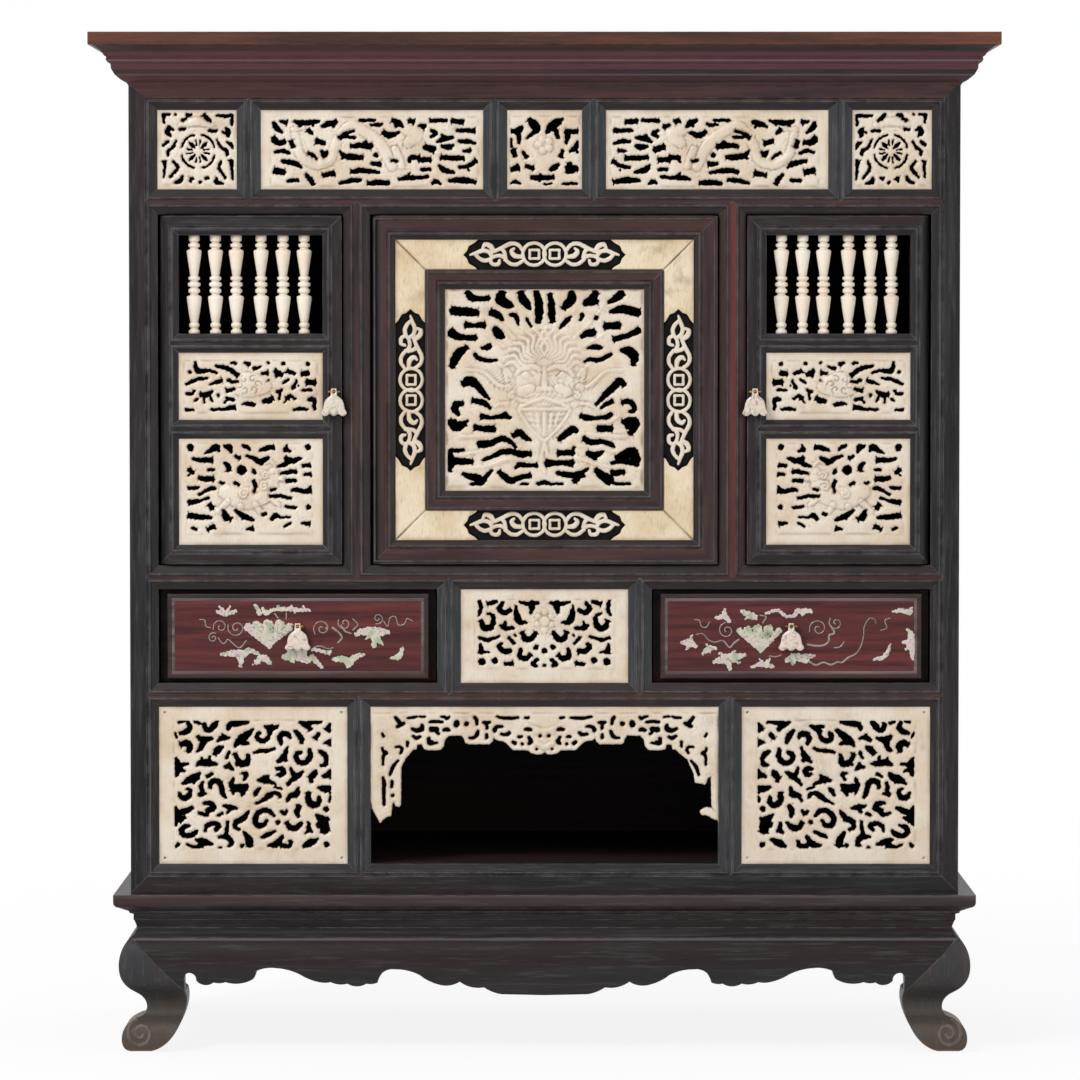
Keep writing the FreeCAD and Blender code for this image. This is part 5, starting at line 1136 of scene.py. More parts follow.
LOWER_PANEL_HOLES: list[Stroke] = [
    (-44.5, 38, .6, -42, 38.7, .7), (-39.3, 38, .7, -38.2, 35, 1.3, -40.2, 32.4, 1.4, -43.6, 31.4, .9),
    (-47, 31, .6, -46, 29, .5), (-34.8, 38.3, .8, -32.6, 37.4, .7),
    (-29.4, 36.5, 1.1, -28.4, 33.6, 1.3, -26, 33.4, 1.3, -23.6, 36, 1.6, -21.8, 38.3, .8),
    (-15.2, 33.8, .8, -13.8, 36.4, 1.4, -9, 37.4, 1.6, -3.2, 38, .7),
    (-33.2, 29.3, .7, -30, 27.3, 1.7, -24.8, 28.4, .6), (-30, 27, 1.7, -31.5, 22.5, 1.2, -33.5, 20.6, .6),
    (-21, 26.8, .7, -18.5, 28.6, 1.3, -14.8, 28.3, .6), (-18.6, 28.6, 1, -18.3, 30.3, .6),
    (-11, 23.6, .6, -8.5, 26.8, 1.8, -5, 29.5, 2, -.6, 33.2, .7), (-6, 26, 1.6, -3.2, 24.9, .6),
    (3.8, 31.5, .8, 2.4, 30, 1.1, 3.4, 27.4, 1.2, 6, 26.7, 1.2, 8.6, 28.3, 1, 9.7, 31, .9, 10.4, 33.4, 1.5,
     14.8, 35.6, .6), (7.5, 35.3, .7, 11, 34.8, 1.3),
    (16.8, 25, .8, 15.9, 28, 1.3, 17.6, 30.8, 1.4, 20.6, 30.8, 1.3, 22, 29, .8),
    (25.2, 32.8, .6, 27.4, 30.6, 1.3, 29, 27.6, 1.3, 29.3, 25.6, .7),
    (28, 38, .5, 31.5, 36.6, 1.7, 36, 37.8, .9, 40.8, 38, .6), (31.8, 36.5, 1.6, 34, 33.8, 1.1),
    (37.6, 28.6, 1, 39.3, 30.8, .9), (44.6, 34, 1.1, 46.3, 36.8, .6), (45.8, 33, 1),
    (43.2, 25.6, .5, 45.9, 25.8, 1.6), (46.4, 24, .6),
    (-43.2, 24.6, 1.2, -40.5, 25.4, 1.6, -38.2, 23.4, 1.6, -39, 20.6, 1),
    (-23, 19.2, 1.2, -21, 21.5, 1.7, -18.6, 23, .6), (-16, 16.6, .6, -14.6, 19.8, .6),
    (-34, 12, .5, -31, 13.6, 1.6, -26.5, 13.2, 1.7, -22, 12.8, .5), (-31, 13.8, 1, -31, 16, .5),
    (-26.6, 14, 1.2, -26.2, 17, .5), (-17, 10.8, .6, -14.6, 11.2, 1.2, -12.4, 9.6, .6),
    (-14.6, 11.4, .8, -14.5, 13, .5),
    (-10.8, 18.4, 1, -9.2, 14.8, 1.2, -7, 13, 1.8, -3.8, 13.6, 1.6, -3, 18, .8), (-9.6, 12.6, .9),
    (.8, 19.7, .5, 5, 20.7, .9, 9, 20.8, .8, 13, 22.2, .5),
    (15, 14.2, .7, 18, 16.6, 1.7, 19.6, 20, .9, 20.6, 22.6, .4), (19.3, 15, .9), (28.6, 19.8, .8,
     26.2, 18.6, 1.2, 26.1, 15.6, 1.3, 28.6, 13.4, 1.3, 32, 14, 1.3, 34.2, 17.2, 1.3, 34, 21.4, .9),
    (40.3, 20.2, .9, 42.6, 18.6, 1.4, 44, 15.4, 1, 43.3, 12.4, 1, 41, 12, .7),
    (-46.5, 16, .5, -45.2, 11.5, 1.8, -46.2, 6, .7), (-44.8, 12, 1.1, -39.6, 12.8, .5),
    (-44.5, 9.5, 1.1, -41.6, 8.4, .5),
    (14.4, 9.9, .8, 16.6, 9.9, 1.2, 18.4, 8.3, 1.3, 16.8, 6.2, 1.2, 14.8, 6.4, .7),
    (22.6, 10.2, .6, 24.2, 6.6, 1.2, 26, 5.4, 1.7, 29.6, 7.8, .5),
    (24.6, 4, 1.1, 22.6, 2.6, .9, 20.8, .4, .7), (34.4, 4.4, 1.1, 36.4, 6.4, 1.7, 37.8, 8.6, .5),
    (35, 2.6, 1), (42.6, 5.4, .9, 45.6, 6.4, 1.5, 46.2, 8.8, .5), (46.2, 4.4, .5),
    (-42.4, .9, .4, -38.4, 3.2, 1.9, -34.6, 4.8, 1.9, -32.6, 7, .6), (-36, 1.8, .8),
    (-27.6, 5.3, .7, -25.2, 6.6, .8),
    (-30.6, 1.4, .6, -31.4, -1, 1, -31, -3.6, .9, -32.4, -5.9, .8, -29, -5.2, .5), (-26, -1.4, .8,
     -25.5, 1.3, 1.3, -23, 2.6, 1.4, -20.2, 1.4, 1.4, -19, -2, 1.3, -18.5, -5, 1.2, -16.9, -7.4, .5),
    (-13.4, 1.2, .9, -12.4, -1, 1.8, -9, -2, 2.2, -5.4, -1.4, 1.9, -3.9, .1, .5), (-12.8, 2, .9, -12, 4, .4),
    (-12.4, -3.4, 1.1, -12, -5, .5), (-5.6, -3, 1.4, -7, -6, .6), (-6.8, 7, .4, -4.2, 6.6, 1, -5.6, 3.2, .5),
    (3, 2.8, .5, 7, 3.6, 1.8, 9, 5.6, .5), (8, 2.6, 1.4, 13.2, .6, .4), (13, -1.3, .4, 16.8, -2.3, .4),
    (-44.6, -5, .7, -43.4, -7.2, 1.2, -40.6, -7.8, 1.4, -38.5, -6, 1.2, -38.3, -3.2, .9, -40, -2.4, .5),
    (1, -6, .6, 2, -3.8, 1.1, 3.8, -2, .5),
    (1.4, -11.2, .3, 6, -9, .9, 9.4, -6.4, 1.5, 12.4, -4.8, .9, 15.4, -5.6, 1, 15.9, -7.3, .6),
    (20.5, -9.4, .6, 22.4, -6.4, 1.2, 26, -5.4, 1.6, 27, -1.6, .5),
    (33, -5.4, 1.2, 33.4, -9.8, 1.6, 36.5, -12.2, 1.6, 39.4, -10.4, 1.3, 39.6, -7.4, .8),
    (39.4, -1.4, .6, 44, -2.4, 1.9, 46.2, -1.4, .8), (46.2, -4.6, .5), (46.5, -7, .5, 45.9, -9.8, .5),
    (-47, -13.4, .5, -45.6, -18.5, 2, -46.8, -24, .5), (-44.6, -16.8, 1.4, -40.8, -15.6, 1.5, -37, -13.8, .8),
    (-44, -20.6, 1.6, -41.6, -19.6, .7), (-29.4, -10.9, .7, -25.6, -11.3, 1.4, -24.1, -14, 1.4,
     -27.2, -15.3, 1.3, -28.4, -17.8, 1, -32.6, -17, .7), (-21, -18.2, .6, -18.8, -17.2, .6),
    (-17.8, -12.6, .5, -14, -13.4, 1.4, -10, -14, .5), (-14, -14, 1.2, -15.4, -16.4, .6),
    (-8.6, -26.8, .7, -10.8, -25.4, 1, -10.4, -22.2, 1.3, -6.4, -20.4, 1.5, -4, -17.4, .9, -2.7, -15.7, .3),
    (12.2, -18.4, .7, 9.4, -15.7, 1.2, 5.6, -15.4, 1.2, 2.1, -17.9, 1.3, 1.1, -22, 1.4, 3, -24.4, 1.4,
     6, -24.2, 1.1, 7.9, -21.6, .7), (17, -15.9, .6, 18.7, -17.3, .9, 19.9, -15.6, .6),
    (27.5, -13, 1.2, 26.2, -16, 1.4, 26.8, -18.8, .8), (14.8, -22.5, 1.1),
    (20.4, -23, 1, 22.2, -25.6, 1.5, 25.6, -25.9, 1.5, 28.9, -23, .8),
    (33.2, -23, .7, 33.6, -26.4, 1.1, 35, -27.9, .6), (33.2, -27.4, 1, 31.6, -29, .4),
    (38, -18.3, .6, 42, -22, 2.6, 43, -27, 2.4), (44.4, -20.6, 1.2), (44, -25, 1.6), (39.8, -24, 1.8),
    (43.8, -14.5, 1.4), (-38.6, -24.4, .5, -42, -25.4, 1.2, -43.4, -28.4, 1.4, -41, -30.6, 1.2,
     -36.6, -29.8, 1.3, -34.3, -27.9, .8),
    (-29, -27.8, .4, -28.2, -24.9, 1, -24.6, -23.2, 1.1, -21.1, -24.4, 1.3, -22.5, -27, .9),
    (-15.5, -22.2, .6, -16, -26.6, .8, -16.6, -29.8, .9),
    (-20.6, -31.3, .6, -16, -31.4, 1.5, -13.6, -33.6, 1.2, -13.5, -35.8, 1.1, -15, -36.7, .5),
    (-46.4, -37, .7, -45.2, -35.6, .7), (-39.8, -36, .4, -36, -37.4, .7, -31.4, -36.6, 1.2),
    (-34.4, -32.9, .5, -30, -34.4, 1.8, -25.2, -35.7, .6), (-20, -38, .8),
    (-5.6, -28.4, .5, -3, -32.4, 1.8, -2.4, -35.6, 2), (-6.8, -36.6, 1),
    (5.4, -31.4, .6, 8.6, -30, 1.1, 12.8, -28, .5), (9, -36.6, .5, 14, -35.6, 1.7, 17.4, -31, .6),
    (17.4, -36.6, 1.2, 21.6, -36.8, .9, 22.4, -34.2, .9), (30.2, -37.2, .6, 34, -35, 1.9, 38.4, -32.9, .6),
    (44, -36, 1.4),
]
# Left half of the valance: its lower outline as x and z, then its cuts
VALANCE_OUTLINE: list[tuple[float, float]] = [
    (-104.7, -22), (-104, -25), (-101, -31), (-99, -34.5), (-97, -32), (-94.5, -30.5), (-92.3, -30),
    (-91.8, -25), (-91.4, -22.6), (-90.8, -21.5), (-90, -24), (-87.5, -24.6), (-86.4, -23), (-86.3, -12),
    (-86.2, -3), (-86, 0), (-84.5, 2.6), (-83.4, 5), (-81, 7.6), (-79, 10), (-77, 10.2), (-76.6, 13),
    (-74, 13.2), (-72.6, 10.4), (-70, 9.6), (-62.5, 9.8), (-60.6, 12), (-59.8, 16), (-57.6, 18.4),
    (-50, 18.6), (-48.6, 17), (-47.6, 14), (-46, 13.3), (-33, 13.3), (-31.4, 15), (-30.4, 17), (-28.6, 15.6),
    (-24.4, 15), (-22, 13), (-19, 9.8), (-10, 9.6), (-8, 8), (-4, 7), (-1.6, 7.4), (0, 8.6),
]
VALANCE_HOLES: list[Stroke] = [
    (-89.6, 29.4, .3, -87.4, 26.6, .6, -86, 25.4, .6, -84.6, 26, .2), (-88.4, 24, .4, -86.6, 25, .7),
    (-82, 29.2, .1, -79, 29.4, .2, -77, 30, 0), (-75, 30, 0, -72, 29.8, 0),
    (-79.4, 22.6, .3, -77, 21.6, .7, -74, 22.4, .9, -73.6, 24.6, .4),
    (-79, 18.2, .2, -77, 17, .5, -75, 17.8, .2), (-68.8, 26.7, .3, -65, 27, .35, -61.6, 26.7, .2),
    (-68, 22.2, 1, -65, 22.2, 1), (-65, 20.6, .2, -63.8, 19.6, .2),
    (-69.6, 16.6, .5, -69.4, 14, .6, -67.6, 14.2, .8), (-66, 14, .2, -64.6, 14, 0),
    (-62, 30, 0, -60, 29.6, .3, -58.4, 28.8, .3, -57.4, 29.8, 0),
    (-60.6, 21.8, .3, -58.8, 22.2, .7, -57.4, 21.8, .2), (-53, 25.2, 1.1, -52.8, 26.2, 1), (-46.9, 25.6, .8),
    (-42, 29.6, .3, -41, 28, .5, -40.6, 25.4, .1), (-36.4, 26.4, .3, -35, 26.2, .6, -33, 26.4, .2),
    (-34.8, 25, .3, -34.6, 22.8, .2), (-40, 21, .3, -40.8, 18.8, .5, -42.4, 17.4, .4, -45, 17, 0),
    (-34.8, 19, .2, -34.8, 17.4, .4), (-30, 21.6, .6, -29.2, 23.4, .5, -27, 24, .3, -25.4, 24, .1),
    (-25.8, 19.4, .2, -22.6, 19.2, .5, -21.2, 20.2, .4),
    (-28.4, 30, 0, -25, 29.2, .3, -20, 29, .4, -16, 29.4, .1), (-11.6, 29.4, .1, -9.8, 29.2, .3),
    (-11.4, 22.2, .3, -9.6, 22.4, .5, -8.2, 22, .3), (-15.4, 17.8, .3, -14, 17.8, .3),
    (-18.8, 14.6, .4, -17.8, 14, .6), (-13.4, 13.4, .3), (-9.2, 17.4, .3, -8.2, 15, .6, -9.2, 13.8, .4),
    (-2.6, 18.4, .4), (-4.6, 10.4, .2), (-97.6, 19.6, 0, -97, 18.2, .3),
    (-97.6, 11, 0, -97, 9, .3, -95.4, 8, .5, -96.8, 6.6, .3, -97.2, 3.6, .1, -97.2, 1, 0),
    (-89.6, 11.6, 0, -87, 11.6, .2, -85.8, 10.2, .3, -86.6, 8, .1), (-82.4, 14.6, .2, -82.6, 12.2, .2),
    (-88.2, 3.4, 0, -91, 0, .4, -93, -5, .2), (-97.2, -7, .2, -96.6, -10, .5, -96.8, -16, .4, -96.6, -23, .3),
    (-91.8, -9.4, .3, -92, -12.4, .2), (-91.4, -17.6, .4),
]
# Half of a fret: square of a coin shape, scrolls, leaf curls and pointed tip
FRET_BARS: list[Stroke] = [
    (-9.2, -2.6, .8, -9.2, 3.4, .8), (-3.4, -2.6, .8, -3.4, 3.4, .8), (-9.2, 3.4, .8, -3.4, 3.4, .8),
    (-9.2, -2.6, .8, -3.4, -2.6, .8), (-13.4, -4, 1, -17, -6.6, 1.2, -21, -6.4, 1.2, -24.6, -3.4, 1.2),
    (-13.6, 3, 1.1, -16.6, 7, 1.2, -21, 7.9, 1.3, -25.5, 5.5, 1.3, -29, 3.6, 1.2, -33, 2, 1.2),
    (-14.6, -1.4, 1.2, -18.6, -.6, 1.5, -20.6, 2.4, 1.3, -19, 4.4, .8),
    (-24.4, -3, 1.2, -25, 1.6, 1.2, -27, 4.4, 1.2), (-24.6, -1.6, 1.5, -28, -.6, 1.2, -31.6, -1.2, 1.1,
     -33.8, -3.4, 1.1, -32.4, -6.4, 1.2, -29, -6.6, 1.2, -28, -3.8, .9),
    (-31.6, 2.4, 1.2, -33.8, 6, 1.6, -37, 7.4, 1.3, -38.4, 5, 1),
    (-33, 1.6, 1.3, -38, 3, 1.3, -42, 1.6, 1.2, -46.4, 0, .7),
    (-33.6, -3, 1.2, -37.4, -4, 1.3, -40.6, -2.6, 1.2, -43, 0, 1.1), (-33, -.6, 1.2, -34.6, 1.6, 1),
]
# Relief of the smaller panels, as middle lines and half-widths: serpent, crest, buds, flower and beast
SERPENT_RIDGES: list[Stroke] = [
    (-46, 9, 2.2, -43, -3, 2.6, -34, -9, 2.6, -25, -6, 2.8, -21, 4, 2.8, -13, 14, 3, -3, 10, 3.2, 6, 2, 3.4,
     12, -10, 2.8), (22, 4, 3, 26, 9, 4.4, 20, 12, 2.6), (14, 0, 2.4, 18, -10, 2),
    (-40, 14, 1.6, -47, 12, 1.6),
]
OUTER_CREST: list[Stroke] = [(-9, 15, 2, 0, 17, 2.6, 9, 15, 2)]
ROW_BUDS: list[Stroke] = [(0, 9, 3), (-4, 11.8, 1.6), (-4.4, 7, 1.6), (0, 14.6, 1.8), (0, 3.4, 2)]
FLOWER_FORMS: list[Stroke] = [(-10, 0, 4.4, -1, 1, 7.4, 8, 0, 4.4)]
BEAST_FORMS: list[Stroke] = [
    (-15, 0, 4.4, -5, -4, 6.4, 6, -2, 6, 12, 4, 4.4), (14.6, 10, 4.6), (18.6, 9, 2.6),
]
BEAST_RIDGES: list[Stroke] = [
    (-20, 4, 1.4, -26, 8, 1.4, -22, 12, 1), (-14, -6, 2, -20, -12, 1.5), (-6, -9, 2, -9, -15, 1.5),
    (3, -8, 2, 6, -13, 1.5), (11, -3, 1.8, 17, -8, 1.3), (13.4, 11.4, 1), (16, 14, 1.1, 12, 18, 1, 8, 17, .8),
    (18, 7.4, .8, 21, 6.8, .7), spiral(8, 3.4, 2.8, 1.3, 60, .7), spiral(2.4, .6, 2.6, 1.3, 90, .7),
    spiral(-4, -1.4, 2.6, 1.3, 120, .7), spiral(9, 9.6, 2.4, 1.3, 30, .7),
]
# Inlay of the two drawers: leaves, and tendrils of fine lines
LEFT_LEAVES: list[Stroke] = [
    (-17, -7, .8, -30, 5.5, 2.4), (-17, -7, .8, -25, 6, 3.2), (-17, -7, .8, -18, 6.5, 3.4),
    (-17, -7, .8, -11, 7, 3), (-14, -3, .8, -5, 5.5, 2.4), (-8, -12.5, 2, -1, -12, 2.8, 6, -14.5, 2),
    (-5, -9.5, 1.6, 4, -9.5, 1.8), (-3, -14.5, 1.6), (8, -12, 1.2, 11, -15, 1.6, 14.5, -19, .8),
    (9, -8, 1.2, 14, -9, 1, 19, -10, 1.4), (-46, -11, .9, -38, -10.5, 2.2, -33, -11, 2.6),
    (-34.5, -18, 1, -34.5, -12, 2.6), (-24, -10.5, 1, -29, -8.8, 1.8, -34, -11, 2),
    (-40, -8.6, .8, -37, -11, 1.6), (-25, -15.8, 1.6, -21, -13, 2.2, -17, -16, 1.4), (-27, -17, .6),
    (35, 1, 1.1, 39, 2.6, 2.2, 46, 2.6, 3, 54, 2.4, 1.5), (46, -5.6, 1.5, 46, 1, 2.6),
    (50.5, -4.5, .9, 47.5, -1, 1.8), (41.5, -1.4, .9, 44, 1, 1.6),
    (22, -14, 1.3, 26.5, -13.8, 2, 31, -15.6, 2.5), (39.5, -11, .9, 34, -12.8, 1.8, 30.5, -17.4, 1.8),
    (-25.5, 18.4, .9, -23, 14, 1.5),
    (-21, 17, .9, -19.6, 14, 1.6, -14, 16, 1, -7, 16.4, 1.3, 0, 15.8, 1.3, 7, 15.6, .7),
    (-12, 18, .7, -10, 15, .8), (-4, 18, .6, -2, 14.4, .9), (3, 18, .6, 5, 15, .8),
    (-48.5, 14.6, 1, -43, 13.6, 1.6, -37.5, 15, 1), (-47, 17.6, .7, -44.4, 14.6, 1),
    (-41, 18, .6, -42.4, 14.6, 1), (56, -13, .8, 60.6, -12.4, 1.7, 63, -7, .9), (60.4, -14, .8),
]
LEFT_TENDRILS: list[Stroke] = [
    (-59, 10, .5, -56, 9.6, .5, -55.4, 6, .45, -52.6, 5, .45), spiral(-46.6, 5.6, 4.6, -1.2, 200, .42),
    spiral(-37, 5, 5.4, 1.5, 160, .45), spiral(-51, -1, 3.2, 1.3, 60, .4),
    (-48, -1, .4, -45, -4.6, .4, -42, -2, .5, -39, -4.6, .5, -35, -7, .5, -31, -2.6, .5),
    spiral(14.4, 4.6, 5.4, -1.4, 220, .45), (17, 4.8, .9), (21, 5, .9, 24.6, 2, .8, 26.4, -1, .8, 24, -4, .6),
    (26, 6.4, .7, 28.4, 3, .7, 32, 1.6, .6), spiral(28, 7.8, 4.2, 1.2, 150, .45),
    (33, 10.4, .4, 36, 7, .45, 33, 3.6, .6), spiral(48, 10.6, 3.4, 1.4, 250, .42), (51.6, 9, .4, 54, 6, .4,
     55.4, 11, .4, 58.6, 11.6, .4, 60.4, 6.8, .45, 64, 7.4, .45, 65.6, 10.6, .45, 69, 9, .4),
    (-12, 11, .6, -14, 13.6, .6), (-7, 10, .5, -7, 14, .5),
    (10, -6.4, .5, 14, -6, .5, 18, -7.6, .5, 21, -7, .5),
]
RIGHT_LEAVES: list[Stroke] = [
    (-18, -9.6, .8, -31, 3.2, 1.8), (-18, -9, .8, -26, 3.6, 2.6), (-18, -9, .8, -20, 4, 3),
    (-18, -9, .8, -13.6, 4, 3), (-17, -8, .8, -7.4, 3, 2), (-29.4, 15, 1.2, -25, 12.6, 2.2, -21.4, 11.4, 1.6),
    (-27, 10.6, .8, -25.4, 12.4, 1.4),
    (-15, 13.6, .8, -8, 15.6, 1, -3, 12.2, 1, 2, 12.2, 1, 4, 15, 1.6, 11.6, 15, 1.4),
    (7, 12.6, .7, 6, 14.6, 1.1), (-40, 16, .8, -40, 12, 1.8), (-45, 11, .9, -40, 11.6, 1.8, -37, 8.6, 1),
    (-66, -4, .8, -61, -4, 2.2, -57, -6.6, 1), (-59.6, 0, .8, -61, -4.4, 1.8),
    (-62.6, -7.8, .9, -61, -4.4, 1.6), (-53, -10.6, .8, -49.6, -7.6, 1.8, -45, -7.2, .9),
    (-50.6, -5.2, .7, -48.6, -9.6, .8), (-46, -15.4, 1.3, -38, -13.4, 3, -28, -11.6, 1.2),
    (-36.8, -20, 1, -37.6, -13, 2.4), (-43, -10.4, .8, -39, -13, 1.6), (-34, -9, .9, -36.6, -13, 1.8),
    (-31, -16, .8, -35, -13.6, 1.4), (-23.6, -18.6, .7, -17.6, -17, 1.6, -11.4, -18.4, 1.2),
    (-13, -13.6, .8, -15, -17, 1.8), (-18.6, -14, .7, -16.6, -17, 1.2),
    (-3, -15, 1.2, 3, -12.6, 2.6, 9.6, -15, 1.4), (1, -17, .9, 3, -13, 1.8), (13.6, -12, 1, 9, -12, 1.6),
    (50, -14, .9, 55, -13, 1.3, 58, -10, 1.2, 59.6, -5.4, .8),
    (61.6, 14.8, .6, 66, 15.4, 1.5, 71.6, 14.4, 1.8), (73, 17, .6, 71, 15, 1.2),
    (71, 3, 1.2, 72.4, -1, 2, 72.8, -6, 2.2, 73, -14, .8), (68, -3.4, 1.2, 72, -4, 2),
    (69, -7.8, .8, 72, -6, 1.6), (69.6, 4, .7, 72, 2, 1.2),
]
RIGHT_TENDRILS: list[Stroke] = [
    spiral(-38.6, 3.4, 5, 1.4, 100, .42), (-57, 1, .4, -53, 1.4, .4, -50, -2, .45, -46, -3.6, .45,
     -42, -2.6, .5, -40, -3.4, .6, -37, -6.8, .7, -34.6, -4.6, .7, -31.4, -2, .7),
    (-58, 10, .4, -55, 9.4, .4, -54, 6, .4, -51, 5.4, .4, -49, 8.6, .4),
    spiral(16.4, 4.6, 5.6, -1.4, 200, .42), spiral(27, 8, 4.4, 1.3, 140, .5),
    (10, -5, .8, 15, -5.8, .8, 20, -5.4, .8, 22.6, -3, .8, 23, .4, .8, 26, 2, .8, 24, 6, .7),
    (26, -7, .5, 29.6, -6.4, .5, 32, -3.4, .4), (11, -15.4, .8, 15, -17.4, .7, 19.6, -15.8, .7, 24, -17.2, .8,
     28, -15.6, .7, 31, -15.8, .7, 34.6, -12.8, .8, 39, -10.6, .5, 42, -6, .45, 43.6, 0, .4, 44, 5.6, .4,
     47, 10.6, .4, 50.4, 10, .4, 51, 7.4, .4), (54, 3.6, .4, 57.6, 5, .4, 56.4, 9.4, .4, 60, 11, .4),
    (-17, 8, .6, -15, 11.6, .5, -18.6, 12.6, .5), (-13, -12, .5, -9, -12.4, .5, -6, -11.4, .5),
]


@dataclass
class CarvedPanel:
    """A pierced bone panel: a sawn plate with uneven rounded edges, a plain border and carved relief.

    halved panels mirror all but their forms about the middle; flipped ones are turned left to right.
    """

    name: str
    middle: Place
    size: tuple[float, float]
    y_front: float
    holes: Sequence[Stroke]
    border: Border
    ridges: Sequence[Stroke] = ()
    grooves: Sequence[Stroke] = ()
    flipped: bool = False
    halved: bool = False
    thickness: float = 4.0
    ridge: float = 0.9
    form: float = 1.5
    seed: float = 1.0
    saw: float = 0.35
    tremor: float = 0.4
    step: float = 0.45
    forms: Sequence[Stroke] = ()
    groove: float = 0.6
    corner: float = 0.7
    nail_in: float = 0.0
    nail_r: float = 0.8
    nail_deep: float = 1.2

    def draw(self) -> Drawing:
        """Draws the cuts, the border and the relief.

        Returns:
            The drawing.
        """
        plan = Drawing(*self.size, step=self.step)
        plan.pierce(self.holes, self.halved, self.saw)
        plan.pierce(corner_cuts(self.holes, self.corner), self.halved, 0.5 * self.saw)
        plan.waver(self.tremor, self.seed)
        plan.chase(self.border)
        plan.frame(self.border)
        plan.carve(self.forms, self.form * self.ridge)
        plan.carve(self.ridges, self.ridge, self.halved)
        plan.carve(self.grooves, -self.groove, self.halved)
        if self.nail_in:
            x, z = self.size[0] / 2 - self.nail_in, self.size[1] / 2 - self.nail_in
            plan.carve([(a * x, b * z, self.nail_r) for a in (-1, 1) for b in (-1, 1)], -self.nail_deep)
        if self.flipped:
            plan.flip()
        return plan

    def build(self, finish: Material, body: str, *nodes: str) -> None:
        """Makes the plate and puts it on its body in place of the nodes."""
        piece = cut_plate(self.name, self.draw(), self.middle, self.y_front, self.thickness)
        dress(piece, finish, body, "bone", *nodes)


@dataclass
class FixedPanels:
    """The bone panels of the frieze, the drawer row and the bottom row."""

    y_front: float = -93.05
    frieze_z: float = 542.5
    frieze_h: float = 47.4
    outer_x: float = 208.2
    outer_w: float = 47.6
    wide_x: float = 103.4
    wide_w: float = 133.2
    centre_w: float = 44.8
    row_middle: Place = (0.0, 250.6)
    row_size: tuple[float, float] = (100.6, 56.4)
    lower_x: float = 175.35
    lower_z: float = 160.6
    lower_size: tuple[float, float] = (113.3, 94.8)
    roundel_middle: Place = (0.6, -1.0)
    petals: int = 5
    petal_z: float = 3.0
    petal_off: float = 3.5
    petal_r: float = 2.4
    petal_turn: float = 1.256

    def roundel(self) -> list[Array]:
        """The round fretwork: its quarter turned to all four sides.

        Returns:
            Its saw cuts.
        """
        turns = [np.array([sx, sz, 1.0]) for sx in (-1.0, 1.0) for sz in (-1.0, 1.0)]
        quarter, middle = as_rows(ROUNDEL_QUARTER), [*self.roundel_middle, 0.0]
        return [cut * turn + middle for turn in turns for cut in quarter]

    def pairs(self, bone: Material) -> None:
        """Makes the panels that stand on both sides; right-hand ones mirror the left."""
        for side, word in ((-1, "left"), (1, "right")):
            CarvedPanel(f"frieze_outer_carving_{word}", (side * self.outer_x, self.frieze_z),
                        (self.outer_w, self.frieze_h), self.y_front,
                        holes=[*FRIEZE_OUTER_HOLES, *self.roundel()], border=(2.4, 1.8, 2.6, 1.6),
                        ridges=OUTER_CREST, flipped=side > 0, seed=3.1 + side,
                        ).build(bone, "case", "frieze_panels_outer")
            CarvedPanel(f"frieze_wide_carving_{word}", (side * self.wide_x, self.frieze_z),
                        (self.wide_w, self.frieze_h), self.y_front, holes=FRIEZE_WIDE_HOLES,
                        border=(6, 3, 2, 4.4), ridges=SERPENT_RIDGES, flipped=side > 0, seed=1.4 + side,
                        ).build(bone, "case", "frieze_panels_wide")
            CarvedPanel(f"lower_carving_{word}", (side * self.lower_x, self.lower_z), self.lower_size,
                        self.y_front, holes=LOWER_PANEL_HOLES, border=(9, 9.6, 9, 8.4), flipped=side > 0,
                        seed=5.2 + side, saw=0.5, step=0.5, nail_in=3.4,
                        ).build(bone, "case", "lower_panels")

    def build(self, bone: Material) -> None:
        """Makes all fixed panels.

        Args:
            bone: the panels' material.
        """
        self.pairs(bone)
        petals = [(-self.petal_off * math.cos(a), self.petal_z + self.petal_off * math.sin(a), self.petal_r)
                  for a in self.petal_turn * np.arange(self.petals)]
        CarvedPanel("frieze_centre_carving", (0.0, self.frieze_z), (self.centre_w, self.frieze_h),
                    self.y_front, holes=FRIEZE_CENTRE_HOLES, border=(1.8, 1.8, 2, 4), ridges=petals,
                    ridge=1.3,
                    ).build(bone, "case", "frieze_panel_centre")
        CarvedPanel("drawer_row_carving", self.row_middle, self.row_size, self.y_front,
                    holes=ROW_PANEL_HOLES, border=(8.6, 8.6, 8.8, 6.4), ridges=ROW_BUDS, halved=True,
                    ridge=0.6, seed=2.2,
                    ).build(bone, "case", "drawer_row_panel")


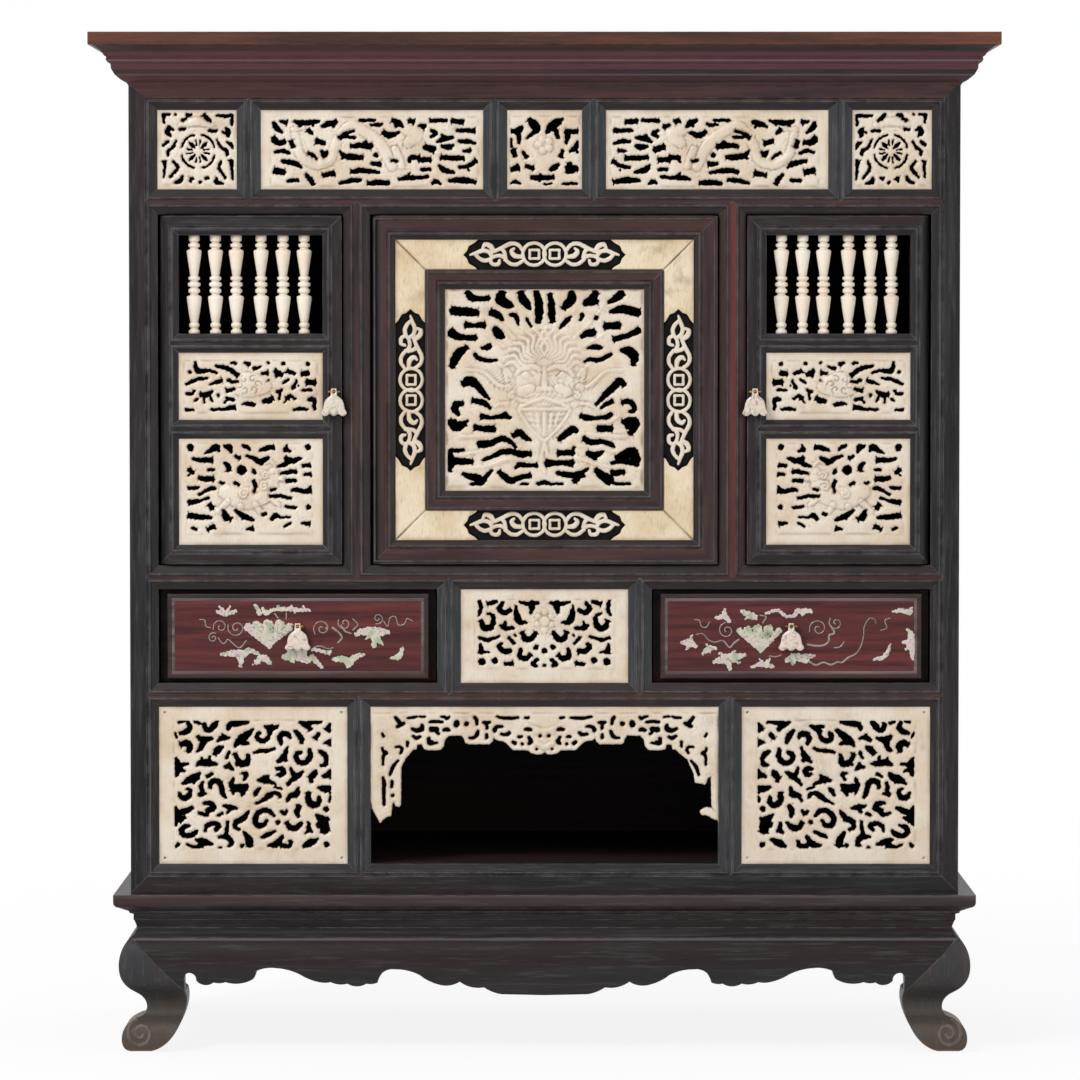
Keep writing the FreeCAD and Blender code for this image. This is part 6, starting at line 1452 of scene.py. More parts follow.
@dataclass
class Valance:
    """The openwork valance under the drawers, its right bracket broken short.

    Its outline is mirrored from whole_from on, and so are the cuts that start above paired_above.
    """

    middle: Place = (0.0, 172.0)
    size: tuple[float, float] = (209.4, 72.0)
    y_front: float = -93.05
    thickness: float = 4.0
    saw: float = 0.8
    ridge: float = 0.9
    border: Border = (0.0, 0.0, -1.0, 4.0)
    whole_from: float = -80.0
    paired_above: float = -4.0
    broken_end: tuple[Place, ...] = ((82, 7), (86, 4), (90, -5), (90.6, -10), (97, -11), (98.6, -7),
                                     (100.2, -6.5), (100.6, -24), (104.7, -34))
    hook: tuple[float, ...] = (95.6, -27.6, 1.9, 99, -27.4, 2.6, 103, -30, 2.4)
    festoons: tuple[Stroke, ...] = ((-10, 24, 2, 0, 20, 2.6, 10, 24, 2),
                                    (-5, 14, 1.6, 0, 11.6, 1.8, 5, 14, 1.6))

    def outline(self) -> Array:
        """The lower edge from left to right: the left half, its mirror image, then the broken end.

        Returns:
            Rows of x and z.
        """
        whole = [place for place in reversed(VALANCE_OUTLINE) if place[0] > self.whole_from]
        return np.array([*VALANCE_OUTLINE, *((-x, z) for x, z in whole[1:]), *self.broken_end], float)

    def build(self, bone: Material) -> None:
        """Bone lies above an outline, by signed distance; saw cuts and a stub of the broken end follow.

        Args:
            bone: its material.
        """
        plan = Drawing(*self.size)
        line = self.outline()
        far = np.full(plan.x.shape, np.inf)
        for a, run in zip(line[:-1], np.diff(line, axis=0)):
            x, z = plan.x - a[0], plan.z - a[1]
            t = np.clip((x * run[0] + z * run[1]) / max(run @ run, TINY), 0.0, 1.0)
            far = np.minimum(far, np.hypot(x - t * run[0], z - t * run[1]))
        plan.bone = np.where(plan.z > np.interp(plan.x, *line.T), far, -far)
        plan.lay([self.hook])
        plan.pierce(VALANCE_HOLES, wider=self.saw)
        plan.pierce([cut * MIRROR for cut in as_rows(VALANCE_HOLES) if cut[0, 1] > self.paired_above],
                    wider=self.saw)
        plan.waver(amount=0.2, seed=4.0)
        plan.chase(self.border)
        plan.carve(self.festoons, self.ridge)
        piece = cut_plate("niche_valance_carving", plan, self.middle, self.y_front, self.thickness)
        dress(piece, bone, "case", "bone", "niche_valance")


@dataclass
class SideDoor:
    """The bone of one side door: turned spindles and two carved panels.

    flower and beast hold the z of a panel's middle and its height. profile holds shares of a spindle's height
    and of its radius, and uneven how far each spindle stands out of place.
    """

    body: str
    side: int
    middle_x: float = 176.4
    y_front: float = -92.65
    panel_w: float = 86.4
    flower: tuple[float, float] = (400.8, 40.2)
    beast: tuple[float, float] = (337.45, 63.7)
    spindle_z: float = 432.3
    spindle_h: float = 59.1
    spindle_r: float = 4.6
    spindle_y: float = -87.75
    pitch: float = 13.3
    count: int = 6
    corners: int = 22
    waist_darkening: float = 0.3
    uneven: tuple[float, ...] = (-0.8, -1.3, -2.1, -0.5, -0.6, -1.2)
    profile: tuple[tuple[float, float], ...] = (
        (0, .72), (.03, .72), (.045, .5), (.06, .5), (.075, .66), (.1, .66), (.115, .48), (.13, .54),
        (.2, .7), (.3, .88), (.365, .98), (.38, .9), (.393, .55), (.41, .54), (.42, .74), (.45, .74),
        (.46, .54), (.475, .54), (.485, .8), (.515, .8), (.525, .54), (.54, .54), (.55, .74), (.575, .74),
        (.585, .5), (.6, .54), (.68, .7), (.77, .88), (.83, .98), (.847, .9), (.86, .56), (.875, .55),
        (.885, .74), (.91, .74), (.92, .5), (.935, .5), (.945, .7), (1, .72))
    flower_middle: Place = (-1.0, 1.0)
    veins: int = 6
    vein_off: Place = (5.2, 3.6)
    vein_r: float = 2.7
    vein_turns: float = 0.8
    vein_half: float = 0.5

    def spindles(self, bone: Material) -> None:
        """Turns the spindles: a rounded profile carried round each upright axis, with flat ends.

        Args:
            bone: their material.
        """
        line = smooth_path(np.array(self.profile), steps=3)
        turn = np.linspace(0, 2 * np.pi, self.corners, endpoint=False)
        radius = np.concatenate([[0.0], np.minimum(line[:, 1], 1.0), [0.0]]) * self.spindle_r
        high = np.concatenate([[0.0], np.clip(line[:, 0], 0, 1), [1.0]]) * self.spindle_h + self.spindle_z
        ring = np.stack([radius[:, None] * np.cos(turn), radius[:, None] * np.sin(turn) + self.spindle_y,
                         np.repeat(high[:, None], self.corners, 1)], -1)
        ids = np.arange(ring[..., 0].size).reshape(-1, self.corners)
        after = np.roll(ids, -1, 1)
        quads = np.stack([ids[1:-2], after[1:-2], after[2:-1], ids[2:-1]], -1).reshape(-1, 4)
        foot, head = (np.full(self.corners, end) for end in (ids[0, 0], ids[-1, 0]))
        ends = [np.stack([foot, after[1], ids[1]], -1), np.stack([head, ids[-2], after[-2]], -1)]
        used, groups = renumber([quads, np.concatenate(ends)])
        places = self.side * self.middle_x + (np.arange(self.count) - (self.count - 1) / 2) * self.pitch
        points = [ring.reshape(-1, 3)[used] + [x, 0.0, 0.0] for x in places + np.array(self.uneven)]
        faces = [np.concatenate([f + i * len(used) for i in range(self.count)]) for f in groups]
        piece = put_mesh(f"{self.body}_turned_spindles", np.concatenate(points), faces)
        # Darker where the spindle is thinner
        waist = np.clip(0.9 - np.repeat(radius, self.corners)[used] / self.spindle_r, 0, 1) * self.waist_darkening
        set_hollow(piece, np.tile(waist, self.count))
        dress(piece, bone, self.body, "bone", f"{self.body}_spindles")

    def panel(self, word: str, place: tuple[float, float], **carving: Any) -> CarvedPanel:
        """One panel of the door.

        Args:
            word: what is carved on it.
            place: z of its middle, and its height.
            carving: its holes, border and relief.
        Returns:
            The panel, turned round on the right door.
        """
        return CarvedPanel(f"{self.body}_{word}_carving", (self.side * self.middle_x, place[0]),
                           (self.panel_w, place[1]), self.y_front, flipped=self.side > 0, **carving)

    def build(self, bone: Material, turned: Material) -> None:
        """Makes the spindles and panels; the flower's veins curl round its middle.

        Args:
            bone: the panels' material.
            turned: the spindles' material.
        """
        self.spindles(turned)
        (x, z), (wide, high) = self.flower_middle, self.vein_off
        veins = [spiral(x + wide * math.cos(a), z + high * math.sin(a), self.vein_r, self.vein_turns,
                        PER_RADIAN * a, self.vein_half)
                 for a in np.arange(self.veins) * 2 * math.pi / self.veins]
        for panel in (
                self.panel("flower", self.flower, holes=DOOR_FLOWER_HOLES, border=(3.4, 3.4, 4.2, 5),
                           grooves=veins, forms=FLOWER_FORMS, seed=0.6),
                self.panel("beast", self.beast, holes=DOOR_BEAST_HOLES, border=(4.6, 6.4, 6.6, 3),
                           ridges=BEAST_RIDGES, forms=BEAST_FORMS, seed=2.9)):
            panel.build(bone, self.body, f"{self.body}_panels")


@dataclass
class CentreDoor:
    """The centre door's bone: the mask panel and four frets laid in the band's black grounds.

    bar_share scales the fret's strokes. ogee holds distances across a ground and its half length there.
    """

    y_panel: float = -91.25
    panel_middle: Place = (0.0, 398.5)
    panel_size: tuple[float, float] = (119.6, 121.0)
    y_fret: float = -92.45
    fret_t: float = 2.4
    fret_size: tuple[float, float] = (96.0, 17.6)
    fret_off_x: float = 80.4
    fret_off_z: float = 81.1
    ring_x: float = -6.3
    ring_z: float = 0.4
    ring_r: float = 6.7
    ring_half: float = 1.05
    ring_points: int = 19
    bar_share: tuple[float, float, float] = (0.96, 0.86, 1.0)
    band_size: tuple[float, float] = (178.8, 180.2)
    band_w: float = 18.0
    y_band: float = -93.65
    band_t: float = 3.6
    mitre_half: float = 0.45
    mitre_deep: float = 0.9
    band_edge: Edge = (0.7, 0.4)
    fret_edge: Edge = (0.9, 0.6)
    ground_edge: Edge = (0.3, 0.05)
    ground_t: float = 0.25
    ground_size: tuple[float, float] = (97.0, 19.0)
    ground_in: float = 0.1
    ogee: tuple[tuple[float, float], ...] = ((0.0, 48.6), (2.4, 46.4), (5.2, 45.4), (7.4, 41.6), (10.0, 39.0))

    def fret(self) -> Drawing:
        """Draws one fret lying along x: rings, then strokes mirrored about its middle.

        Returns:
            The drawing, on an empty ground.
        """
        plan = Drawing(*self.fret_size, step=0.4, solid=False)
        turn = np.linspace(0, 2 * np.pi, self.ring_points)
        ring = np.stack([self.ring_x + self.ring_r * np.cos(turn), self.ring_z + self.ring_r * np.sin(turn),
                         np.full(self.ring_points, self.ring_half)], -1)
        plan.lay([ring, *(bar * self.bar_share for bar in as_rows(FRET_BARS))], True)
        plan.waver(amount=0.1, seed=1.0)
        return plan

    def ground(self, along: Array, across: Array) -> Array:
        """Height field of a cartouche about nought: its half length falls across it by the ogee.

        Args:
            along: distance along it.
            across: distance across it.
        Returns:
            The field, above zero inside.
        """
        shares, reach = np.array(self.ogee).T
        beside = np.abs(across)
        return np.minimum(np.interp(beside, shares, reach) - np.abs(along), shares[-1] - beside)

    def band(self, aged: Material) -> None:
        """The bone band: a square ring with four cartouches cut through it and fine lines at its mitres.

        Args:
            aged: the band's material.
        """
        plan = Drawing(*self.band_size, step=0.6)
        x, z = self.band_size[0] / 2, self.band_size[1] / 2
        hole = np.minimum(x - self.band_w - np.abs(plan.x), z - self.band_w - np.abs(plan.z))
        openings = np.maximum(self.ground(plan.x, np.abs(plan.z) - self.fret_off_z),
                              self.ground(plan.z, np.abs(plan.x) - self.fret_off_x))
        plan.bone = np.minimum(plan.bone, -np.maximum(hole, openings))
        mitres = [(-x, side * z, self.mitre_half, self.band_w - x, side * (z - self.band_w), self.mitre_half)
                  for side in (-1, 1)]
        plan.carve(mitres, -self.mitre_deep, True)
        piece = cut_plate("centre_door_mitred_band", plan, self.panel_middle, self.y_band, self.band_t,
                          *self.band_edge)
        dress(piece, aged, "centre_door", "bone", "centre_door_band")

    def inset(self, word: str, place: Place, upright: bool, bone: Material, black: Material) -> None:
        """Makes a fret and its ground; upright ones are the same drawings turned.

        Args:
            word: the side that it lies on.
            place: x and z of its middle.
            upright: turn it.
            bone: the fret's material.
            black: the ground's material.
        """
        plan, field = self.fret(), Drawing(*self.ground_size, step=1.0)
        field.bone = self.ground(field.x, field.z) - self.ground_in
        if upright:
            plan.turn()
            field.turn()
        piece = cut_plate(f"centre_door_fret_{word}", plan, place, self.y_fret, self.fret_t, *self.fret_edge)
        dress(piece, bone, "centre_door", "bone", "centre_door_frets")
        y_ground = self.y_band + self.band_t - self.ground_t
        piece = cut_plate(f"centre_door_ground_{word}", field, place, y_ground, self.ground_t,
                          *self.ground_edge)
        dress(piece, black, "centre_door", "ebonised_wood")

    def build(self, bone: Material, aged: Material, black: Material) -> None:
        """Makes the band, the panel, the frets and their grounds.

        Args:
            bone: of the panel and frets.
            aged: of the band.
            black: of the grounds.
        """
        self.band(aged)
        CarvedPanel("centre_door_mask_carving", self.panel_middle, self.panel_size, self.y_panel,
                    holes=CENTRE_PANEL_HOLES, border=(1.6, 1.6, 2.4, 0.6), forms=MASK_FORMS,
                    ridges=as_rows(MASK_RIDGES, mirror=True), grooves=as_rows(MASK_GROOVES, mirror=True),
                    ridge=0.5, groove=0.35, seed=0.3, saw=0.5, step=0.55,
                    ).build(bone, "centre_door", "centre_door_panel")
        x, z = self.panel_middle
        self.inset("top", (x, z + self.fret_off_z), False, bone, black)
        self.inset("bottom", (x, z - self.fret_off_z), False, bone, black)
        self.inset("left", (x - self.fret_off_x, z), True, bone, black)
        self.inset("right", (x + self.fret_off_x, z), True, bone, black)


@dataclass
class DropPull:
    """A bell-shaped mother-of-pearl pull that hangs from its staple.

    bell holds shares of the drop, from the pivot down, and the half width there in tabs.
    """

    body: str
    pivot: Place
    y_front: float
    half_width: float = 7.8
    tab: float = 1.9
    up: float = 2.0
    drop: float = 14.6
    thickness: float = 3.2
    hole_r: float = 1.1
    scallop: float = 0.1
    edge: Edge = (2.6, 1.2)
    bell: tuple[tuple[float, float], ...] = (
        (-0.2, 0.8), (0.1, 1.0), (0.17, 1.1), (0.24, 1.9), (0.34, 2.7), (0.5, 3.15), (0.7, 3.4), (0.84, 4.0),
        (1.0, 4.1))

    def build(self, pearl: Material) -> None:
        """Cuts the bell: its half width grows from tab to rim, and three round scallops end it.

        Args:
            pearl: its material.
        """
        plan = Drawing(2 * self.half_width, self.up + self.drop, step=0.25, solid=False)
        pivot_z = (self.drop - self.up) / 2
        z = plan.z - pivot_z
        shares, halves = np.array(self.bell).T
        half = np.interp(-z / self.drop, shares, halves * self.tab)
        wave = np.abs(np.cos(1.5 * np.pi * plan.x / self.half_width))
        lobes = self.drop * (self.scallop - 1.0 - self.scallop * wave)
        plan.bone = np.minimum.reduce([half - np.abs(plan.x), z - lobes, self.up - z])
        plan.pierce([(0.0, pivot_z, self.hole_r)])
        middle = (self.pivot[0], self.pivot[1] - pivot_z)
        piece = cut_plate(f"{self.body}_bell", plan, middle, self.y_front, self.thickness, *self.edge)
        dress(piece, pearl, self.body, "mother_of_pearl", self.body.replace("_drop", "_pull"))


@dataclass(frozen=True)
class FaceFinishes:
    """The materials of a drawer's face."""

    board: Material
    shadow_edging: Material
    bead: Material
    shell: Material
    wire: Material


@dataclass(frozen=True)
class Layer:
    """One sheet of a drawer's face: its drawing, finish and slot, and the solid that it stands for."""

    word: str
    plan: Drawing
    finish: Material
    slot: str
    solid: str
    proud: float
    thickness: float
    edge: Edge = (0.4, 0.2)


@dataclass
class DrawerFace:
    """One drawer's face: a rosewood board in a worn bead, inlaid with leaves and tendrils of shell."""

    body: str
    middle: Place
    leaves: Sequence[Stroke]
    tendrils: Sequence[Stroke]
    size: tuple[float, float] = (156.7, 50.8)
    y_front: float = -93.45
    thickness: float = 6.2
    bead_in: float = 3.4
    bead_half: float = 1.1
    proud: float = 0.3
    shell_proud: float = 0.35
    rim: float = 0.1
    inlay_in: float = 4.0
    wire_share: tuple[float, float, float] = (1.0, 1.0, 0.75)

    def plan(self, step: float) -> tuple[Drawing, Array]:
        """A drawing of the whole face, and the distance from the face's edge at each of its places."""
        made = Drawing(*self.size, step=step)
        return made, np.minimum(self.size[0] / 2 - np.abs(made.x), self.size[1] / 2 - np.abs(made.z))

    def inlay(self, strokes: Iterable[Stroke], tremor: float) -> Drawing:
        """A drawing of inlay.

        Args:
            strokes: its leaves or lines.
            tremor: how far the edges waver.
        Returns:
            The drawing, on an empty ground.
        """
        made = Drawing(*(side - 2 * self.inlay_in for side in self.size), step=0.35, solid=False)
        made.lay(strokes)
        made.waver(tremor, len(self.leaves))
        return made

    def build(self, finishes: FaceFinishes) -> None:
        """Makes the board with a rounded edge, its edging darkened as painted shadow of the gap round the
        drawer, the bead and the inlay.

        Args:
            finishes: its materials.
        """
        board, edge = self.plan(1.5)
        board.bone = edge + self.rim
        shadow_edging, edge = self.plan(0.6)
        shadow_edging.bone = np.minimum(edge + self.rim, self.bead_in - edge)
        bead, edge = self.plan(0.45)
        bead.bone = self.bead_half - np.abs(edge - self.bead_in)
        wire = self.inlay([line * self.wire_share for line in as_rows(self.tendrils)], tremor=0.0)
        shell = self.inlay(self.leaves, tremor=0.55)
        for layer in (
                Layer("board", board, finishes.board, "rosewood", "front", 0.0, self.thickness, (3.2, 1.2)),
                # The edging's dark colour is painted shadow round the drawer front
                Layer("shadow_edging", shadow_edging, finishes.shadow_edging, "ebonised_wood", "front", self.proud, 1.4,
                      (2.2, 0.9)),
                Layer("bead", bead, finishes.bead, "rosewood", "front", self.proud, 0.9, (0.7, 0.5)),
                Layer("wire_inlay", wire, finishes.wire, "mother_of_pearl", "inlay", self.proud, 0.5),
                Layer("shell_inlay", shell, finishes.shell, "mother_of_pearl", "inlay", self.shell_proud,
                      0.6)):
            piece = cut_plate(f"{self.body}_{layer.word}", layer.plan, self.middle,
                              self.y_front - layer.proud, layer.thickness, *layer.edge)
            dress(piece, layer.finish, self.body, layer.slot, f"{self.body}_{layer.solid}")


def rope(name: str, path: Array, radius: Array, sides: int = 10) -> Piece:
    """A round bar along a path that lies nearly square to y: rings about each point, with closed ends.

    Args:
        name: the piece's name.
        path: places in mm.
        radius: bar radius at each place.
        sides: corners of each ring.
    Returns:
        The bar.
    """
    run = np.gradient(path, axis=0)
    run /= np.linalg.norm(run, axis=1, keepdims=True)
    side = np.cross(run, [0.0, 1.0, 0.0])
    side /= np.linalg.norm(side, axis=1, keepdims=True)
    up = np.cross(side, run)
    turn = np.linspace(0.0, 2 * np.pi, sides, endpoint=False)[None, :, None]
    spokes = np.cos(turn) * side[:, None] + np.sin(turn) * up[:, None]
    rings = path[:, None] + radius[:, None, None] * spokes
    ids = np.arange(len(path) * sides).reshape(-1, sides)
    after = np.roll(ids, -1, 1)
    quads = np.stack([ids[:-1], ids[1:], after[1:], after[:-1]], -1).reshape(-1, 4)
    return put_mesh(name, rings.reshape(-1, 3), [quads, ids[:1], ids[-1:, ::-1]])


@dataclass
class Reeds:
    """Rounded reeds, pale partly from wear and partly as painted highlight, that run round every opening of
    the face frame and the doors.

    frame_rows hold the low and high z of a row of openings and their spans along x; centre and inner hold
    half the width and the low and high z of one opening.
    """

    half: float = 0.55
    rise: float = 0.4
    sunk: float = 0.3
    facets: int = 7
    frame_off: float = 5.1
    door_off: float = 3.6
    rim_off: float = 12.6
    edge_off: float = 10.2
    frame_y: float = -96.25
    door_y: float = -95.25
    inner_y: float = -94.25
    frame_rows: tuple[tuple[float, float, tuple[Span, ...]], ...] = (
        (518.8, 566.2, ((-232, -184.4), (-170, -36.8), (-22.4, 22.4), (36.8, 170), (184.4, 232))),
        (293.2, 503.8, ((-232, -120.8), (-104.7, 104.7), (120.8, 232))),
        (222.4, 278.8, ((-232, -64.5), (-50.3, 50.3), (64.5, 232))),
        (113.2, 208.0, ((-232, -118.7), (-104.7, 104.7), (118.7, 232))),
    )
    door_rows: tuple[Span, ...] = ((432.3, 491.4), (380.7, 420.9), (305.6, 369.3))
    door_x: Span = (133.2, 219.6)
    centre: tuple[float, float, float] = (89.4, 308.4, 488.6)
    inner: tuple[float, float, float] = (59.8, 338.0, 459.0)

    def loops(self, name: str, boxes: Array, off: float, y: float) -> Piece:
        """A half-round strip about each box: its section is carried round four mitred corners.

        Args:
            name: the piece's name.
            boxes: one row of low x, high x, low z and high z for each opening.
            off: from the opening's edge to the reed's middle.
            y: the plane that the reed rises from.
        Returns:
            All the loops as one piece.
        """
        bend = np.linspace(0.0, np.pi, self.facets)
        out = np.concatenate([off - self.half * np.cos(bend), [off + self.half, off - self.half]])
        deep = np.concatenate([y - self.rise * np.sin(bend), [y + self.sunk, y + self.sunk]])
        low_x, high_x, low_z, high_z = (boxes[:, i, None, None] for i in range(4))
        corner_x = np.concatenate([low_x - out, high_x + out, high_x + out, low_x - out], 1)
        corner_z = np.concatenate([low_z - out, low_z - out, high_z + out, high_z + out], 1)
        points = np.stack([corner_x, np.broadcast_to(deep, corner_x.shape), corner_z], -1)
        ids = np.arange(points[..., 0].size).reshape(len(boxes), 4, len(out))
        after = np.roll(ids, -1, 1)
        quads = np.stack([ids, after, np.roll(after, -1, 2), np.roll(ids, -1, 2)], -1).reshape(-1, 4)
        return put_mesh(name, points.reshape(-1, 3), [quads], smooth=False)

    def build(self, rubbed_and_highlight: Material) -> None:
        """Makes the reeds of the case and of each door.

        Args:
            rubbed_and_highlight: their material.
        """
        boxes = np.array([(*span, low, high) for low, high, row in self.frame_rows for span in row], float)
        dress(self.loops("case_reeds", boxes, self.frame_off, self.frame_y), rubbed_and_highlight, "case", "ebonised_wood")
        near, far = self.door_x
        for word, span in (("left", (-far, -near)), ("right", (near, far))):
            boxes = np.array([(*span, low, high) for low, high in self.door_rows], float)
            piece = self.loops(f"{word}_door_reeds", boxes, self.door_off, self.door_y)
            dress(piece, rubbed_and_highlight, f"{word}_door", "ebonised_wood")
        for word, (x, low, high), y, off in (("outer", self.centre, self.door_y, self.door_off),
                                             ("inner", self.inner, self.inner_y, self.door_off),
                                             ("rim", self.centre, self.door_y, self.rim_off),
                                             ("edge", self.inner, self.inner_y, self.edge_off)):
            piece = self.loops(f"centre_door_{word}_reeds", np.array([[-x, x, low, high]]), off, y)
            dress(piece, rubbed_and_highlight, "centre_door", "dark_red_wood")


@dataclass
class FootScrolls:
    """The volute carved on each front foot; front holds heights and how deep the foot's face lies there."""

    x: float = 243.0
    z: float = 11.2
    radius: float = 8.4
    bar: float = 1.5
    thinned: float = 0.75
    turns: float = 1.7
    start: float = 75.0
    sunk: float = 0.35
    knee_y: float = -103.25
    front: tuple[Place, ...] = ((0.0, 8.0), (2.6, 3.0), (9.0, 1.6), (15.8, 4.0), (19.4, 9.0), (21.0, 13.4))

    def build(self, wood: Material) -> None:
        """Winds a thinning bar inwards on the foot's rounded front, whose depth goes by height.

        Args:
            wood: their material.
        """
        stroke = spiral(self.x, self.z, self.radius, -self.turns, self.start, self.bar)
        line = smooth_path(*as_rows([stroke]))
        y = self.knee_y + np.interp(line[:, 1], *np.array(self.front).T) + self.sunk
        radius = line[:, 2] * np.linspace(1.0, self.thinned, len(line))
        for side, word in ((-1, "left"), (1, "right")):
            path = np.stack([side * line[:, 0], y, line[:, 1]], -1)
            piece = rope(f"foot_scroll_{word}", path[::-side], radius[::-side])
            dress(piece, wood, "case", "ebonised_wood")


@dataclass
class WoodWork:
    """The joined wood and the brass, kept as solids: each node gets its wood's finish and its grain's way."""

    ebony: tuple[str, str, str, str] = ("141415", "1e1d1f", "2b2a2c", "78777a")
    red: tuple[str, str, str, str] = ("241b1b", "332626", "432e2d", "6d5a55")
    groups: tuple[tuple[str, str], ...] = (
        ("ebonised_upright", "stile_left stile_right legs_back case_side_left case_side_right"),
        ("slate_upright", "muntins_frieze muntins_drawers muntins_niche"),
        ("ebonised_mitred", "left_door_frame right_door_frame"),
        ("ebonised_across", "stand_waist apron_back rail_bottom"),
        ("ebonised_deep", "apron_sides"),
        ("red_across", "rail_top rail_frieze rail_door rail_drawer"),
        ("red_upright", "muntins_doors"),
        ("red_mitred", "centre_door_frame centre_door_inner_frame"),
        ("ledge_wood", "stand_ledge"),
        ("cornice_wood", "cornice_moulding"),
        ("apron_wood", "apron_front"),
        ("foot_wood", "legs_front"),
        ("worn_top", "top_board"),
        ("case_pine", "case_bottom case_back case_top niche_shelf drawer_shelf cupboard_top dividers "
                      "left_drawer_box right_drawer_box"),
    )

    def plain(self) -> tuple[Wood, ...]:
        """Finishes of one colour throughout."""
        across = Grain.ACROSS
        return (
            Wood("ebonised_upright", *self.ebony, slope_light_share=0.3),
            Wood("slate_upright", "202123", "2d2f31", "3b3e40", "828486", slope_light_and_shade="343739", slope_light_share=0.5,
                 tint="2d2627"),
            Wood("ebonised_mitred", *self.ebony, slope_light_share=0.3, mitre=(176.4, 398.5, 43.2, 92.9)),
            Wood("ebonised_across", *self.ebony, grain=across),
            Wood("ebonised_deep", *self.ebony, grain=Grain.DEEP),
            Wood("red_across", *self.red, grain=across, slope_light_share=0.8, slope_light_and_shade="232122", tint="4f2b29"),
            Wood("red_upright", *self.red, slope_light_share=0.7, slope_light_and_shade="232122", tint="66312c", tint_share=0.8),
            Wood("red_mitred", *self.red, slope_light_share=0.8, slope_light_and_shade="232122", tint="4c2b29",
                 mitre=(0.0, 398.5, 59.8, 60.5)),
            Wood("worn_top", "4c2f26", "603a2d", "734634", "946048", grain=across, tint="2a201d",
                 tint_share=0.75),
            Wood("black_ground", "0b0a0a", "100e0e", "161313", "161313", tint="0e0c0c", shine=0.1),
            Wood("case_pine", "110f0e", "191615", "211c1a", "2a2421", grain=across, roughness=0.6, shine=0.1),
            Wood("rosewood", "3b1a1b", "532726", "65312e", "6f4a43", slope_light_and_shade="1e1718", slope_light_share=0.85,
                 tint="4a2424", grain=across, streak_mm=4.0, dust=0.05),
            Wood("worn_reed_and_highlight", "2c292a", "3d393a", "534e4f", "625c5c", tint="2a2526"),
            Wood("worn_foot", "544a44", "655a52", "776a60", "7c6f65", tint="463d38"),
            Wood("rubbed_bead", "463d3c", "61565a", "786c6b", "8b807c", grain=across, tint="3f3231"),
        )

    def moulded(self) -> tuple[Wood, ...]:
        """Finishes of mouldings, worn in bands of colour at heights in mm; the narrow pale bands are painted
        highlight, and the apron's low grey bands painted sheen.
        """
        return (
            # Cornice: the pale bands at 586.8 and 595.2 mm are painted highlight lines
            Wood("cornice_wood", *self.red, grain=Grain.ACROSS, tint="5c3533", bands=(
                (580.6, "1f1a1b"), (582.0, "3f2e30"), (586.0, "462d31"), (586.8, "6d5c61"), (587.6, "2c2224"),
                (589.6, "2c2224"), (590.4, "57323a"), (594.6, "5e3841"), (595.2, "806e74"), (595.9, "623840"),
                (599.8, "64393f"), (600.6, "2d2728"), (604.2, "332b2c"))),
            # Ledge: the pale band at 94.5 mm is a painted highlight line
            Wood("ledge_wood", *self.ebony, grain=Grain.ACROSS, tint="402a29", bands=(
                (87.7, "1c1a1b"), (89.5, "322a2b"), (93.8, "3b2f2f"), (94.5, "5a5052"), (95.5, "332e2f"))),
            # Apron: the grey bands at 40 and 50 mm are painted sheen, the pale ones from 67.7 mm a painted
            # highlight line
            Wood("apron_wood", *self.ebony, grain=Grain.ACROSS, tint="2c1a1a", bands=(
                (40.0, "2b2a2b"), (50.0, "252223"), (56.0, "1d1011"), (67.0, "211213"), (67.7, "6a6062"),
                (68.5, "6a6062"))),
            Wood("foot_wood", *self.ebony, tint="54483f", tint_share=0.3, bands=(
                (0.0, "6e5a4c"), (8.0, "5a5049"), (28.0, "524a45"), (36.0, "3a393b"), (68.5, "38383b"))),
        )

    def finishes(self) -> dict[str, Material]:
        """All wood finishes by name."""
        return {wood.name: wood.build() for wood in (*self.plain(), *self.moulded())}

    def build(self, finishes: dict[str, Material], brass: Material) -> None:
        """Puts a finish on every kept node.

        Args:
            finishes: all wood finishes by name.
            brass: the staples' material.
        """
        nodes = frame["nodes"]
        table = [(finishes[word], name) for word, names in self.groups for name in names.split()]
        table += [(brass, name) for name in nodes if name.endswith("_staple")]
        for finish, name in table:
            for slot in nodes[name].material_slots:
                slot.material = finish
            LOG.info("finish %s on %s", finish.name, name)


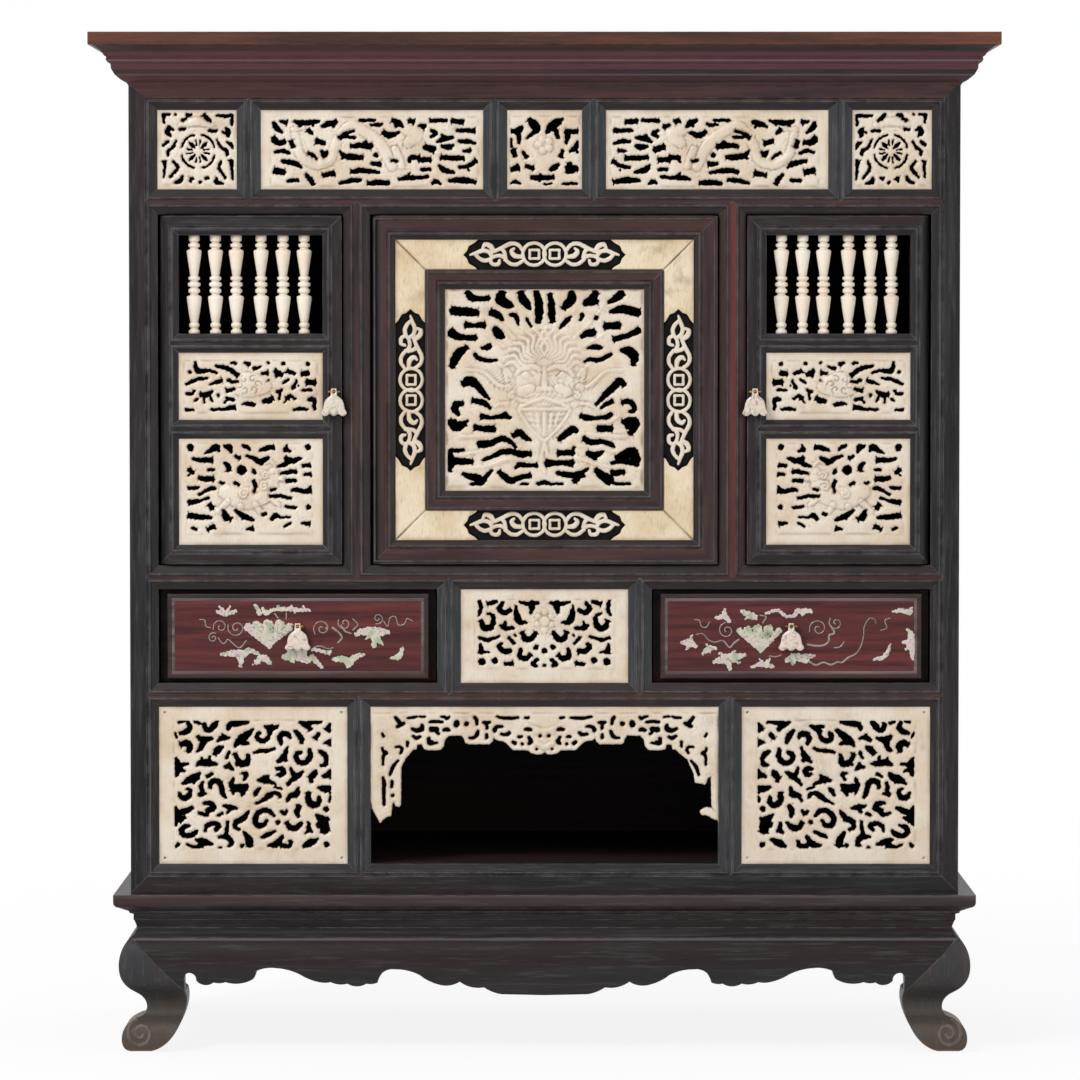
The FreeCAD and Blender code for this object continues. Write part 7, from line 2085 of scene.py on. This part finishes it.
@dataclass
class Studio:
    """Camera, soft lamps, a pale world and a white floor that keeps the shadow.

    Places are in m; each lamp has a name, a place, a size and a power.
    """

    camera_place: tuple[float, float, float] = (-0.0027, -3.296, 0.4438)
    camera_tilt: float = 87.58
    lens: float = 177.8
    sensor: float = 36.0
    far_end: float = 100.0
    floor_half: float = 8.0
    floor_down: float = 0.05
    soft_light: float = 0.3
    shadow_span: Span = (0.3, 1.1)
    whiteness: Span = (0.88, 1.0)
    lamp_target: tuple[float, float, float] = (0.0, 0.0, 0.3)
    lamps: tuple[tuple[str, tuple[float, float, float], float, float], ...] = (
        ("key_lamp", (-1.7, -2.0, 2.4), 1.2, 74.0),
        ("fill_lamp", (2.1, -2.1, 1.0), 1.8, 14.0),
        ("top_lamp", (0.0, 0.4, 2.6), 2.0, 30.0),
    )

    def seen(self, tree: Tree) -> Socket:
        """One where a ray comes from the camera, a mirror or a glass, nought elsewhere.

        Args:
            tree: the material's or world's nodes.
        Returns:
            The value.
        """
        path = node(tree, "ShaderNodeLightPath").outputs
        first = calc(tree, "MAXIMUM", path["Is Camera Ray"], path["Is Glossy Ray"])
        return calc(tree, "MAXIMUM", first, path["Is Transmission Ray"])

    def world(self) -> None:
        """Soft light all round, white to the eye."""
        world = bpy.data.worlds.new("studio_world")
        bpy.context.scene.world = world
        world.use_nodes = True
        tree = world.node_tree
        tree.nodes.clear()
        soft = node(tree, "ShaderNodeBackground", Color=linear("ffffff"), Strength=self.soft_light)
        white = node(tree, "ShaderNodeBackground", Color=linear("ffffff"), Strength=1.0)
        shown = node(tree, "ShaderNodeMixShader", i0=self.seen(tree), i1=soft.outputs[0], i2=white.outputs[0])
        node(tree, "ShaderNodeOutputWorld", i0=shown.outputs[0])

    def floor(self) -> None:
        """A flat sheet under the object: paper, mostly lit white for the eye so that a light shadow stays."""
        half = self.floor_half / MM
        corners = np.array([[-half, -half, 0], [half, -half, 0], [half, half, 0], [-half, half, 0]], float)
        piece = put_mesh("studio_floor", corners - [0, 0, self.floor_down], [np.array([[0, 1, 2, 3]])], False)
        material, tree = new_material("white_paper")
        paper = node(tree, "ShaderNodeBsdfDiffuse", Color=linear("f2f2f2"))
        white = node(tree, "ShaderNodeEmission", Color=linear("ffffff"), Strength=1.0)
        place = node(tree, "ShaderNodeTexCoord").outputs["Object"]
        away = vector(tree, "LENGTH", place, (0.0, 0.0, 0.0), "Value")
        share = calc(tree, "MULTIPLY", self.seen(tree), remap(tree, away, self.shadow_span, self.whiteness))
        shown = node(tree, "ShaderNodeMixShader", i0=share, i1=paper.outputs[0], i2=white.outputs[0])
        node(tree, "ShaderNodeOutputMaterial", i0=shown.outputs[0])
        piece.data.materials.append(material)

    def build(self) -> None:
        """Places the camera and the lamps; each lamp looks at the middle of the object."""
        scene = bpy.context.scene
        scene.view_settings.view_transform = "Standard"
        lens = bpy.data.cameras.new("photo_camera")
        lens.lens, lens.sensor_width, lens.clip_end = self.lens, self.sensor, self.far_end
        camera = bpy.data.objects.new("photo_camera", lens)
        camera.location = self.camera_place
        camera.rotation_euler = (math.radians(self.camera_tilt), 0.0, 0.0)
        scene.collection.objects.link(camera)
        scene.camera = camera
        for name, place, size, power in self.lamps:
            light = bpy.data.lights.new(name, "AREA")
            light.size, light.energy = size, power
            lamp = bpy.data.objects.new(name, light)
            lamp.location = place
            towards = Vector(self.lamp_target) - Vector(place)
            lamp.rotation_euler = towards.to_track_quat("-Z", "Y").to_euler()
            scene.collection.objects.link(lamp)
        self.world()
        self.floor()


# Pulls on each side: what carries them, x and z of their pivots and y of their fronts; then the drawers
PULLS = (("door", 126.2, 397.6, -100.45), ("drawer", 148.25, 256.6, -99.05))
DRAWER_X, DRAWER_Z = 148.25, 250.6


def main() -> None:
    """Builds and dresses the cabinet in order, then lights it."""
    logging.basicConfig(level=logging.INFO, format="%(message)s")
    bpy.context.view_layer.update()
    wood_work = WoodWork()
    woods = wood_work.finishes()
    bone = Bone().build()
    aged = Bone("aged_bone", "e2d2b6", "cdb48e", "7d5e3e", slant=0.8, pits=0.4, blots=0.75).build()
    turned = Bone("turned_bone", "f1e7d8", "ecd9c2", pits=0.08).build()
    pearl = MotherOfPearl().build()
    thin = MotherOfPearl("thin_shell", "93897f", "8f7d76", "7f8078", "6b625c").build()
    bell = MotherOfPearl("bell_shell", "ded5c8", "dfc3b6", "d0c8b6", "b5a89c", band_mm=7.0).build()
    wood_work.build(woods, Brass().build())
    FixedPanels().build(bone)
    Valance().build(bone)
    for side, word in ((-1, "left"), (1, "right")):
        SideDoor(f"{word}_door", side).build(bone, turned)
        for part, x, z, y in PULLS:
            DropPull(f"{word}_{part}_drop", (side * x, z), y).build(bell)
    CentreDoor().build(bone, aged, woods["black_ground"])
    FootScrolls().build(woods["worn_foot"])
    Reeds().build(woods["worn_reed_and_highlight"])
    face = FaceFinishes(woods["rosewood"], woods["red_across"], woods["rubbed_bead"], pearl, thin)
    DrawerFace("left_drawer", (-DRAWER_X, DRAWER_Z), LEFT_LEAVES, LEFT_TENDRILS).build(face)
    DrawerFace("right_drawer", (DRAWER_X, DRAWER_Z), RIGHT_LEAVES, RIGHT_TENDRILS).build(face)
    Studio().build()


if __name__ == "__main__":
    main()
